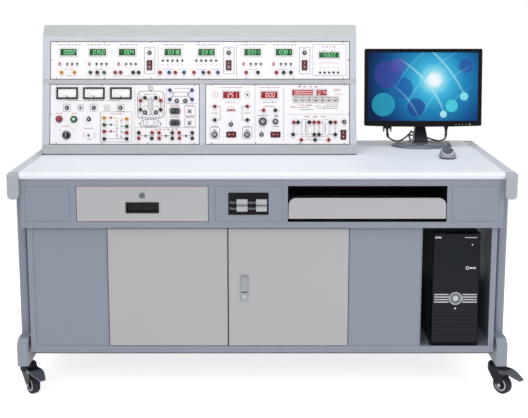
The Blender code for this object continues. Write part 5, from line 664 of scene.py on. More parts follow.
class Shape:
    """A mesh put together from turned, boxed and drawn forms, each with its own material number."""

    def __init__(self) -> None:
        """Starts empty."""
        self.work = bmesh.new()

    def take(self, part: bmesh.types.BMesh, slot: int, place: Matrix) -> "Shape":
        """Adds a finished form to the whole.

        Args:
            part: the form, which is freed.
            slot: its material number.
            place: where it goes.

        Returns:
            The shape itself.
        """
        bmesh.ops.recalc_face_normals(part, faces=part.faces[:])
        for face in part.faces:
            face.material_index = slot
        mesh = bpy.data.meshes.new("form")
        part.to_mesh(mesh)
        part.free()
        mesh.transform(place)
        self.work.from_mesh(mesh)
        bpy.data.meshes.remove(mesh)
        return self

    def turned(
        self, profile: Sequence[Point], sides: int, place: Matrix = Matrix.Identity(4), slot: int = 0,
    ) -> "Shape":
        """Adds a form turned about Z from a profile of radius and height.

        Args:
            profile: the points, from one end on the axis to the other, or a closed ring off the axis.
            sides: how many sides go round.
            place: where it goes.
            slot: its material number.

        Returns:
            The shape itself.
        """
        part = bmesh.new()
        rings = []
        for radius, height in profile:
            if radius <= 0:
                rings.append([part.verts.new((0, 0, height))])
                continue
            ring = []
            for side in range(sides):
                turn = 2 * math.pi * side / sides
                ring.append(part.verts.new((radius * math.cos(turn), radius * math.sin(turn), height)))
            rings.append(ring)
        pairs = list(zip(rings, rings[1:]))
        if profile[0][0] > 0 and profile[-1][0] > 0:
            pairs.append((rings[-1], rings[0]))
        for first, second in pairs:
            for side in range(sides):
                after = (side + 1) % sides
                if len(first) == 1 and len(second) == 1:
                    continue
                if len(first) == 1:
                    part.faces.new((first[0], second[side], second[after]))
                elif len(second) == 1:
                    part.faces.new((first[side], first[after], second[0]))
                else:
                    part.faces.new((first[side], first[after], second[after], second[side]))
        return self.take(part, slot, place)

    def block(
        self, low: Place, high: Place, edge: float = 0.0, place: Matrix = Matrix.Identity(4), slot: int = 0,
    ) -> "Shape":
        """Adds a box, with its edges rounded where a radius is given.

        Args:
            low: its lowest corner.
            high: its highest corner.
            edge: radius of its edges.
            place: where it goes.
            slot: its material number.

        Returns:
            The shape itself.
        """
        part = bmesh.new()
        bmesh.ops.create_cube(part, size=1.0)
        for vertex in part.verts:
            for axis in range(3):
                vertex.co[axis] = high[axis] if vertex.co[axis] > 0 else low[axis]
        if edge:
            bmesh.ops.bevel(part, geom=part.edges[:], offset=edge, segments=2, affect="EDGES", profile=0.5)
        return self.take(part, slot, place)

    def prism(
        self, points: Sequence[Point], low: float, high: float, edge: float = 0.0,
        place: Matrix = Matrix.Identity(4), slot: int = 0,
    ) -> "Shape":
        """Adds a flat outline drawn up from one height to another.

        Args:
            points: the outline, in order.
            low: height of its back.
            high: height of its front.
            edge: radius round its front edge.
            place: where it goes.
            slot: its material number.

        Returns:
            The shape itself.
        """
        part = bmesh.new()
        back = [part.verts.new((x, y, low)) for x, y in points]
        front = [part.verts.new((x, y, high)) for x, y in points]
        part.faces.new(back)
        top = part.faces.new(front)
        for index in range(len(points)):
            after = (index + 1) % len(points)
            part.faces.new((back[index], back[after], front[after], front[index]))
        if edge:
            bmesh.ops.bevel(part, geom=top.edges[:], offset=edge, segments=2, affect="EDGES", profile=0.5)
        return self.take(part, slot, place)

    def ribbon(
        self, points: Sequence[Point], width: float, low: float, high: float, closed: bool = False,
        place: Matrix = Matrix.Identity(4), slot: int = 0,
    ) -> "Shape":
        """Adds a flat band along a line, mitred at its corners.

        Args:
            points: the middle line.
            width: the band's width.
            low: height of its back.
            high: height of its front.
            closed: whether the line runs back to its start.
            place: where it goes.
            slot: its material number.

        Returns:
            The shape itself.
        """
        part = bmesh.new()
        line = [Vector(point) for point in points]
        count = len(line)
        rows = []
        for index, point in enumerate(line):
            before = line[index - 1] if index or closed else None
            after = line[(index + 1) % count] if index < count - 1 or closed else None
            ways = []
            if before is not None:
                ways.append((point - before).normalized())
            if after is not None:
                ways.append((after - point).normalized())
            side = Vector((0.0, 0.0))
            for way in ways:
                side += Vector((-way.y, way.x))
            side.normalize()
            normal = Vector((-ways[0].y, ways[0].x))
            side *= width / 2 / max(0.35, side.dot(normal))
            rows.append([
                part.verts.new((*(point + side), low)), part.verts.new((*(point - side), low)),
                part.verts.new((*(point - side), high)), part.verts.new((*(point + side), high)),
            ])
        spans = list(zip(rows, rows[1:]))
        if closed:
            spans.append((rows[-1], rows[0]))
        for first, second in spans:
            for corner in range(4):
                after = (corner + 1) % 4
                part.faces.new((first[corner], first[after], second[after], second[corner]))
        if not closed:
            part.faces.new(rows[0])
            part.faces.new(rows[-1])
        return self.take(part, slot, place)

    def mesh(self, name: str, smooth: float = 35.0) -> bpy.types.Mesh:
        """Returns the whole as a mesh, shaded smooth up to an angle in degrees."""
        mesh = bpy.data.meshes.new(name)
        self.work.to_mesh(mesh)
        self.work.free()
        mesh.shade_smooth()
        mesh.set_sharp_from_angle(angle=math.radians(smooth))
        return mesh


def fit(name: str, mesh: bpy.types.Mesh, finishes: Sequence[Finish], body: Body | str) -> bpy.types.Object:
    """Turns a mesh into a finished piece that rides on a CAD body.

    Args:
        name: the piece's name.
        mesh: its mesh, already in place.
        finishes: its finishes, by material number.
        body: the CAD body that carries it.

    Returns:
        The piece.
    """
    mesh.name = name
    numbers = [face.material_index for face in mesh.polygons]
    mesh.materials.clear()
    for finish in finishes:
        mesh.materials.append(finish.material())
    for face, number in zip(mesh.polygons, numbers):
        face.material_index = min(number, len(finishes) - 1)
    made = bpy.data.objects.new(name, mesh)
    bpy.context.scene.collection.objects.link(made)
    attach(made, body.value if isinstance(body, Body) else body)
    LOG.info("piece %s, %d faces", name, len(mesh.polygons))
    return made


def repaint(finish: Finish, *nodes: str) -> None:
    """Gives CAD nodes a finish.

    Args:
        finish: the finish.
        nodes: the nodes' names.
    """
    for node in nodes:
        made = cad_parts[node]
        material = finish.material()
        if not made.material_slots:
            made.data.materials.append(material)
        for holder in made.material_slots:
            holder.material = material
        LOG.info("node %s in %s", node, finish.name)


# Geometry Nodes


class StampTree:
    """A Geometry Nodes tree that sets one shape on every given point and makes the copies real."""

    def __init__(self) -> None:
        """Builds the tree and keeps its inputs."""
        self.tree = bpy.data.node_groups.new("stamp_on_points", "GeometryNodeTree")
        face = self.tree.interface
        face.new_socket("Geometry", in_out="INPUT", socket_type="NodeSocketGeometry")
        self.inputs = {}
        for name, kind in (
            ("Shape", "NodeSocketObject"), ("Turn", "NodeSocketVector"), ("Size", "NodeSocketFloat"),
            ("Spin Spread", "NodeSocketFloat"), ("Seed", "NodeSocketInt"), ("Finish", "NodeSocketMaterial"),
        ):
            self.inputs[name] = face.new_socket(name, in_out="INPUT", socket_type=kind).identifier
        face.new_socket("Geometry", in_out="OUTPUT", socket_type="NodeSocketGeometry")
        tree = self.tree
        given = add(tree, "NodeGroupInput").outputs
        shape = add(tree, "GeometryNodeObjectInfo", {}, {"Object": given["Shape"]})
        points = add(tree, "GeometryNodeMeshToPoints", {}, {"Mesh": given["Geometry"]})
        copies = add(
            tree, "GeometryNodeInstanceOnPoints", {},
            {"Points": points.outputs[0], "Instance": shape.outputs["Geometry"], "Rotation": given["Turn"],
             "Scale": given["Size"]},
        )
        spin = add(
            tree, "FunctionNodeRandomValue", {"data_type": "FLOAT"},
            {3: given["Spin Spread"], "Seed": given["Seed"]},
        )
        about = add(tree, "ShaderNodeCombineXYZ", {}, {"Z": spin.outputs[1]})
        spun = add(
            tree, "GeometryNodeRotateInstances", {},
            {"Instances": copies.outputs[0], "Rotation": about.outputs[0]},
        )
        real = add(tree, "GeometryNodeRealizeInstances", {}, {"Geometry": spun.outputs[0]})
        dressed = add(
            tree, "GeometryNodeSetMaterial", {}, {"Geometry": real.outputs[0], "Material": given["Finish"]},
        )
        add(tree, "NodeGroupOutput", {}, {"Geometry": dressed.outputs[0]})

    def stamp(
        self, name: str, places: Sequence[Vector], shape: Shape, turn: Euler, finish: Finish, body: Body | str,
        slot: str, spread: float = 0.0,
    ) -> bpy.types.Object:
        """Sets copies of a shape on points and returns them as one plain piece.

        Args:
            name: the piece's name.
            places: the points.
            shape: the shape, standing on its own Z axis.
            turn: how each copy is turned.
            finish: the finish of all copies.
            body: the CAD body that carries them.
            slot: not used.
            spread: the largest random turn of a copy about its own axis, in radians.

        Returns:
            The piece.
        """
        model = bpy.data.objects.new(name + "_model", shape.mesh(name + "_model"))
        bpy.context.scene.collection.objects.link(model)
        cloud = bpy.data.meshes.new(name + "_points")
        cloud.from_pydata([tuple(place) for place in places], [], [])
        carrier = bpy.data.objects.new(name + "_points", cloud)
        bpy.context.scene.collection.objects.link(carrier)
        maker = carrier.modifiers.new("stamp", "NODES")
        maker.node_group = self.tree
        values = {
            "Shape": model, "Turn": tuple(turn), "Size": 1.0, "Spin Spread": spread, "Seed": 7,
            "Finish": finish.material(),
        }
        for key, value in values.items():
            maker[self.inputs[key]] = value
        bpy.context.view_layer.update()
        held = carrier.evaluated_get(bpy.context.evaluated_depsgraph_get())
        mesh = bpy.data.meshes.new_from_object(held)
        carrier.modifiers.remove(maker)
        bpy.data.objects.remove(carrier)
        bpy.data.objects.remove(model)
        return fit(name, mesh, [finish], body)


class RowTree:
    """A Geometry Nodes tree that repeats a bar along a line: louvres, ribs, slots or grip bars."""

    def __init__(self) -> None:
        """Builds the tree and keeps its inputs."""
        self.tree = bpy.data.node_groups.new("row_of_bars", "GeometryNodeTree")
        face = self.tree.interface
        self.inputs = {}
        for name, kind in (
            ("Count", "NodeSocketInt"), ("Start", "NodeSocketVector"), ("Pitch", "NodeSocketVector"),
            ("Bar", "NodeSocketVector"), ("Turn", "NodeSocketVector"), ("Finish", "NodeSocketMaterial"),
        ):
            self.inputs[name] = face.new_socket(name, in_out="INPUT", socket_type=kind).identifier
        face.new_socket("Geometry", in_out="OUTPUT", socket_type="NodeSocketGeometry")
        tree = self.tree
        given = add(tree, "NodeGroupInput").outputs
        line = add(
            tree, "GeometryNodeMeshLine", {"mode": "OFFSET"},
            {"Count": given["Count"], "Start Location": given["Start"], "Offset": given["Pitch"]},
        )
        bar = add(tree, "GeometryNodeMeshCube", {}, {"Size": given["Bar"]})
        copies = add(
            tree, "GeometryNodeInstanceOnPoints", {},
            {"Points": line.outputs[0], "Instance": bar.outputs[0], "Rotation": given["Turn"]},
        )
        real = add(tree, "GeometryNodeRealizeInstances", {}, {"Geometry": copies.outputs[0]})
        dressed = add(
            tree, "GeometryNodeSetMaterial", {}, {"Geometry": real.outputs[0], "Material": given["Finish"]},
        )
        add(tree, "NodeGroupOutput", {}, {"Geometry": dressed.outputs[0]})

    def row(
        self, name: str, count: int, start: Place, pitch: Place, bar: Place, finish: Finish, body: Body | str,
        slot: str, turn: Place = (0.0, 0.0, 0.0), edge: float = 0.0,
    ) -> bpy.types.Object:
        """Makes one row of bars as a plain piece.

        Args:
            name: the piece's name.
            count: how many bars.
            start: middle of the first bar.
            pitch: the step from bar to bar.
            bar: the bar's size along X, Y and Z.
            finish: the bars' finish.
            body: the CAD body that carries them.
            slot: not used.
            turn: how each bar is turned.
            edge: radius of the bars' edges.

        Returns:
            The piece.
        """
        carrier = bpy.data.objects.new(name + "_row", bpy.data.meshes.new(name + "_row"))
        bpy.context.scene.collection.objects.link(carrier)
        maker = carrier.modifiers.new("row", "NODES")
        maker.node_group = self.tree
        values = {
            "Count": count, "Start": start, "Pitch": pitch, "Bar": bar, "Turn": turn, "Finish": finish.material(),
        }
        for key, value in values.items():
            maker[self.inputs[key]] = value
        bpy.context.view_layer.update()
        held = carrier.evaluated_get(bpy.context.evaluated_depsgraph_get())
        mesh = bpy.data.meshes.new_from_object(held)
        carrier.modifiers.remove(maker)
        bpy.data.objects.remove(carrier)
        if edge:
            work = bmesh.new()
            work.from_mesh(mesh)
            bmesh.ops.remove_doubles(work, verts=work.verts[:], dist=0.000001)
            bmesh.ops.bevel(work, geom=work.edges[:], offset=edge, segments=2, affect="EDGES", profile=0.5)
            work.to_mesh(mesh)
            work.free()
            mesh.shade_smooth()
            mesh.set_sharp_from_angle(angle=math.radians(35))
        return fit(name, mesh, [finish], body)


# The console's panels

LEAN = math.radians(10.46)
FACE = Matrix((
    (1.0, 0.0, 0.0, BENCH_X),
    (0.0, math.sin(LEAN), -math.cos(LEAN), 0.005),
    (0.0, math.cos(LEAN), math.sin(LEAN), 0.846),
    (0.0, 0.0, 0.0, 1.0),
))
FACE_TURN = FACE.to_3x3().to_euler()
SUNK = 0.0005
FILM = 0.00015
# Screen ink runs a little past its stencil, so a line prints this much broader than it was drawn.
INK_SPREAD = 1.6


@dataclass
class Caption:
    """A row of small printed dashes that stands where a caption is, and spells nothing.

    Attributes:
        x: middle of the row in mm from the panel's left edge.
        y: its height in mm over the panel's lower edge.
        count: how many dashes.
        pitch: distance between them in mm.
        ink: the ink.
    """

    x: float
    y: float
    count: int
    pitch: float
    ink: Finish


@dataclass
class Line:
    """A printed line.

    Attributes:
        points: its points in mm on the panel.
        ink: the ink.
        closed: whether it runs back to its start.
        width: its width in mm.
    """

    points: Sequence[Point]
    ink: Finish
    closed: bool = False
    width: float = 0.9


def box_line(left: float, low: float, right: float, high: float, ink: Finish, width: float = 0.9) -> Line:
    """Returns a printed rectangle with small cut corners."""
    cut = min(2.5, (right - left) / 6)
    points = (
        (left + cut, low), (right - cut, low), (right, low + cut), (right, high - cut), (right - cut, high),
        (left + cut, high), (left, high - cut), (left, low + cut),
    )
    return Line(points, ink, True, width)


def ring_line(x: float, y: float, radius: float, ink: Finish, width: float = 0.9) -> Line:
    """Returns a printed circle."""
    points = []
    for step in range(24):
        turn = 2 * math.pi * step / 24
        points.append((x + radius * math.cos(turn), y + radius * math.sin(turn)))
    return Line(points, ink, True, width)


def arc_line(x: float, y: float, radius: float, start: float, end: float, ink: Finish, width: float = 0.9) -> Line:
    """Returns a printed arc between two angles in degrees."""
    points = []
    for step in range(13):
        turn = math.radians(start + (end - start) * step / 12)
        points.append((x + radius * math.cos(turn), y + radius * math.sin(turn)))
    return Line(points, ink, False, width)


SEGMENTS = {
    "0": "abcdef", "1": "bc", "2": "abged", "3": "abgcd", "4": "fgbc", "5": "afgcd", "6": "afgedc", "7": "abc",
    "8": "abcdefg", "9": "abcdfg",
}


@dataclass
class Display:
    """A window with seven-segment digits behind it.

    Attributes:
        x: middle in mm from the panel's left edge.
        y: middle in mm over its lower edge.
        width: the window's width in mm.
        height: its height in mm.
        text: the digits that it shows.
        green: green if true, red if not.
        share: how much of the window's width the digits take.
    """

    x: float
    y: float
    width: float
    height: float
    text: str
    green: bool = True
    share: float = 0.72

    def draw(self, rims: Shape, windows: Shape, digits: Shape, panel: "Panel") -> None:
        """Adds the rim, the window and the digits to the shapes for them.

        Args:
            rims: gets the moulded rim.
            windows: gets the tinted window.
            digits: gets the lit segments.
            panel: the panel that carries them.
        """
        middle = panel.local(self.x, self.y)
        half = self.width * MM / 2
        tall = self.height * MM / 2
        place = Matrix.Translation((*middle, -SUNK))
        rim = 0.0015
        line = [(-half - rim, -tall - rim), (half + rim, -tall - rim), (half + rim, tall + rim), (-half - rim, tall + rim)]
        rims.ribbon(line, 2 * rim, -0.001, 0.0019, True, place)
        windows.block((-half, -tall, -0.0005), (half, tall, 0.0012), 0.0002, place)
        count = len(self.text)
        step = self.width * MM * self.share / count
        high = min(tall * 1.25, step * 1.55)
        wide = step * 0.62
        for index, digit in enumerate(self.text):
            x = (index - (count - 1) / 2) * step + self.width * MM * 0.06
            self.digit(digits, digit, x, wide, high, place)

    def digit(self, digits: Shape, digit: str, x: float, wide: float, high: float, place: Matrix) -> None:
        """Adds one digit's lit segments, leaning a little to the right.

        Args:
            digits: gets the segments.
            digit: which digit.
            x: its middle.
            wide: its width.
            high: its height.
            place: the window's place.
        """
        bar = high * 0.13
        left = -wide / 2
        right = wide / 2
        half = high / 2
        ends = {
            "a": ((left, half), (right, half)), "g": ((left, 0), (right, 0)), "d": ((left, -half), (right, -half)),
            "f": ((left, half), (left, 0)), "b": ((right, half), (right, 0)), "e": ((left, 0), (left, -half)),
            "c": ((right, 0), (right, -half)),
        }
        for name in SEGMENTS[digit]:
            start, end = (Vector(point) for point in ends[name])
            way = (end - start).normalized() * bar * 0.62
            line = []
            for point in (start + way, end - way):
                line.append((x + point.x + point.y * 0.12, point.y))
            digits.ribbon(line, bar, 0.0011, 0.0014, False, place)


@dataclass
class Panel:
    """One printed instrument board, with everything that is printed and fitted on it.

    Attributes:
        node: the CAD node that it stands for.
        left: its left edge in the face's frame, in metres.
        low: its lower edge.
        width: its width.
        height: its height.
        windows: openings for switches as (x, y, width, height) in mm.
        bores: round openings as (x, y, radius) in mm.
        displays: its displays.
        posts: for each plastic colour, the places of its binding posts in mm.
        pegs: for each plastic colour, the places of its small buttons in mm.
        fuses: places of the fuse holders in mm.
        lines: printed lines.
        captions: printed rows that stand for captions.
        screws: places of the fixing screws in mm.
    """

    node: str
    left: float
    low: float
    width: float
    height: float
    windows: Sequence[tuple[float, float, float, float]] = ()
    bores: Sequence[tuple[float, float, float]] = ()
    displays: Sequence[Display] = ()
    posts: dict[str, Sequence[Point]] = field(default_factory=dict)
    pegs: dict[str, Sequence[Point]] = field(default_factory=dict)
    fuses: Sequence[Point] = ()
    lines: Sequence[Line] = ()
    captions: Sequence[Caption] = ()
    screws: Sequence[Point] = ()

    thickness = 0.003
    edge = 0.0003

    def local(self, x: float, y: float) -> Point:
        """Returns a place on the face, in metres, from one on the panel in mm."""
        return (self.left + x * MM, self.low + y * MM)

    def spot(self, x: float, y: float, out: float = 0.0) -> Vector:
        """Returns the world's point over a place on the panel, out from its surface."""
        return FACE @ Vector((*self.local(x, y), -SUNK + out))

    def board(self) -> bpy.types.Object:
        """Makes the board as a drawn plate with its openings, and lets it stand for the CAD node."""
        curve = bpy.data.curves.new(self.node + "_board", "CURVE")
        curve.dimensions = "2D"
        curve.fill_mode = "BOTH"
        curve.extrude = self.thickness / 2 - self.edge
        curve.bevel_depth = self.edge
        curve.bevel_resolution = 1
        inset = self.edge
        wide = self.width
        tall = self.height
        loops = [[(inset, inset), (wide - inset, inset), (wide - inset, tall - inset), (inset, tall - inset)]]
        for x, y, across, up in self.windows:
            half = across * MM / 2 + inset
            high = up * MM / 2 + inset
            loops.append([
                (x * MM - half, y * MM - high), (x * MM - half, y * MM + high), (x * MM + half, y * MM + high),
                (x * MM + half, y * MM - high),
            ])
        for x, y, radius in self.bores:
            ring = []
            for step in range(24):
                turn = -2 * math.pi * step / 24
                ring.append((x * MM + (radius * MM + inset) * math.cos(turn),
                             y * MM + (radius * MM + inset) * math.sin(turn)))
            loops.append(ring)
        for loop in loops:
            spline = curve.splines.new("POLY")
            spline.points.add(len(loop) - 1)
            for knot, point in zip(spline.points, loop):
                knot.co = (point[0] + self.left, point[1] + self.low, 0.0, 1.0)
            spline.use_cyclic_u = True
        carrier = bpy.data.objects.new(self.node + "_board", curve)
        bpy.context.scene.collection.objects.link(carrier)
        bpy.context.view_layer.update()
        mesh = bpy.data.meshes.new_from_object(carrier.evaluated_get(bpy.context.evaluated_depsgraph_get()))
        bpy.data.objects.remove(carrier)
        work = bmesh.new()
        work.from_mesh(mesh)
        bmesh.ops.remove_doubles(work, verts=work.verts[:], dist=0.000001)
        bmesh.ops.recalc_face_normals(work, faces=work.faces[:])
        work.to_mesh(mesh)
        work.free()
        mesh.transform(FACE @ Matrix.Translation((0.0, 0.0, -SUNK - self.thickness / 2)))
        made = fit(self.node + "_board", mesh, [BOARD], Body.BENCH)
        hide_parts(self.node)
        return made

    def print_on(self) -> None:
        """Prints the lines and captions, one piece for each ink."""
        inks: dict[str, tuple[Finish, Shape]] = {}
        frames = []
        for shown in self.displays:
            half = shown.width / 2 + 5
            tall = shown.height / 2 + 4.5
            frames.append(box_line(shown.x - half, shown.y - tall, shown.x + half, shown.y + tall, PALE_INK, 0.6))
        for line in [*self.lines, *frames]:
            shape = inks.setdefault(line.ink.name, (line.ink, Shape()))[1]
            points = [self.local(x, y) for x, y in line.points]
            shape.ribbon(points, line.width * INK_SPREAD * MM, -SUNK, -SUNK + FILM, line.closed, FACE)
        for row in self.captions:
            shape = inks.setdefault(row.ink.name, (row.ink, Shape()))[1]
            for index in range(row.count):
                x = row.x + (index - (row.count - 1) / 2) * row.pitch
                width = row.pitch * (0.50 if index % 3 else 0.64)
                start = self.local(x - width / 2, row.y)
                end = self.local(x + width / 2, row.y)
                tall = 3.3 if index % 2 else 2.6
                shape.ribbon([start, end], tall * MM, -SUNK, -SUNK + FILM, False, FACE)
        for name, (ink, shape) in inks.items():
            fit(self.node + "_" + name, shape.mesh(name), [ink], Body.BENCH)

    def fill_displays(self) -> None:
        """Makes the rims, windows and digits of the displays."""
        for green in (True, False):
            shown = [display for display in self.displays if display.green == green]
            if not shown:
                continue
            rims, windows, digits = Shape(), Shape(), Shape()
            for display in shown:
                display.draw(rims, windows, digits, self)
            name = self.node + ("_green" if green else "_red")
            for part, shape, finish in (
                ("rims", rims, RIM_ABS), ("windows", windows, GREEN_WINDOW if green else RED_WINDOW),
                ("digits", digits, GREEN_DIGIT if green else RED_DIGIT),
            ):
                mesh = shape.mesh(name + "_" + part)
                mesh.transform(FACE)
                fit(name + "_" + part, mesh, [finish], Body.BENCH)


PLASTICS = {"red": RED_ABS, "green": GREEN_ABS, "blue": BLUE_ABS, "yellow": YELLOW_ABS, "black": BLACK_ABS}


class Fittings:
    """The turned shapes of the small fittings, in metres, each standing on the panel at height 0."""

    post_profile = (
        (0.0, -0.0010), (0.0070, -0.0010), (0.0070, 0.0018), (0.0064, 0.0024), (0.0058, 0.0028), (0.0058, 0.0036),
        (0.0068, 0.0040), (0.0070, 0.0046), (0.0070, 0.0088), (0.0064, 0.0098), (0.0040, 0.0100), (0.0034, 0.0097),
        (0.0034, 0.0070), (0.0, 0.0070),
    )
    contact_profile = (
        (0.0, 0.0068), (0.0033, 0.0068), (0.0033, 0.0090), (0.0022, 0.0090), (0.0022, 0.0074), (0.0, 0.0074),
    )
    peg_profile = (
        (0.0, -0.0010), (0.0044, -0.0010), (0.0044, 0.0008), (0.0040, 0.0010), (0.0040, 0.0034), (0.0034, 0.0042),
        (0.0014, 0.0043), (0.0, 0.0043),
    )
    fuse_profile = (
        (0.0, -0.0010), (0.0085, -0.0010), (0.0085, 0.0016), (0.0074, 0.0022), (0.0072, 0.0080), (0.0066, 0.0090),
        (0.0044, 0.0090), (0.0042, 0.0078), (0.0, 0.0078),
    )
    core_profile = ((0.0, 0.0070), (0.0034, 0.0070), (0.0034, 0.0086), (0.0028, 0.0091), (0.0, 0.0091))

    @classmethod
    def screw(cls) -> Shape:
        """Returns a pan-head screw with a cross recess shown as raised quarters."""
        shape = Shape().turned(((0.0, -0.0005), (0.0026, -0.0005), (0.0026, 0.0002), (0.0019, 0.0010), (0.0, 0.0012)), 14)
        for turn in (0.0, math.pi / 2):
            place = Matrix.Rotation(turn, 4, "Z")
            shape.block((-0.0014, -0.00025, 0.0010), (0.0014, 0.00025, 0.0013), 0.0, place)
        return shape


def rows(y: float, xs: Iterable[float]) -> list[Point]:
    """Returns places in one row."""
    return [(x, y) for x in xs]


UPPER = Panel(
    node="upper_panel", left=-0.830, low=0.297, width=1.171, height=0.148,
    windows=[(x, 55.06, 17.1, 33.6) for x in (387.6, 697.9, 995.35)],
    displays=[
        Display(x, 105.97, 64, 26, text) for x, text in (
            (70.26, "0002"), (185.0, "0350"), (299.8, "1004"), (478.9, "0318"), (611.3, "0310"), (791.6, "0331"),
            (914.6, "0381"),
        )
    ] + [Display(1091.4, 95.0, 79, 21, "158221", share=0.86)],
    posts={
        "yellow": rows(26, (44.5, 94.9)), "green": rows(26, (156.9, 210.8)), "black": rows(
            26, (183.8, 324.4, 345.4, 812.7, 913.4, 941.5)),
        "red": rows(26, (254.1, 275.2, 429.8, 489.5, 562.1, 620.6, 767.0, 885.3)),
        "blue": rows(26, (464.9, 523.4, 598.4, 655.8)),
    },
    pegs={
        "red": rows(60, (36.3, 152.2, 267.0, 756.5, 873.6)),
        "black": rows(60, (65.6, 84.3, 104.2, 180.3, 200.2, 219.0, 296.3, 315.0, 333.7, 784.6, 804.5, 824.4, 902.8,
                           921.6, 941.5)) + rows(73, (440.3, 459.0, 477.8, 496.5, 516.4, 571.4, 590.2, 608.9, 628.8,
                                                      648.7)) + rows(26, (1056.2, 1073.8, 1091.4, 1108.9, 1126.5)),
    },
    fuses=rows(104, (387.6, 697.9, 995.35)),
    lines=[
        *[box_line(x - 20, 21, x + 21, 126, GREY_INK) for x in (387.6, 697.9, 995.35)],
        Line([(421, 8), (421, 136)], GREY_INK, width=0.7), Line([(729, 8), (729, 136)], GREY_INK, width=0.7),
        box_line(1028, 14, 1158, 136, GREY_INK, 0.7),
        Line([(1056, 54), (1056, 64), (1127, 64), (1127, 54)], RED_INK, width=0.6),
        *[Line([(x, 39), (x + 34, 39)], GREY_INK, width=0.6) for x in (51, 172, 440, 500, 572, 632, 775, 892)],
        *[Line([(x + 41, 39), (x + 56, 39)], RED_INK, width=0.6) for x in (34, 148, 425, 557, 752, 870)],
        *[Line([(x, 83), (x, 79)], GREY_INK, width=0.7) for x in (440, 459, 478, 497, 516, 571, 590, 609, 629, 649)],
    ],
    captions=[
        Caption(72, 135, 7, 13.5, RED_INK), Caption(188, 135, 7, 13.5, RED_INK), Caption(305, 135, 8, 9.0, BLACK_INK),
        Caption(484, 135, 9, 9.2, BLACK_INK), Caption(614, 135, 10, 9.0, BLACK_INK), Caption(797, 135, 7, 13.5, RED_INK),
        Caption(918, 135, 7, 13.5, RED_INK), Caption(1091, 127, 4, 14.0, RED_INK),
        *[Caption(x, 53, 3, 4.0, RED_INK) for x in (36, 152, 267, 757, 874)],
        *[Caption(x, 67, 3, 4.0, RED_INK) for x in (36, 152, 267, 757, 874)],
        *[Caption(x, 52, 1, 6.0, BLACK_INK) for x in (65, 84, 104, 180, 200, 219, 296, 315, 334, 785, 805, 825, 903,
                                                      922, 942)],
        *[Caption(x, 57, 1, 5.0, RED_INK) for x in (440, 478, 497, 571, 590, 609)],
        *[Caption(x, 57, 1, 5.0, BLACK_INK) for x in (459, 516, 629, 649)],
        *[Caption(x, 35, 4, 4.0, BLACK_INK) for x in (388, 698, 995)],
        *[Caption(x, 119, 2, 6.0, BLACK_INK) for x in (388, 698, 995)],
        *[Caption(x, 45, 1, 5.0, BLACK_INK) for x in (1056, 1074, 1091, 1109, 1127)],
        *[Caption(x, 13, 4, 5.0, BLACK_INK) for x in (72, 184, 299)],
        Caption(1075, 113, 3, 6.0, BLACK_INK), Caption(1106, 112, 3, 5.0, BLACK_INK),
    ],
    screws=[*rows(144.5, (24, 211, 394, 580, 767, 954, 1146)), *rows(4.5, (24, 211, 394, 580, 767, 954, 1146)),
            (4.5, 76), (1166.5, 76)],
)

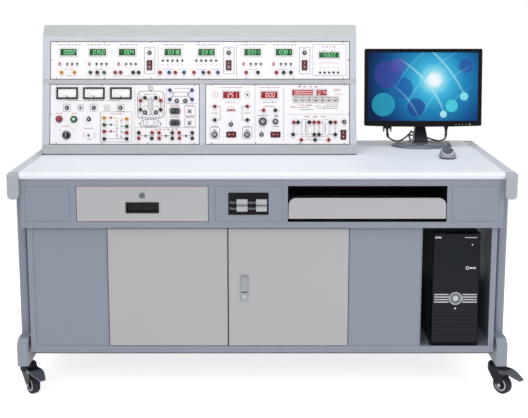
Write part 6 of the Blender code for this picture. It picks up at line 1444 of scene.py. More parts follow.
LEFT = Panel(
    node="lower_panel_left", left=-0.831, low=0.042, width=0.584, height=0.235,
    bores=[(36.2, 98.9, 12.2), (94.0, 98.0, 12.2), (64.8, 35.96, 3.4)],
    posts={
        "yellow": [(213, 103), (301, 99)], "green": [(213, 76), (301, 70)],
        "red": [(213, 50), (301, 45), (354.5, 171), (433, 171), (400, 45), (348, 23), (427, 45), (428, 23), (506, 45),
                (507, 23)],
        "black": [(213, 21), (301, 21), (354.5, 135), (433, 135), (348, 45), (399, 23), (479, 45), (479, 23), (557, 45),
                  (557, 23), (372, 181.9), (414, 181.9)],
        "blue": [(469, 212), (556, 212), (469, 175), (556, 175)],
    },
    pegs={
        "red": [(239, 104), (239, 51)], "green": [(239, 77)], "black": [(374, 33), (454, 33), (532, 33), (119, 143)],
    },
    fuses=[(66, 143), (171, 143), (276, 143), (152, 98), (372, 125), (414, 125), (496, 170), (529, 170)],
    lines=[
        *[box_line(x - 14, 129, x + 14, 157, GREY_INK, 0.7) for x in (66, 171, 276)],
        box_line(107, 131, 131, 155, GREY_INK, 0.6), ring_line(119, 143, 9, GREY_INK), ring_line(224, 143, 12, GREY_INK),
        Line([(215.5, 134.5), (232.5, 151.5)], GREY_INK), Line([(215.5, 151.5), (232.5, 134.5)], GREY_INK),
        Line([(68, 176), (68, 172), (121, 172)], GREY_INK), Line([(222, 172), (273, 172), (273, 176)], GREY_INK),
        ring_line(64.8, 36, 17.5, GREY_INK, 0.6),
        Line([(133, 24), (133, 47)], BLACK_INK), Line([(174, 24), (174, 47)], BLACK_INK),
        box_line(198, 9, 321, 127, GREY_INK),
        Line([(220, 103), (262, 103), (262, 97)], YELLOW_INK, width=1.4),
        Line([(220, 76), (262, 76), (262, 70)], GREEN_INK, width=1.2),
        Line([(220, 50), (262, 50), (262, 44)], RED_INK, width=1.2),
        Line([(220, 21), (294, 21)], BLUE_INK, width=1.0),
        *[Line([(262, low), (266, low + 3), (258, low + 6), (266, low + 9), (258, low + 12), (262, low + 15)], ink)
          for low, ink in ((80, YELLOW_INK), (54, GREEN_INK), (27, RED_INK))],
        Line([(262, 28), (262, 21)], GREY_INK), Line([(279, 104), (279, 21)], GREY_INK, width=0.6),
        *[ring_line(279, y, 3.2, ink, 0.8) for y, ink in ((92, RED_INK), (71, GREEN_INK), (49, GREEN_INK), (28, GREEN_INK))],
        Line([(282, 99), (294, 99)], YELLOW_INK), Line([(282, 70), (294, 70)], GREEN_INK),
        Line([(282, 45), (294, 45)], RED_INK),
        Line([(332, 12), (332, 222)], GREY_INK, width=0.6), Line([(332, 65), (576, 65)], GREY_INK, width=0.6),
        Line([(455, 65), (455, 222)], RED_INK, width=0.6), Line([(457, 160), (576, 160)], GREY_INK, width=0.6),
        Line([(352, 207), (358, 208), (434, 208), (440, 205), (447, 195), (447, 112), (438, 104), (346, 104),
              (343, 110), (343, 195)], GREY_INK, True, 1.3),
        Line([(362, 104), (360, 90), (352, 84), (354, 70), (432, 70), (432, 84), (424, 90), (422, 104)], GREY_INK,
             width=1.3),
        ring_line(394, 219, 9, GREY_INK, 1.2), ring_line(394, 219, 5, GREY_INK, 0.8),
        *[ring_line(x, 99, 4.2, GREY_INK, 0.9) for x in (377, 388, 399, 410)],
        Line([(350, 200), (350, 110)], RED_INK, width=0.6), Line([(440, 200), (440, 110)], RED_INK, width=0.6),
        Line([(345, 80), (361, 80)], BLACK_INK, width=1.0), Line([(425, 80), (441, 80)], BLACK_INK, width=1.0),
        Line([(372, 176), (384, 176), (384, 132)], GREY_INK, width=1.4),
        Line([(414, 176), (402, 176), (402, 132)], GREY_INK, width=1.4),
        Line([(391, 186), (391, 118)], GREY_INK, width=1.2), Line([(396, 186), (396, 118)], GREY_INK, width=1.2),
        *[arc_line(x, 112, 4.5, 0, 180, GREY_INK, 1.0) for x in (378, 388, 398, 408)],
        Line([(360, 190), (360, 168)], GREY_INK, width=0.8), Line([(428, 190), (428, 168)], GREY_INK, width=0.8),
        Line([(366, 119), (358, 108), (358, 100)], GREY_INK), Line([(420, 119), (430, 108), (430, 100)], GREY_INK),
        Line([(354, 164), (354, 142)], GREY_INK, width=1.2), Line([(433, 164), (433, 142)], GREY_INK, width=1.2),
        *[arc_line(x, 152, 4, 200, 380, GREY_INK, 0.8) for x in (366, 376, 412, 422)],
        box_line(366, 74, 420, 96, GREY_INK, 1.0), ring_line(380, 85, 4, GREY_INK), ring_line(408, 85, 4, GREY_INK),
        box_line(481, 188, 539, 204, GREY_INK), Line([(469, 212), (481, 200), (481, 190), (469, 175)], BLUE_INK, width=1.6),
        Line([(556, 212), (541, 200), (541, 190), (556, 175)], BLUE_INK, width=1.6),
        ring_line(489, 130, 22, GREY_INK, 0.6), ring_line(489, 84, 22, GREY_INK, 0.6),
        box_line(527, 112, 568, 149, GREY_INK), box_line(527, 68, 568, 105, GREY_INK),
        *[Line([(x + 5, 33), (x + 19, 33)], RED_INK, width=1.2) for x in (347, 427, 506)],
        *[Line([(x + 5, 33), (x + 19, 33)], BLACK_INK, width=1.2) for x in (374, 454, 532)],
        *[Line([(x, 40), (x, 28)], GREY_INK, width=1.0) for x in (348, 400, 427, 479, 507, 557)],
    ],
    captions=[
        Caption(173, 172, 7, 11.0, BLACK_INK), Caption(36, 121, 2, 14.0, RED_INK), Caption(94, 121, 2, 12.0, RED_INK),
        Caption(64, 71, 5, 6.5, RED_INK), Caption(38, 57, 1, 6.0, RED_INK), Caption(94, 57, 1, 6.0, GREY_INK),
        Caption(153, 61, 6, 6.5, RED_INK), Caption(153, 19, 4, 5.0, BLACK_INK), Caption(264, 119, 5, 11.0, RED_INK),
        Caption(392, 196, 7, 7.0, RED_INK), Caption(517, 219, 7, 8.5, RED_INK), Caption(489, 153, 7, 6.0, RED_INK),
        Caption(489, 107, 7, 6.0, RED_INK), Caption(547, 152, 4, 8.0, RED_INK), Caption(547, 108, 4, 8.0, RED_INK),
        Caption(455, 58, 6, 16.0, RED_INK), Caption(393, 66, 6, 8.0, GREY_INK), Caption(152, 109, 2, 4.0, GREY_INK),
    ],
    screws=[*rows(231, (24, 203, 383, 565)), *rows(4, (24, 203, 383, 565)), (4, 118)],
)

RIGHT = Panel(
    node="lower_panel_right", left=-0.222, low=0.042, width=0.563, height=0.235,
    windows=[(100.2, 38.07, 33.6, 17.1), (273.1, 38.07, 33.6, 17.1), (538.8, 36.9, 17.1, 33.6)],
    bores=[(34.9, 38.07, 3.4), (162.1, 38.07, 3.4), (223.5, 89.07, 3.4), (273.1, 89.07, 3.4)],
    displays=[
        Display(100.2, 193.4, 64, 26, "251", False, 0.62), Display(248.8, 193.4, 64, 26, "000", False, 0.62),
        Display(380, 202.1, 82, 22, "00000000", False, 0.92), Display(453.8, 202.1, 40, 22, "074", False, 0.86),
    ],
    posts={
        "red": [(36, 148), (163, 148), (227, 133), (345, 86), (424, 86), (442, 86), (507, 86), (374, 17), (481, 17)],
        "black": [(36, 95), (163, 95), (273, 133), (361.5, 86), (406, 86), (488, 86), (342, 38), (424.5, 38),
                  (443, 38), (507, 38), (428, 17)],
    },
    pegs={"red": [(90, 134), (100, 134), (110, 134)]},
    fuses=[(99, 78), (219, 38), (542, 88)],
    lines=[
        ring_line(37, 194, 11, RED_INK, 0.8), ring_line(163, 194, 11, GREY_INK, 0.8), ring_line(163, 194, 2, BLACK_INK, 3),
        Line([(34, 199), (37, 190), (40, 199)], RED_INK, width=0.7),
        Line([(43, 148), (57, 148), (57, 95), (43, 95)], BLACK_INK), Line([(156, 148), (142, 148), (142, 95), (156, 95)],
                                                                         BLACK_INK),
        Line([(20, 148), (29, 148)], RED_INK), Line([(170, 148), (179, 148)], RED_INK),
        Line([(20, 95), (29, 95)], BLACK_INK), Line([(170, 95), (179, 95)], BLACK_INK),
        Line([(88, 146), (112, 146)], RED_INK, width=0.7), Line([(84, 130), (80, 130)], BLACK_INK, width=2.2),
        Line([(116, 130), (120, 130)], BLACK_INK, width=2.2),
        box_line(18, 23, 54, 67, GREY_INK), box_line(145, 23, 181, 67, GREY_INK),
        *[arc_line(x, 50, 7, 35, 145, BLACK_INK, 1.8) for x in (35, 162)], arc_line(276, 104, 8, 20, 150, BLACK_INK, 2.0),
        *[Line([(223.5 + 17 * math.cos(t), 89 + 17 * math.sin(t)), (223.5 + 20 * math.cos(t), 89 + 20 * math.sin(t))],
               BLACK_INK, width=1.0) for t in [math.radians(a) for a in range(-40, 221, 26)]],
        Line([(193, 8), (193, 222)], BLACK_INK, width=0.6), Line([(306, 12), (306, 222)], GREY_INK, width=0.8),
        Line([(230, 143), (230, 149), (270, 149), (270, 143)], RED_INK, width=0.7),
        Line([(207, 133), (217, 133)], RED_INK), Line([(283, 133), (290, 133)], BLACK_INK),
        Line([(318, 118), (548, 118)], GREY_INK, width=0.6),
        *[Line([(340, y), (522, y)], GREY_INK, width=0.5) for y in (187, 176, 165)],
        *[Line([(x, 187), (x, 165)], GREY_INK, width=0.5) for x in range(340, 523, 26)],
        *[Line([(x, 183.5), (x + 14, 183.5)], BLACK_INK, width=1.0) for x in range(346, 517, 26)],
        *[Line([(x, 171), (x + 9, 173)], GREY_INK, width=2.4) for x in range(348, 517, 26)],
        *[Line([(x, 169), (x + 15, 169)], GREY_INK, width=1.0) for x in range(346, 517, 26)],
        *[Line([(500 + x, 207 + y), (508 + x, 207 + y)], RED_INK, width=0.8) for x in (0, 12) for y in (0, 5, 10)],
        Line([(352, 86), (376, 86), (376, 40), (350, 40)], GREY_INK), Line([(400, 86), (392, 86), (392, 40), (418, 40)],
                                                                          GREY_INK),
        box_line(376, 36, 400, 96, GREY_INK, 0.8), box_line(459, 36, 483, 96, GREY_INK, 0.8),
        *[arc_line(388, y, 5, -90, 90, GREY_INK, 1.0) for y in (50, 60, 70, 80)],
        *[arc_line(471, y, 5, 90, 270, GREY_INK, 1.0) for y in (50, 60, 70, 80)],
        Line([(450, 38), (459, 38)], GREY_INK), Line([(450, 86), (459, 86)], GREY_INK),
        Line([(483, 86), (500, 86)], GREY_INK), Line([(483, 38), (500, 38)], GREY_INK),
        *[Line([(x, 79), (x, 68), (x + 3, 64), (x, 60), (x, 45)], GREY_INK, width=0.8) for x in (343, 424, 443, 506)],
        Line([(381, 17), (421, 17)], GREY_INK, width=0.7), Line([(435, 17), (474, 17)], GREY_INK, width=0.7),
        Line([(374, 24), (374, 30), (481, 30), (481, 24)], RED_INK, width=0.7),
    ],
    captions=[
        Caption(100, 222, 8, 11.0, RED_INK), Caption(250, 222, 8, 9.5, RED_INK), Caption(96, 165, 4, 10.5, BLACK_INK),
        Caption(250, 165, 5, 11.0, BLACK_INK), Caption(36, 122, 6, 4.6, BLACK_INK), Caption(163, 122, 6, 4.6, BLACK_INK),
        Caption(248, 149, 4, 7.0, BLACK_INK), Caption(35, 69, 5, 5.5, BLACK_INK), Caption(162, 69, 5, 5.5, BLACK_INK),
        Caption(222, 112, 4, 10.0, BLACK_INK), Caption(223, 70, 4, 6.0, BLACK_INK), Caption(273, 70, 4, 6.0, BLACK_INK),
        Caption(100, 26, 2, 10.0, RED_INK), Caption(100, 51, 2, 10.0, RED_INK), Caption(273, 25, 3, 6.0, RED_INK),
        Caption(340, 148, 4, 5.5, RED_INK), Caption(370, 154, 5, 5.5, RED_INK), Caption(404, 154, 5, 4.6, BLACK_INK),
        Caption(383, 144, 9, 5.5, GREY_INK), Caption(440, 150, 5, 5.5, BLACK_INK), Caption(492, 154, 10, 5.4, GREY_INK),
        Caption(486, 147, 10, 5.4, BLACK_INK), Caption(345, 143, 5, 5.0, RED_INK), Caption(398, 152, 8, 5.2, RED_INK), Caption(447, 142, 6, 5.0, BLACK_INK),
        Caption(396, 136, 12, 4.6, BLACK_INK), Caption(489, 140, 13, 4.6, BLACK_INK), Caption(431, 177, 34, 5.3, RED_INK),
        Caption(399, 225, 4, 22.0, RED_INK), Caption(428, 108, 3, 32.0, RED_INK),
        Caption(99, 91, 2, 4.0, GREY_INK), Caption(218, 51, 2, 4.0, GREY_INK), Caption(542, 76, 2, 4.0, GREY_INK),
        Caption(403, 23, 3, 5.0, BLACK_INK), Caption(431, 181.5, 25, 7.2, GREY_INK), Caption(431, 170.5, 25, 7.2, BLACK_INK),
        Caption(431, 162, 24, 7.4, GREY_INK), Caption(518, 213, 4, 6.0, BLACK_INK), Caption(518, 196, 5, 6.0, RED_INK),
    ],
    screws=[*rows(231, (24, 195, 369, 542)), *rows(4, (24, 195, 369, 542)), (558.5, 118)],
)


@dataclass
class InstrumentConsole:
    """The leaning console with its three boards.

    Attributes:
        meter_width: width of a moving-coil meter in metres.
        meter_height: its height.
        meter_rise: how far it stands off the board.
        meter_rim: width of its frame.
        ring_radius: radius of the collars round the two push buttons.
        ring_height: their height.
        table: height of the worktop that the console stands on.
    """

    stamps: StampTree
    meter_width: float = 0.084
    meter_height: float = 0.046
    meter_rise: float = 0.007
    meter_rim: float = 0.006
    ring_radius: float = 0.015
    ring_height: float = 0.004
    table: float = 0.8463

    def build(self) -> None:
        """Builds the boards, their prints and their fittings."""
        repaint(CONSOLE_STEEL, "console_case")
        repaint(DEEP_RED_ABS, "meter_rocker_a", "meter_rocker_b", "meter_rocker_c", "generator_rocker",
                "supply_rocker_dc", "current_rocker")
        repaint(KNOB_ABS, "level_knob_left", "level_knob_right", "range_knob", "fine_knob")
        repaint(BLACK_ABS, "key_switch")
        repaint(STOP_ABS, "stop_button")
        repaint(GREEN_ABS, "start_button")
        for panel in (UPPER, LEFT, RIGHT):
            panel.board()
            panel.print_on()
            panel.fill_displays()
        self.stamp_fittings()
        self.meters()
        self.collars()
        self.sockets()
        self.switch_frames()
        self.shade_lines()
        self.knob_marks()
        self.rocker_marks()

    def rocker_marks(self) -> None:
        """Moulds a bar and a ring, for on and off, into the two halves of each red rocker."""
        inward = -FACE.to_3x3().col[2]
        ring = [(0.0018 * math.cos(math.pi * step / 8), 0.0018 * math.sin(math.pi * step / 8)) for step in range(16)]
        for node, panel, x, y, across in (
            ("meter_rocker_a", UPPER, 387.6, 55.06, False), ("meter_rocker_b", UPPER, 697.9, 55.06, False),
            ("meter_rocker_c", UPPER, 995.35, 55.06, False), ("supply_rocker_dc", RIGHT, 100.2, 38.07, True),
            ("current_rocker", RIGHT, 273.1, 38.07, True), ("generator_rocker", RIGHT, 538.8, 36.9, False),
        ):
            shape = Shape()
            for step in (-8.0, 8.0):
                start = panel.spot(x + (step if across else 0.0), y + (0.0 if across else step), 0.03)
                _, point, normal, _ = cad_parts[node].ray_cast(start, inward)
                place = Matrix.Translation(point) @ normal.to_track_quat("Z", "Y").to_matrix().to_4x4()
                if step > 0:
                    shape.block((-0.0008, -0.0024, -0.0002), (0.0008, 0.0024, 0.0003), 0.0, place)
                else:
                    shape.ribbon(ring, 0.0010, -0.0002, 0.0003, True, place)
            fit(node + "_marks", shape.mesh(node + "_marks"), [WHITE_INK], node + "_body")

    def gather(self, places: str) -> list[Vector]:
        """Returns the world's points of one kind of place on all three boards."""
        found = []
        for panel in (UPPER, LEFT, RIGHT):
            for x, y in getattr(panel, places):
                found.append(panel.spot(x, y))
        return found

    def stamp_fittings(self) -> None:
        """Stamps binding posts, contacts, small buttons, fuse holders and screws."""
        contacts = []
        for colour, finish in PLASTICS.items():
            posts = []
            pegs = []
            for panel in (UPPER, LEFT, RIGHT):
                posts += [panel.spot(x, y) for x, y in panel.posts.get(colour, ())]
                pegs += [panel.spot(x, y) for x, y in panel.pegs.get(colour, ())]
            contacts += posts
            if posts:
                shape = Shape().turned(Fittings.post_profile, 20)
                self.stamps.stamp("posts_" + colour, posts, shape, FACE_TURN, finish, Body.BENCH, "panel_board")
            if pegs:
                shape = Shape().turned(Fittings.peg_profile, 12)
                self.stamps.stamp("pegs_" + colour, pegs, shape, FACE_TURN, finish, Body.BENCH, "panel_board")
        shape = Shape().turned(Fittings.contact_profile, 14)
        self.stamps.stamp("post_contacts", contacts, shape, FACE_TURN, BRASS, Body.BENCH, "panel_board")
        fuses = self.gather("fuses")
        shape = Shape().turned(Fittings.fuse_profile, 24)
        self.stamps.stamp("fuse_collars", fuses, shape, FACE_TURN, BLACK_ABS, Body.BENCH, "panel_board")
        shape = Shape().turned(Fittings.core_profile, 16)
        self.stamps.stamp("fuse_cores", fuses, shape, FACE_TURN, SILVER_TRIM, Body.BENCH, "panel_board")
        self.stamps.stamp(
            "board_screws", self.gather("screws"), Fittings.screw(), FACE_TURN, SCREW_ZINC, Body.BENCH, "panel_board",
            math.pi / 2,
        )

    def meters(self) -> None:
        """Makes the three moving-coil meters with their frames, dials, scales and needles."""
        frames, dials, marks, needles = Shape(), Shape(), Shape(), Shape()
        half = self.meter_width / 2
        tall = self.meter_height / 2
        rim = self.meter_rim
        for x in (67.2, 171.7, 277.4):
            centre = LEFT.local(x, 200)
            place = Matrix.Translation((*centre, -SUNK))
            line = [(-half + rim / 2, -tall + rim / 2), (half - rim / 2, -tall + rim / 2),
                    (half - rim / 2, tall - rim / 2), (-half + rim / 2, tall - rim / 2)]
            frames.ribbon(line, rim, -0.001, self.meter_rise - 0.0002, True, place)
            inner = 0.0005 + rim
            dials.block((inner - half, inner - tall, -0.0005), (half - inner, tall - inner, 0.0032), 0.0002, place)
            foot = (0.0, -0.0135)
            for step in range(21):
                turn = math.radians(145 - step * 5.5)
                long = 0.0035 if step % 5 == 0 else 0.0018
                ends = []
                for reach in (0.0235, 0.0235 + long):
                    ends.append((foot[0] + 1.25 * reach * math.cos(turn), foot[1] + reach * math.sin(turn)))
                marks.ribbon(ends, 0.0005, 0.0031, 0.0033, False, place)
            scale = []
            for step in range(21):
                turn = math.radians(145 - step * 5.5)
                scale.append((foot[0] + 1.25 * 0.0232 * math.cos(turn), foot[1] + 0.0232 * math.sin(turn)))
            marks.ribbon(scale, 0.0004, 0.0031, 0.0033, False, place)
            marks.ribbon([(-0.002, -0.008), (0.002, -0.008)], 0.003, 0.0031, 0.0033, False, place)
            way = math.radians(143)
            tip = (foot[0] + 1.25 * 0.0245 * math.cos(way), foot[1] + 0.0245 * math.sin(way))
            needles.ribbon([foot, tip], 0.0005, 0.0040, 0.0043, False, place)
            needles.turned(((0.0, 0.0030), (0.0025, 0.0030), (0.0025, 0.0044), (0.0, 0.0050)), 16,
                           place @ Matrix.Translation((foot[0], foot[1], 0.0)))
        for name, shape, finish in (
            ("meter_frames", frames, BLACK_ABS), ("meter_dials", dials, DIAL_CARD), ("meter_scales", marks, FAINT_INK),
            ("meter_needles", needles, GREY_INK),
        ):
            mesh = shape.mesh(name)
            mesh.transform(FACE)
            fit(name, mesh, [finish], Body.BENCH)

    def collars(self) -> None:
        """Makes the bright collars round the push buttons and the key switch."""
        shape = Shape()
        inner = 0.0122
        outer = self.ring_radius
        high = self.ring_height
        for x, y in ((36.2, 98.9), (94.0, 98.0)):
            place = Matrix.Translation((*LEFT.local(x, y), -SUNK))
            shape.turned(
                ((inner, -0.001), (inner, high - 0.0008), (inner + 0.0006, high), (outer - 0.0012, high - 0.0002),
                 (outer, high - 0.0016), (outer, -0.001)), 40, place,
            )
        mesh = shape.mesh("button_collars")
        mesh.transform(FACE)
        fit("button_collars", mesh, [CHROME], Body.BENCH)

    def sockets(self) -> None:
        """Makes the two-pole sockets, the toggle and the two cross-shaped selector levers."""
        shells, faces = Shape(), Shape()
        for y in (130, 84):
            place = Matrix.Translation((*LEFT.local(488.8, y), -SUNK))
            outline = []
            for side, start in ((1, -90), (-1, 90)):
                for step in range(9):
                    turn = math.radians(start + 180 * step / 8)
                    outline.append((side * 0.0095 + 0.0135 * math.cos(turn), 0.0148 * math.sin(turn)))
            shells.prism(outline, -0.001, 0.0018, 0.0008, place, 0)
            block = [(-0.015, -0.009), (0.015, -0.009), (0.015, 0.006), (0.011, 0.010), (-0.011, 0.010), (-0.015, 0.006)]
            faces.prism(block, 0.0010, 0.0028, 0.0005, place, 0)
            for x in (-0.0065, 0.0065):
                shells.block((x - 0.0012, -0.0035, 0.0020), (x + 0.0012, 0.0035, 0.0030), 0.0, place, 0)
        levers = Shape()
        nuts = Shape()
        for x, y in ((151.3, 36.0), (546.0, 130.0), (546.0, 83.9)):
            place = Matrix.Translation((*LEFT.local(x, y), -SUNK))
            nuts.turned(((0.0, -0.001), (0.0052, -0.001), (0.0052, 0.0022), (0.0040, 0.0030), (0.0, 0.0030)), 6, place)
            tilt = place @ Matrix.Rotation(math.radians(12), 4, "X")
            levers.turned(((0.0, 0.0010), (0.0018, 0.0010), (0.0016, 0.0080), (0.0028, 0.0125), (0.0020, 0.0138),
                           (0.0, 0.0140)), 14, tilt)
        for x, y in ((546.0, 130.0), (546.0, 83.9)):
            place = Matrix.Translation((*LEFT.local(x, y), -SUNK))
            for turn in (math.pi / 4, -math.pi / 4):
                faces.block((-0.0098, -0.0017, 0.0002), (0.0098, 0.0017, 0.0016), 0.0003,
                            place @ Matrix.Rotation(turn, 4, "Z"))
        for name, shape, finish, slot in (
            ("socket_shells", shells, GREY_ABS, "panel_board"), ("socket_faces", faces, BLACK_ABS, "black_plastic"),
            ("toggle_levers", levers, BLACK_ABS, "black_plastic"), ("toggle_nuts", nuts, SCREW_ZINC, "lock_chrome"),
        ):
            mesh = shape.mesh(name)
            mesh.transform(FACE)
            fit(name, mesh, [finish], Body.BENCH)

    def switch_frames(self) -> None:
        """Makes the black frames round the rocker switches."""
        shape = Shape()
        for panel in (UPPER, RIGHT):
            for x, y, width, height in panel.windows:
                place = Matrix.Translation((*panel.local(x, y), -SUNK))
                half = width * MM / 2 + 0.0012
                tall = height * MM / 2 + 0.0012
                line = [(-half, -tall), (half, -tall), (half, tall), (-half, tall)]
                shape.ribbon(line, 0.0028, -0.0010, 0.0014, True, place)
        mesh = shape.mesh("switch_frames")
        mesh.transform(FACE)
        fit("switch_frames", mesh, [BLACK_ABS], Body.BENCH)

    def shade_lines(self) -> None:
        """Makes thin dark bands of painted shade round the boards and along the console's foot, and the rubber corner
        foot under it.
        """
        shape = Shape()
        for panel in (UPPER, LEFT, RIGHT):
            left, low = panel.local(0, 0)
            right, high = panel.local(panel.width / MM, panel.height / MM)
            line = [(left, low), (right, low), (right, high), (left, high)]
            shape.ribbon(line, 0.0026, -0.0020, 0.0003, True, FACE)
        fit("board_seals", shape.mesh("board_seals"), [DARK_RUBBER_AND_SHADE], Body.BENCH)
        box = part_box("console_case")
        front = FACE.translation.y
        strip = Shape().block(
            (box[0].x + 0.002, front + 0.0002, self.table), (box[1].x - 0.002, front + 0.009, self.table + 0.0034), 0.0004,
        )
        strip.block(
            (box[0].x + 0.0004, front - 0.0006, self.table), (box[0].x + 0.0085, front + 0.018, self.table + 0.0062),
            0.0008,
        )
        fit("console_foot_strip", strip.mesh("console_foot_strip"), [DARK_RUBBER_AND_SHADE], Body.BENCH)

    def knob_marks(self) -> None:
        """Makes dark skirts under the knobs, a pointer on each, the key switch's ring and the pale glowing lens on the
        start button, a painted highlight.
        """
        skirts = Shape()
        for node, x, y, radius in (
            ("level_knob_left", 34.9, 38.07, 0.0100), ("level_knob_right", 162.1, 38.07, 0.0100),
            ("range_knob", 223.5, 89.07, 0.0130), ("fine_knob", 273.1, 89.07, 0.0090),
        ):
            place = Matrix.Translation((*RIGHT.local(x, y), -SUNK))
            skirts.turned(
                ((radius - 0.0030, 0.00012), (radius - 0.0030, 0.0006), (radius + 0.0022, 0.0006), (radius + 0.0026, 0.00012)),
                36, place,
            )
            turn = place @ Matrix.Rotation(math.radians(-35), 4, "Z")
            share = 0.62 if node == "range_knob" else 0.74
            cap = Shape().turned(
                ((0.0, 0.0128), (radius * share, 0.0128), (radius * share, 0.0146), (radius * share - 0.0006, 0.0152),
                 (0.0, 0.0152)), 32, turn, 0,
            )
            cap.block((-0.0007, radius * 0.05, 0.0148), (0.0007, radius * share - 0.0008, 0.0155), 0.0, turn, 1)
            mesh = cap.mesh(node + "_cap")
            mesh.transform(FACE)
            fit(node + "_cap", mesh, [KNOB_CAP, BLACK_INK], node + "_body")
        mesh = skirts.mesh("knob_skirts")
        mesh.transform(FACE)
        fit("knob_skirts", mesh, [BLACK_ABS], Body.BENCH)
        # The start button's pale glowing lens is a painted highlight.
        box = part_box("start_button")
        middle = FACE.inverted() @ ((box[0] + box[1]) / 2)
        top = (FACE.inverted() @ Vector(((box[0].x + box[1].x) / 2, box[0].y, (box[0].z + box[1].z) / 2))).z
        lens = Shape().turned(
            ((0.0, top - 0.0030), (0.0052, top - 0.0030), (0.0050, top + 0.0002), (0.0036, top + 0.0010), (0.0, top + 0.0012)),
            28, Matrix.Translation((middle.x, middle.y, 0.0)),
        )
        mesh = lens.mesh("start_button_lens")
        mesh.transform(FACE)
        fit("start_button_lens", mesh, [START_HIGHLIGHT_LENS], "start_button_body")
        ring = Shape().turned(
            ((0.0142, -0.0008), (0.0142, 0.0016), (0.0150, 0.0022), (0.0168, 0.0018), (0.0172, 0.0008), (0.0172, -0.0008)),
            40, Matrix.Translation((*LEFT.local(64.8, 35.96), -SUNK)),
        )
        grip = Shape().block(
            (-0.0017, -0.0104, 0.0165), (0.0017, 0.0104, 0.0186), 0.0004,
            Matrix.Translation((*LEFT.local(64.8, 35.96), -SUNK)),
        )
        mesh = grip.mesh("key_grip_plate")
        mesh.transform(FACE)
        fit("key_grip_plate", mesh, [CHROME], "key_switch_body")
        mesh = ring.mesh("key_switch_ring")
        mesh.transform(FACE)
        fit("key_switch_ring", mesh, [CHROME], Body.BENCH)


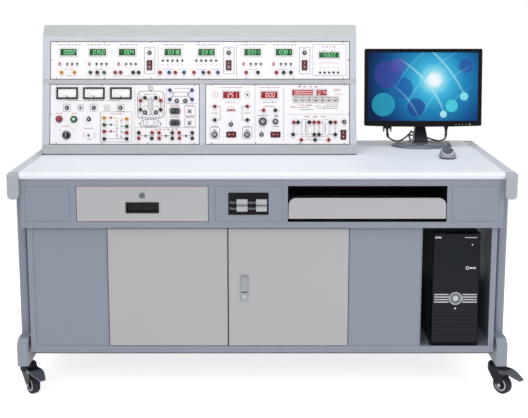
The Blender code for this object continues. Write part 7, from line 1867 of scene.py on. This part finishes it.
@dataclass
class BenchBody:
    """The bench's frame, worktop, carcasses, doors, drawer and tray.

    Attributes:
        rows: the tree for rows of bars.
        pull_width: width of the drawer pull's recess in metres.
        pull_z: its middle height.
        lock_width: diameter of the drawer lock's disc.
        lock_z: its middle height.
        apron_front: the apron's front plane.
        field_z: lower and upper edge of the raised fields.
        fields: their left and right edges from the bench's middle.
    """

    rows: RowTree
    pull_width: float = 0.108
    pull_z: float = 0.718
    lock_width: float = 0.021
    lock_z: float = 0.7625
    apron_front: float = -0.355
    field_z: Point = (0.668, 0.795)
    fields: tuple[Point, ...] = ((-0.842, -0.685), (-0.168, 0.074), (0.675, 0.8427))

    def build(self) -> None:
        """Dresses the nodes and adds the small parts."""
        repaint(RAIL, "side_rail_left", "side_rail_right")
        repaint(LEG, "leg_frame_left", "leg_frame_right")
        repaint(LAMINATE, "worktop")
        repaint(APRON_STEEL, "apron_carcass")
        repaint(CABINET_STEEL, "cabinet_carcass")
        repaint(WARM_STEEL, "drawer", "keyboard_tray")
        repaint(DOOR_STEEL, "door_left", "door_right")
        repaint(BLACK_ABS, "drawer_pull")
        repaint(PLATE_ENAMEL, "supply_plate")
        repaint(LATCH_CHROME, "door_lock_case", "door_lock_lever")
        repaint(CHROME, "door_lock_button")
        repaint(PALE_ABS, "supply_rocker_left", "supply_rocker_right")
        self.pull_bars()
        self.plate_print()
        self.field_lines()
        self.drawer_lock()

    def pull_bars(self) -> None:
        """Adds the ribs in the floor of the drawer pull's recess."""
        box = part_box("drawer_pull")
        x = (box[0].x + box[1].x) / 2
        floor = box[0].y + 0.0116
        self.rows.row(
            "drawer_pull_ribs", 3, (x, floor - 0.0012, self.pull_z - 0.009), (0.0, 0.0, 0.009),
            (self.pull_width, 0.0024, 0.0030), BLACK_ABS, Body.DRAWER, "black_plastic", edge=0.0006,
        )

    def plate_print(self) -> None:
        """Prints two rows of plain signs on the supply plate beside each of its switches."""
        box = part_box("supply_plate")
        front = box[0].y
        shape = Shape()
        size = box[1] - box[0]
        for left, signs in ((0.040, 3), (0.478, 4)):
            for down in (0.447, 0.723):
                for sign in range(signs):
                    x = box[0].x + left * size.x + sign * 0.0088
                    z = box[1].z - down * size.z
                    for start, stop in ((0.0, 0.0012), (0.0046, 0.0058)):
                        shape.block((x + start, front - FILM, z - 0.0036), (x + stop, front + FILM, z + 0.0036))
                    bar = z + (0.0030, -0.0030, 0.0)[sign % 3]
                    shape.block((x + 0.0012, front - FILM, bar - 0.0006), (x + 0.0046, front + FILM, bar + 0.0006))
        fit("supply_plate_print", shape.mesh("supply_plate_print"), [PLATE_INK], Body.BENCH)
        # A dark band of painted shade along each rocker's crease, where its two faces meet.
        for node in ("supply_rocker_left", "supply_rocker_right"):
            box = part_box(node)
            z = (box[0].z + box[1].z) / 2
            crease = Shape().block((box[0].x + 0.0006, box[0].y - 0.0001, z - 0.0011),
                                   (box[1].x - 0.0006, box[0].y + 0.0050, z + 0.0011))
            fit(node + "_crease", crease.mesh(node + "_crease"), [SHADE_LINE_PAINT], node + "_body")


    def field_lines(self) -> None:
        """Draws a line of painted shade round the foot of each raised field of the apron."""
        shape = Shape()
        face = Matrix.Translation((BENCH_X, self.apron_front, 0.0)) @ Matrix.Rotation(math.pi / 2, 4, "X")
        low, high = self.field_z
        for left, right in self.fields:
            line = [(left, low), (right, low), (right, high), (left, high)]
            shape.ribbon(line, 0.0016, -0.0002, 0.0002, True, face)
        fit("field_lines", shape.mesh("field_lines"), [SHADE_LINE_PAINT], Body.BENCH)

    def drawer_lock(self) -> None:
        """Makes the drawer's cam lock: a smooth disc with a rounded rim and a key slot, and its barrel and cam."""
        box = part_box("drawer_lock")
        radius = self.lock_width / 2
        place = Matrix.Translation((box[0].x + radius, box[0].y, self.lock_z)) @ Matrix.Rotation(math.pi / 2, 4, "X")
        shape = Shape().turned(
            ((0.0, -0.0025), (radius, -0.0025), (radius, -0.0009), (radius - 0.0008, -0.0001), (0.0066, 0.0),
             (0.0062, -0.0004), (0.0, -0.0004)), 48, place, 0,
        )
        shape.turned(((0.0, -0.0208), (0.0083, -0.0208), (0.0083, -0.0022), (0.0, -0.0022)), 32, place, 0)
        shape.block((-0.0007, -0.0042, -0.0006), (0.0007, 0.0042, -0.0002), 0.0, place, 1)
        shape.block((-0.0045, -0.0045, -0.0228), (0.0200, 0.0045, -0.0206), 0.0004, place, 0)
        made = fit("drawer_cam_lock_disc", shape.mesh("drawer_cam_lock_disc"), [LOCK_ZINC, BLACK_ABS],
                   "drawer_cam_lock")
        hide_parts("drawer_lock")


@dataclass
class Castors:
    """Four castors: dressed forks and pedals, and turned wheels with a tyre on a nylon centre, whose pale ring on each
    side is also a painted highlight.

    Attributes:
        radius: the wheel's radius in metres.
        width: its width.
        heading: direction that the castors point in, in radians.
        sides: how many sides a wheel has.
        fork_half: half the fork's width over its legs.
    """

    radius: float = 0.035
    width: float = 0.030
    heading: float = math.radians(-50)
    sides: int = 56
    fork_half: float = 0.0215

    def build(self) -> None:
        """Dresses the forks and pedals and makes the wheels."""
        ends = [end + "_" + side for end in ("front", "rear") for side in ("left", "right")]
        repaint(FORK_STEEL, *["castor_fork_" + end for end in ends])
        repaint(PEDAL_STEEL, "castor_pedal_front_left", "castor_pedal_front_right")
        for end in ends:
            self.wheel(end)

    def wheel(self, end: str) -> None:
        """Makes one wheel on the CAD wheel's own axle.

        Args:
            end: which castor it is.
        """
        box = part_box("castor_wheel_" + end)
        centre = (box[0] + box[1]) / 2
        centre.z = self.radius
        half = self.width / 2
        big = self.radius
        place = Matrix.Translation(centre) @ Matrix.Rotation(self.heading, 4, "Z") @ Matrix.Rotation(math.pi / 2, 4, "X")
        tyre = [
            (0.0258, half * 0.80), (0.0262, half * 0.95), (0.0285, half * 0.98), (big * 0.93, half * 0.90),
            (big * 0.985, half * 0.72), (big, half * 0.45), (big, 0.0),
        ]
        tyre += [(radius, -height) for radius, height in reversed(tyre[:-1])]
        disc = [
            (0.0046, half * 0.98), (0.0105, half * 0.98), (0.0118, half * 0.92), (0.0122, half * 0.80),
            (0.0246, half * 0.80), (0.0256, half * 0.86),
        ]
        disc += [(radius, -height) for radius, height in reversed(disc)]
        shape = Shape().turned(tyre, self.sides, place, 0).turned(disc, self.sides, place, 0)
        # A raised pale ring on each side: nylon, and also a painted highlight on the wheel's disc.
        for way in (-1, 1):
            ring = [(0.0178, 0.78), (0.0184, 0.92), (0.0192, 0.96), (0.0238, 0.96), (0.0244, 0.92), (0.0246, 0.78)]
            shape.turned([(radius, way * half * share) for radius, share in ring], self.sides, place, 1)
        name = "wheel_" + end
        made = fit(name, shape.mesh(name), [TYRE_RUBBER, NYLON_RING_AND_HIGHLIGHT], name)
        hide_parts("castor_wheel_" + end)
        caps = Shape()
        for way in (-1, 1):
            side = place @ Matrix.Rotation(math.pi * (way < 0), 4, "X")
            caps.turned(
                ((0.0, self.fork_half - 0.0005), (0.0078, self.fork_half - 0.0005), (0.0078, self.fork_half + 0.0016),
                 (0.0064, self.fork_half + 0.0030), (0.0, self.fork_half + 0.0036)), 24, side,
            )
        fit("axle_caps_" + end, caps.mesh("axle_caps_" + end), [SCREW_ZINC], "fork_" + end)


@dataclass
class Monitor:
    """The monitor on its neck and oval base.

    Attributes:
        centre: middle of the head's front in metres.
        tilt: how far the head leans back, in radians.
        width: the head's width; not used.
        height: its height.
    """

    rows: RowTree
    centre: Place = (0.657 + BENCH_X, 0.215, 1.088)
    tilt: float = math.radians(5)
    width: float = 0.480
    height: float = 0.319

    def head(self) -> Matrix:
        """Returns the head's frame: X across, Y up the screen, Z out of it."""
        turn = Matrix.Rotation(math.pi / 2 - self.tilt, 4, "X")
        return Matrix.Translation(self.centre) @ turn

    def build(self) -> None:
        """Dresses the monitor and adds its small marks."""
        lit = (0.0, 0.002, (0.0245 - 0.015) / 2)
        middle = self.head() @ Vector((0.0, lit[2], -lit[1]))
        picture = ScreenFinish(
            "screen_lit_panel", "#0a0d14", 0.12, centre=tuple(middle), tilt=self.tilt, width=0.449, height=0.2795,
        )
        repaint(picture, "monitor_screen")
        repaint(GLOSS_ABS, "monitor_bezel")
        repaint(SATIN_ABS, "monitor_shell", "monitor_neck", "signal_plug", "power_plug")
        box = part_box("monitor_base")
        middle = (box[0] + box[1]) / 2
        size = box[1] - box[0]
        base = Shape().turned(
            ((0.0, 1.0), (0.28, 1.0), (0.34, 0.965), (0.40, 0.86), (0.45, 0.66), (0.48, 0.46), (0.495, 0.31), (0.5, 0.19),
             (0.498, 0.08), (0.49, 0.0), (0.0, 0.0)), 96,
            Matrix.Translation((middle.x, middle.y, box[0].z)) @ Matrix.Diagonal((*size, 1.0)),
        )
        made = fit("monitor_oval_base", base.mesh("monitor_oval_base"), [BASE_ABS], Body.BENCH)
        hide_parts("monitor_base")
        marks = Shape()
        head = self.head()
        low = -self.height / 2 + 0.0105
        for x in (0.135, 0.149, 0.163, 0.177):
            marks.block((x - 0.0012, low - 0.0010, -0.0002), (x + 0.0012, low + 0.0006, FILM), 0.0, head)
        marks.turned(((0.0, -0.0002), (0.0022, -0.0002), (0.0022, FILM), (0.0, FILM)), 20,
                     head @ Matrix.Translation((0.193, low, 0.0)))
        fit("bezel_marks", marks.mesh("bezel_marks"), [WHITE_INK], Body.HEAD)


@dataclass
class Tower:
    """The computer's case and moulded front.

    Attributes:
        left: its left side in metres.
        front: the front's plane.
        low: its underside.
        width: its width.
        height: its height; not used.
        badge_z: height of the ring over the underside.
    """

    rows: RowTree
    left: float = 0.617 + BENCH_X
    front: float = -0.322
    low: float = 0.1943
    width: float = 0.174
    height: float = 0.419
    badge_z: float = 0.1785

    def build(self) -> None:
        """Dresses the nodes and adds the bright stripes, ring and plain marks."""
        repaint(TOWER_STEEL, "tower_case")
        repaint(TOWER_GLOSS, "tower_front")
        repaint(SILVER_TRIM, "tower_power_button")
        middle = self.left + self.width / 2
        centre = self.low + self.badge_z
        ring = 0.0240
        flat = self.width / 2 - 0.009
        reach = flat - ring - 0.0004
        for side in (-1, 1):
            x = middle + side * (ring + 0.0004 + reach / 2)
            name = "tower_stripes_left" if side < 0 else "tower_stripes_right"
            self.rows.row(
                name, 4, (x, self.front - 0.0013, centre - 0.01425), (0.0, 0.0, 0.0095), (reach, 0.0004, 0.0044),
                SILVER_TRIM, Body.BENCH, "tower_gloss", edge=0.0001,
            )
        place = Matrix.Translation((middle, self.front, centre)) @ Matrix.Rotation(math.pi / 2, 4, "X")
        rings = Shape().turned(
            ((0.0206, 0.0028), (0.0206, 0.0034), (0.0213, 0.0040), (0.0233, 0.0040), (0.0240, 0.0034), (0.0240, 0.0028)),
            48, place,
        )
        fit("tower_badge_ring", rings.mesh("tower_badge_ring"), [SILVER_TRIM], Body.BENCH)
        dish = Shape().turned(((0.0114, 0.0029), (0.0114, 0.0031), (0.0205, 0.0031), (0.0205, 0.0029)), 48, place)
        fit("tower_badge_dish", dish.mesh("tower_badge_dish"), [TRIM_GREY], Body.BENCH)
        beads = Shape()
        for step in range(26):
            turn = place @ Matrix.Rotation(2 * math.pi * step / 26, 4, "Z")
            beads.turned(((0.0, 0.0030), (0.0011, 0.0030), (0.0008, 0.0034), (0.0, 0.0035)), 8,
                         turn @ Matrix.Translation((0.0172, 0.0, 0.0)))
        fit("tower_badge_beads", beads.mesh("tower_badge_beads"), [SILVER_TRIM], Body.BENCH)
        lamps = Shape()
        for x, z, radius in ((middle + 0.0555, self.low + 0.3795, 0.0024), (middle, self.low + 0.140, 0.0030)):
            lamps.turned(((0.0, -0.0005), (radius, -0.0005), (radius, 0.0006), (0.0, 0.0010)), 20,
                         Matrix.Translation((x, self.front, z)) @ Matrix.Rotation(math.pi / 2, 4, "X"))
        fit("tower_lamps", lamps.mesh("tower_lamps"), [WHITE_LAMP], Body.BENCH)
        marks = Shape()
        for x, z, wide, tall in (
            (-0.0745, 0.406, 0.009, 0.0066), (-0.0625, 0.406, 0.010, 0.0066), (0.0320, 0.406, 0.008, 0.0028),
            (0.0420, 0.406, 0.009, 0.0028), (0.0530, 0.406, 0.010, 0.0028), (0.0655, 0.406, 0.012, 0.0028),
            (0.0530, 0.2925, 0.010, 0.0062), (0.0650, 0.2925, 0.011, 0.0062),
        ):
            marks.block((middle + x - wide / 2, self.front - FILM, self.low + z - tall / 2),
                        (middle + x + wide / 2, self.front + FILM, self.low + z + tall / 2))
        outline = [(0.0055 * math.cos(math.pi * step / 3), 0.0062 * math.sin(math.pi * step / 3)) for step in range(6)]
        marks.ribbon(outline, 0.0026, -FILM, FILM, True,
                     Matrix.Translation((middle + 0.0400, self.front, self.low + 0.2925))
                     @ Matrix.Rotation(math.pi / 2, 4, "X"))
        fit("tower_plain_marks", marks.mesh("tower_plain_marks"), [PALE_MARK], Body.BENCH)


@dataclass
class Mouse:
    """A low two-tone mouse with two keys and a wheel.

    Attributes:
        x: its middle in metres.
        y: its middle.
        z: the plane that it lies on.
        turn: its turn about the vertical, in radians.
        width: its width.
        length: its length.
        height: its height.
    """

    x: float = 0.7145 + BENCH_X
    y: float = -0.042
    z: float = 0.8463
    turn: float = math.radians(-10)
    width: float = 0.068
    length: float = 0.114
    height: float = 0.034

    def place(self) -> Matrix:
        """Returns the mouse's frame: Y towards its lead, Z up."""
        return Matrix.Translation((self.x, self.y, self.z)) @ Matrix.Rotation(self.turn, 4, "Z")

    def section(self, share: float) -> tuple[float, float]:
        """Returns half the width and the height at a share of the length, from tail to nose."""
        along = 2 * share - 1
        body = (1 - abs(along) ** 2.6) ** (1 / 2.6) if abs(along) < 1 else 0.0
        waist = 1 - 0.08 * math.exp(-((share - 0.58) / 0.16) ** 2)
        climb = min(1.0, share / 0.52)
        crown = 0.50 + 0.50 * climb * climb * (3 - 2 * climb) - 0.30 * max(0.0, share - 0.62)
        return (self.width / 2 * body * waist, self.height * body ** 0.30 * crown)

    def build(self) -> None:
        """Makes the shell, the darker keys and the wheel, and lets them stand for the CAD mouse."""
        rings = 40
        around = 40
        work = bmesh.new()
        rows = []
        for index in range(rings + 1):
            share = 0.5 - 0.5 * math.cos(math.pi * index / rings)
            half, high = self.section(share)
            y = (share - 0.5) * self.length
            if half < 0.0004:
                rows.append([work.verts.new((0.0, y, 0.004))])
                continue
            ring = []
            for step in range(around):
                turn = 2 * math.pi * step / around
                across = math.copysign(abs(math.cos(turn)) ** 0.72, math.cos(turn))
                up = math.sin(turn)
                z = high * up ** 0.82 if up > 0 else 0.0
                pinch = 1.0 if up > 0 else 1.0 - 0.10 * abs(up)
                ring.append(work.verts.new((half * across * pinch, y, max(0.0, z))))
            rows.append(ring)
        for first, second in zip(rows, rows[1:]):
            for step in range(around):
                after = (step + 1) % around
                if len(first) == 1 and len(second) == 1:
                    continue
                if len(first) == 1:
                    work.faces.new((first[0], second[step], second[after]))
                elif len(second) == 1:
                    work.faces.new((first[step], first[after], second[0]))
                else:
                    work.faces.new((first[step], first[after], second[after], second[step]))
        bmesh.ops.remove_doubles(work, verts=work.verts[:], dist=0.00002)
        bmesh.ops.recalc_face_normals(work, faces=work.faces[:])
        mesh = bpy.data.meshes.new("mouse_shell")
        work.to_mesh(mesh)
        work.free()
        mesh.shade_smooth()
        mesh.transform(self.place())
        shell = fit("mouse_shell", mesh, [MOUSE_ABS], Body.BENCH)
        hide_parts("mouse")
        turn = self.place() @ Matrix.Translation((0.0, 0.034, 0.0225)) @ Matrix.Rotation(math.pi / 2, 4, "Y")
        wheel = Shape().turned(
            ((0.0, -0.0032), (0.0095, -0.0032), (0.0108, -0.0022), (0.0108, 0.0022), (0.0095, 0.0032), (0.0, 0.0032)),
            32, turn,
        )
        fit("mouse_wheel", wheel.mesh("mouse_wheel"), [BLACK_ABS], Body.BENCH)


# Free leads: their own points, as the CAD has them, from the bench's middle.
SIGNAL_ROUTE = (
    (0.5150, 0.2270, 0.8985), (0.5152, 0.2258, 0.8870), (0.5270, 0.2255, 0.8770), (0.5430, 0.2260, 0.8690),
    (0.5600, 0.2270, 0.8662), (0.5800, 0.2300, 0.8729), (0.6010, 0.2370, 0.8880), (0.6150, 0.2480, 0.8995),
    (0.6200, 0.2720, 0.9015), (0.6260, 0.2990, 0.8960), (0.6420, 0.3140, 0.8830), (0.6520, 0.3260, 0.8660),
    (0.6550, 0.3370, 0.8550), (0.6560, 0.3460, 0.8522), (0.6560, 0.3545, 0.8470), (0.6560, 0.3585, 0.8370),
    (0.6560, 0.3590, 0.8200), (0.6570, 0.3585, 0.7700), (0.6620, 0.3570, 0.7000), (0.6680, 0.3555, 0.6200),
    (0.6760, 0.3520, 0.5500), (0.6840, 0.3380, 0.4900), (0.6880, 0.3000, 0.4550), (0.6880, 0.2500, 0.4450),
    (0.6860, 0.1900, 0.4550), (0.6850, 0.1300, 0.4660), (0.6850, 0.1023, 0.4680),
)
POWER_ROUTE = (
    (0.7578, 0.2270, 0.8985), (0.7576, 0.2258, 0.8880), (0.7530, 0.2256, 0.8760), (0.7410, 0.2260, 0.8690),
    (0.7250, 0.2280, 0.8672), (0.7060, 0.2500, 0.8690), (0.6930, 0.2870, 0.8700), (0.6700, 0.3010, 0.8740),
    (0.6450, 0.3010, 0.8795), (0.6280, 0.2990, 0.8805), (0.6190, 0.3070, 0.8760), (0.6220, 0.3200, 0.8640),
    (0.6310, 0.3350, 0.8540), (0.6365, 0.3460, 0.8522), (0.6380, 0.3545, 0.8470), (0.6380, 0.3585, 0.8370),
    (0.6380, 0.3590, 0.8200), (0.6390, 0.3580, 0.7700), (0.6440, 0.3550, 0.7000), (0.6510, 0.3500, 0.6300),
    (0.6620, 0.3420, 0.5800), (0.6780, 0.3220, 0.5450), (0.6950, 0.2850, 0.5280), (0.7080, 0.2350, 0.5350),
    (0.7160, 0.1750, 0.5530), (0.7200, 0.1300, 0.5600), (0.7200, 0.1023, 0.5600),
)
MOUSE_ROUTE = (
    (0.7270, 0.0148, 0.8560), (0.7292, 0.0300, 0.8545), (0.7370, 0.0600, 0.8498), (0.7510, 0.1100, 0.8484),
    (0.7620, 0.1500, 0.8492), (0.7650, 0.1740, 0.8545), (0.7660, 0.2000, 0.8605), (0.7660, 0.2270, 0.8625),
    (0.7650, 0.2550, 0.8600), (0.7600, 0.2800, 0.8535), (0.7500, 0.3050, 0.8488), (0.7300, 0.3300, 0.8484),
    (0.7050, 0.3430, 0.8484), (0.6880, 0.3460, 0.8492), (0.6795, 0.3520, 0.8480), (0.6762, 0.3575, 0.8390),
    (0.6760, 0.3590, 0.8200), (0.6770, 0.3585, 0.7600), (0.6820, 0.3570, 0.6600), (0.6920, 0.3550, 0.5600),
    (0.7060, 0.3480, 0.4800), (0.7180, 0.3250, 0.4150), (0.7250, 0.2750, 0.3850), (0.7265, 0.2100, 0.3750),
    (0.7260, 0.1400, 0.3740), (0.7260, 0.1023, 0.3740),
)


@dataclass
class Lead:
    """A free lead on one smooth line through its own points.

    Attributes:
        node: the CAD node that it stands for.
        route: its points from the bench's middle.
        radius: its radius in metres.
        plug: the CAD plug at its near end, or nothing.
        step: distance between its points in metres.
        boot: length of the tapered boot under the plug.
    """

    node: str
    route: Sequence[Place]
    radius: float
    plug: str = ""
    step: float = 0.006
    boot: float = 0.016

    def line(self) -> tuple[list[Vector], float]:
        """Returns evenly spaced points on a smooth curve through the route, and its length."""
        knots = [Vector((x + BENCH_X, y, z)) for x, y, z in self.route]
        knots = [2 * knots[0] - knots[1]] + knots + [2 * knots[-1] - knots[-2]]
        fine = []
        for index in range(1, len(knots) - 2):
            p0, p1, p2, p3 = knots[index - 1:index + 3]
            for part in range(12):
                t = part / 12
                fine.append(0.5 * (2 * p1 + (p2 - p0) * t + (2 * p0 - 5 * p1 + 4 * p2 - p3) * t * t
                                   + (3 * p1 - p0 - 3 * p2 + p3) * t ** 3))
        fine.append(knots[-2])
        lengths = [0.0]
        for first, second in zip(fine, fine[1:]):
            lengths.append(lengths[-1] + (second - first).length)
        count = round(lengths[-1] / self.step)
        points = []
        index = 0
        for number in range(count + 1):
            want = lengths[-1] * number / count
            while index < len(lengths) - 2 and lengths[index + 1] < want:
                index += 1
            span = max(lengths[index + 1] - lengths[index], 0.000001)
            points.append(fine[index].lerp(fine[index + 1], min(1.0, (want - lengths[index]) / span)))
        return points, lengths[-1]

    def tube(self, points: Sequence[Vector]) -> bpy.types.Mesh:
        """Returns a closed round tube along the points."""
        curve = bpy.data.curves.new(self.node + "_line", "CURVE")
        curve.dimensions = "3D"
        curve.bevel_depth = self.radius
        curve.bevel_resolution = 4
        curve.use_fill_caps = True
        spline = curve.splines.new("POLY")
        spline.points.add(len(points) - 1)
        for knot, point in zip(spline.points, points):
            knot.co = (*point, 1.0)
        carrier = bpy.data.objects.new(self.node + "_line", curve)
        bpy.context.scene.collection.objects.link(carrier)
        bpy.context.view_layer.update()
        mesh = bpy.data.meshes.new_from_object(carrier.evaluated_get(bpy.context.evaluated_depsgraph_get()))
        bpy.data.objects.remove(carrier)
        work = bmesh.new()
        work.from_mesh(mesh)
        bmesh.ops.remove_doubles(work, verts=work.verts[:], dist=0.000001)
        bmesh.ops.recalc_face_normals(work, faces=work.faces[:])
        work.to_mesh(mesh)
        work.free()
        mesh.shade_smooth()
        return mesh

    def boots(self, points: Sequence[Vector]) -> bpy.types.Object:
        """Makes the ribbed, tapered boot that holds the lead where it leaves its plug."""
        way = (points[3] - points[0]).normalized()
        place = Matrix.Translation(points[0]) @ Vector((0.0, 0.0, 1.0)).rotation_difference(way).to_matrix().to_4x4()
        profile = [(0.0, 0.0), (self.radius + 0.0030, 0.0)]
        for rib in range(4):
            share = rib / 4
            wide = self.radius + 0.0030 - 0.0022 * share
            start = self.boot * (share + 0.02)
            profile += [(wide, start + 0.0022), (wide - 0.0009, start + 0.0026), (wide - 0.0009, start + 0.0036)]
        profile += [(self.radius + 0.0004, self.boot), (0.0, self.boot)]
        name = self.node + "_boot"
        return fit(name, Shape().turned(profile, 24, place).mesh(name), [SATIN_ABS], Body.HEAD)

    def build(self) -> None:
        points, length = self.line()
        name = self.node + "_jacket"
        mesh = self.tube(points)
        mesh.name = name
        mesh.materials.clear()
        mesh.materials.append(LEAD_PVC.material())
        made = bpy.data.objects.new(name, mesh)
        bpy.context.scene.collection.objects.link(made)
        if self.plug:
            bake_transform(made)
        else:
            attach(made, "bench")
        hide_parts(self.node)
        ends = [self.plug, self.boots(points)] if self.plug else []
        LOG.info("lead %s, %.3f m", name, length)


@dataclass
class Studio:
    """The floor, the pale surroundings, the lights and the camera.

    Attributes:
        focal_px: focal length in pixels of the photograph.
        frame_px: the photograph's size.
        horizon_px: height of the optical axis in the photograph.
        pitch: how far the camera looks down, in radians.
        camera: where it stands.
    """

    focal_px: float = 956.0
    frame_px: tuple[int, int] = (528, 418)
    horizon_px: float = 138.4
    pitch: float = math.radians(8.82)
    camera: Place = (0.0063 + BENCH_X, -3.677, 1.483)
    sensor: float = 36.0

    def build(self) -> None:
        """Sets up everything that isn't the object."""
        self.look()
        self.floor()
        self.world()
        self.lamps()

    def look(self) -> None:
        """Sets the camera at the photograph's place and angle."""
        data = bpy.data.cameras.new("photo_camera")
        data.sensor_width = self.sensor
        data.lens = self.focal_px * self.sensor / self.frame_px[0]
        data.shift_y = -(self.frame_px[1] / 2 - self.horizon_px) / self.frame_px[0]
        data.clip_end = 60.0
        made = bpy.data.objects.new("photo_camera", data)
        made.location = self.camera
        made.rotation_euler = (math.pi / 2 - self.pitch, 0.0, 0.0)
        bpy.context.scene.collection.objects.link(made)
        bpy.context.scene.camera = made

    def floor(self) -> None:
        """Lays a pale floor that keeps the bench's shadow."""
        mesh = bpy.data.meshes.new("studio_floor")
        reach = 14.0
        mesh.from_pydata(
            [(-reach, -reach, 0.0), (reach, -reach, 0.0), (reach, reach, 0.0), (-reach, reach, 0.0)], [], [(0, 1, 2, 3)],
        )
        made = bpy.data.objects.new("studio_floor", mesh)
        bpy.context.scene.collection.objects.link(made)
        paper = bpy.data.materials.new("studio_paper")
        paper.use_nodes = True
        tree = paper.node_tree
        tree.nodes.clear()
        place = add(tree, "ShaderNodeTexCoord").outputs["Object"]
        cloud = add(tree, "ShaderNodeTexNoise", {"Scale": 0.8, "Detail": 2.0}, {"Vector": place})
        tone = add(
            tree, "ShaderNodeMix", {"data_type": "RGBA", 6: linear("#f2f2f3"), 7: linear("#f8f8f8")},
            {0: cloud.outputs[0]},
        )
        diffuse = add(tree, "ShaderNodeBsdfDiffuse", {}, {"Color": tone.outputs[2]})
        away = add(tree, "ShaderNodeVectorMath", {"operation": "LENGTH"}, {0: place}).outputs["Value"]
        far = add(tree, "ShaderNodeMapRange", {"From Min": 1.5, "From Max": 2.6}, {"Value": away})
        path = add(tree, "ShaderNodeLightPath")
        seen = add(
            tree, "ShaderNodeMath", {"operation": "MAXIMUM"},
            {0: path.outputs["Is Camera Ray"], 1: path.outputs["Is Glossy Ray"]},
        )
        seen = add(
            tree, "ShaderNodeMath", {"operation": "MAXIMUM"},
            {0: seen.outputs[0], 1: path.outputs["Is Transmission Ray"]},
        )
        lift = add(tree, "ShaderNodeMath", {"operation": "MULTIPLY", 1: 0.70}, {0: seen.outputs[0]})
        glow = add(tree, "ShaderNodeEmission", {"Color": (1.0, 1.0, 1.0, 1.0)}, {"Strength": lift.outputs[0]})
        both = add(tree, "ShaderNodeAddShader", {}, {0: diffuse.outputs[0], 1: glow.outputs[0]})
        white = add(tree, "ShaderNodeEmission", {"Color": (1.0, 1.0, 1.0, 1.0)}, {"Strength": seen.outputs[0]})
        fade = add(tree, "ShaderNodeMath", {"operation": "MULTIPLY"}, {0: far.outputs[0], 1: seen.outputs[0]})
        shown = add(
            tree, "ShaderNodeMixShader", {}, {0: fade.outputs[0], 1: both.outputs[0], 2: white.outputs[0]},
        )
        add(tree, "ShaderNodeOutputMaterial", {}, {"Surface": shown.outputs[0]})
        mesh.materials.append(paper)

    def world(self) -> None:
        """Fills the room with soft light, and shows white behind the object and in its reflections."""
        world = bpy.data.worlds.new("studio_world")
        bpy.context.scene.world = world
        world.use_nodes = True
        tree = world.node_tree
        tree.nodes.clear()
        path = add(tree, "ShaderNodeLightPath")
        seen = add(
            tree, "ShaderNodeMath", {"operation": "MAXIMUM"},
            {0: path.outputs["Is Camera Ray"], 1: path.outputs["Is Transmission Ray"]},
        )
        ambient = add(tree, "ShaderNodeBackground", {"Color": (1.0, 1.0, 1.0, 1.0), "Strength": 0.44})
        mirror = add(tree, "ShaderNodeBackground", {"Color": (1.0, 1.0, 1.0, 1.0), "Strength": 0.45})
        white = add(tree, "ShaderNodeBackground", {"Color": (1.0, 1.0, 1.0, 1.0), "Strength": 1.0})
        glossy = add(
            tree, "ShaderNodeMixShader", {}, {0: path.outputs["Is Glossy Ray"], 1: ambient.outputs[0], 2: mirror.outputs[0]},
        )
        shown = add(tree, "ShaderNodeMixShader", {}, {0: seen.outputs[0], 1: glossy.outputs[0], 2: white.outputs[0]})
        add(tree, "ShaderNodeOutputWorld", {}, {"Surface": shown.outputs[0]})

    def lamps(self) -> None:
        """Hangs a broad soft light in front and above, and a weaker one on each side."""
        for name, place, aim, size, power in (
            ("key_softbox", (-1.2, -4.2, 3.6), (0.0, 0.0, 0.7), 3.2, 80.0),
            ("fill_softbox", (3.4, -3.0, 2.2), (0.0, 0.0, 0.7), 2.6, 44.0),
            ("top_softbox", (0.0, -0.6, 4.2), (0.0, 0.0, 0.0), 3.0, 54.0),
        ):
            data = bpy.data.lights.new(name, "AREA")
            data.shape = "SQUARE"
            data.size = size
            data.energy = power
            made = bpy.data.objects.new(name, data)
            made.location = place
            made.rotation_euler = (Vector(aim) - Vector(place)).to_track_quat("-Z", "Y").to_euler()
            bpy.context.scene.collection.objects.link(made)


def main() -> None:
    """Builds the studio, then each part of the workstation in turn."""
    logging.basicConfig(level=logging.INFO, format="%(message)s")
    bpy.context.scene.view_settings.view_transform = "Standard"
    Studio().build()
    for lead in (
        Lead("signal_lead", SIGNAL_ROUTE, 0.0034, "signal_plug"),
        Lead("power_lead", POWER_ROUTE, 0.0034, "power_plug"),
        Lead("mouse_lead", MOUSE_ROUTE, 0.0019),
    ):
        lead.build()
    stamps = StampTree()
    bars = RowTree()
    BenchBody(bars).build()
    Castors().build()
    InstrumentConsole(stamps).build()
    Monitor(bars).build()
    Tower(bars).build()
    Mouse().build()


if __name__ == "__main__":
    main()
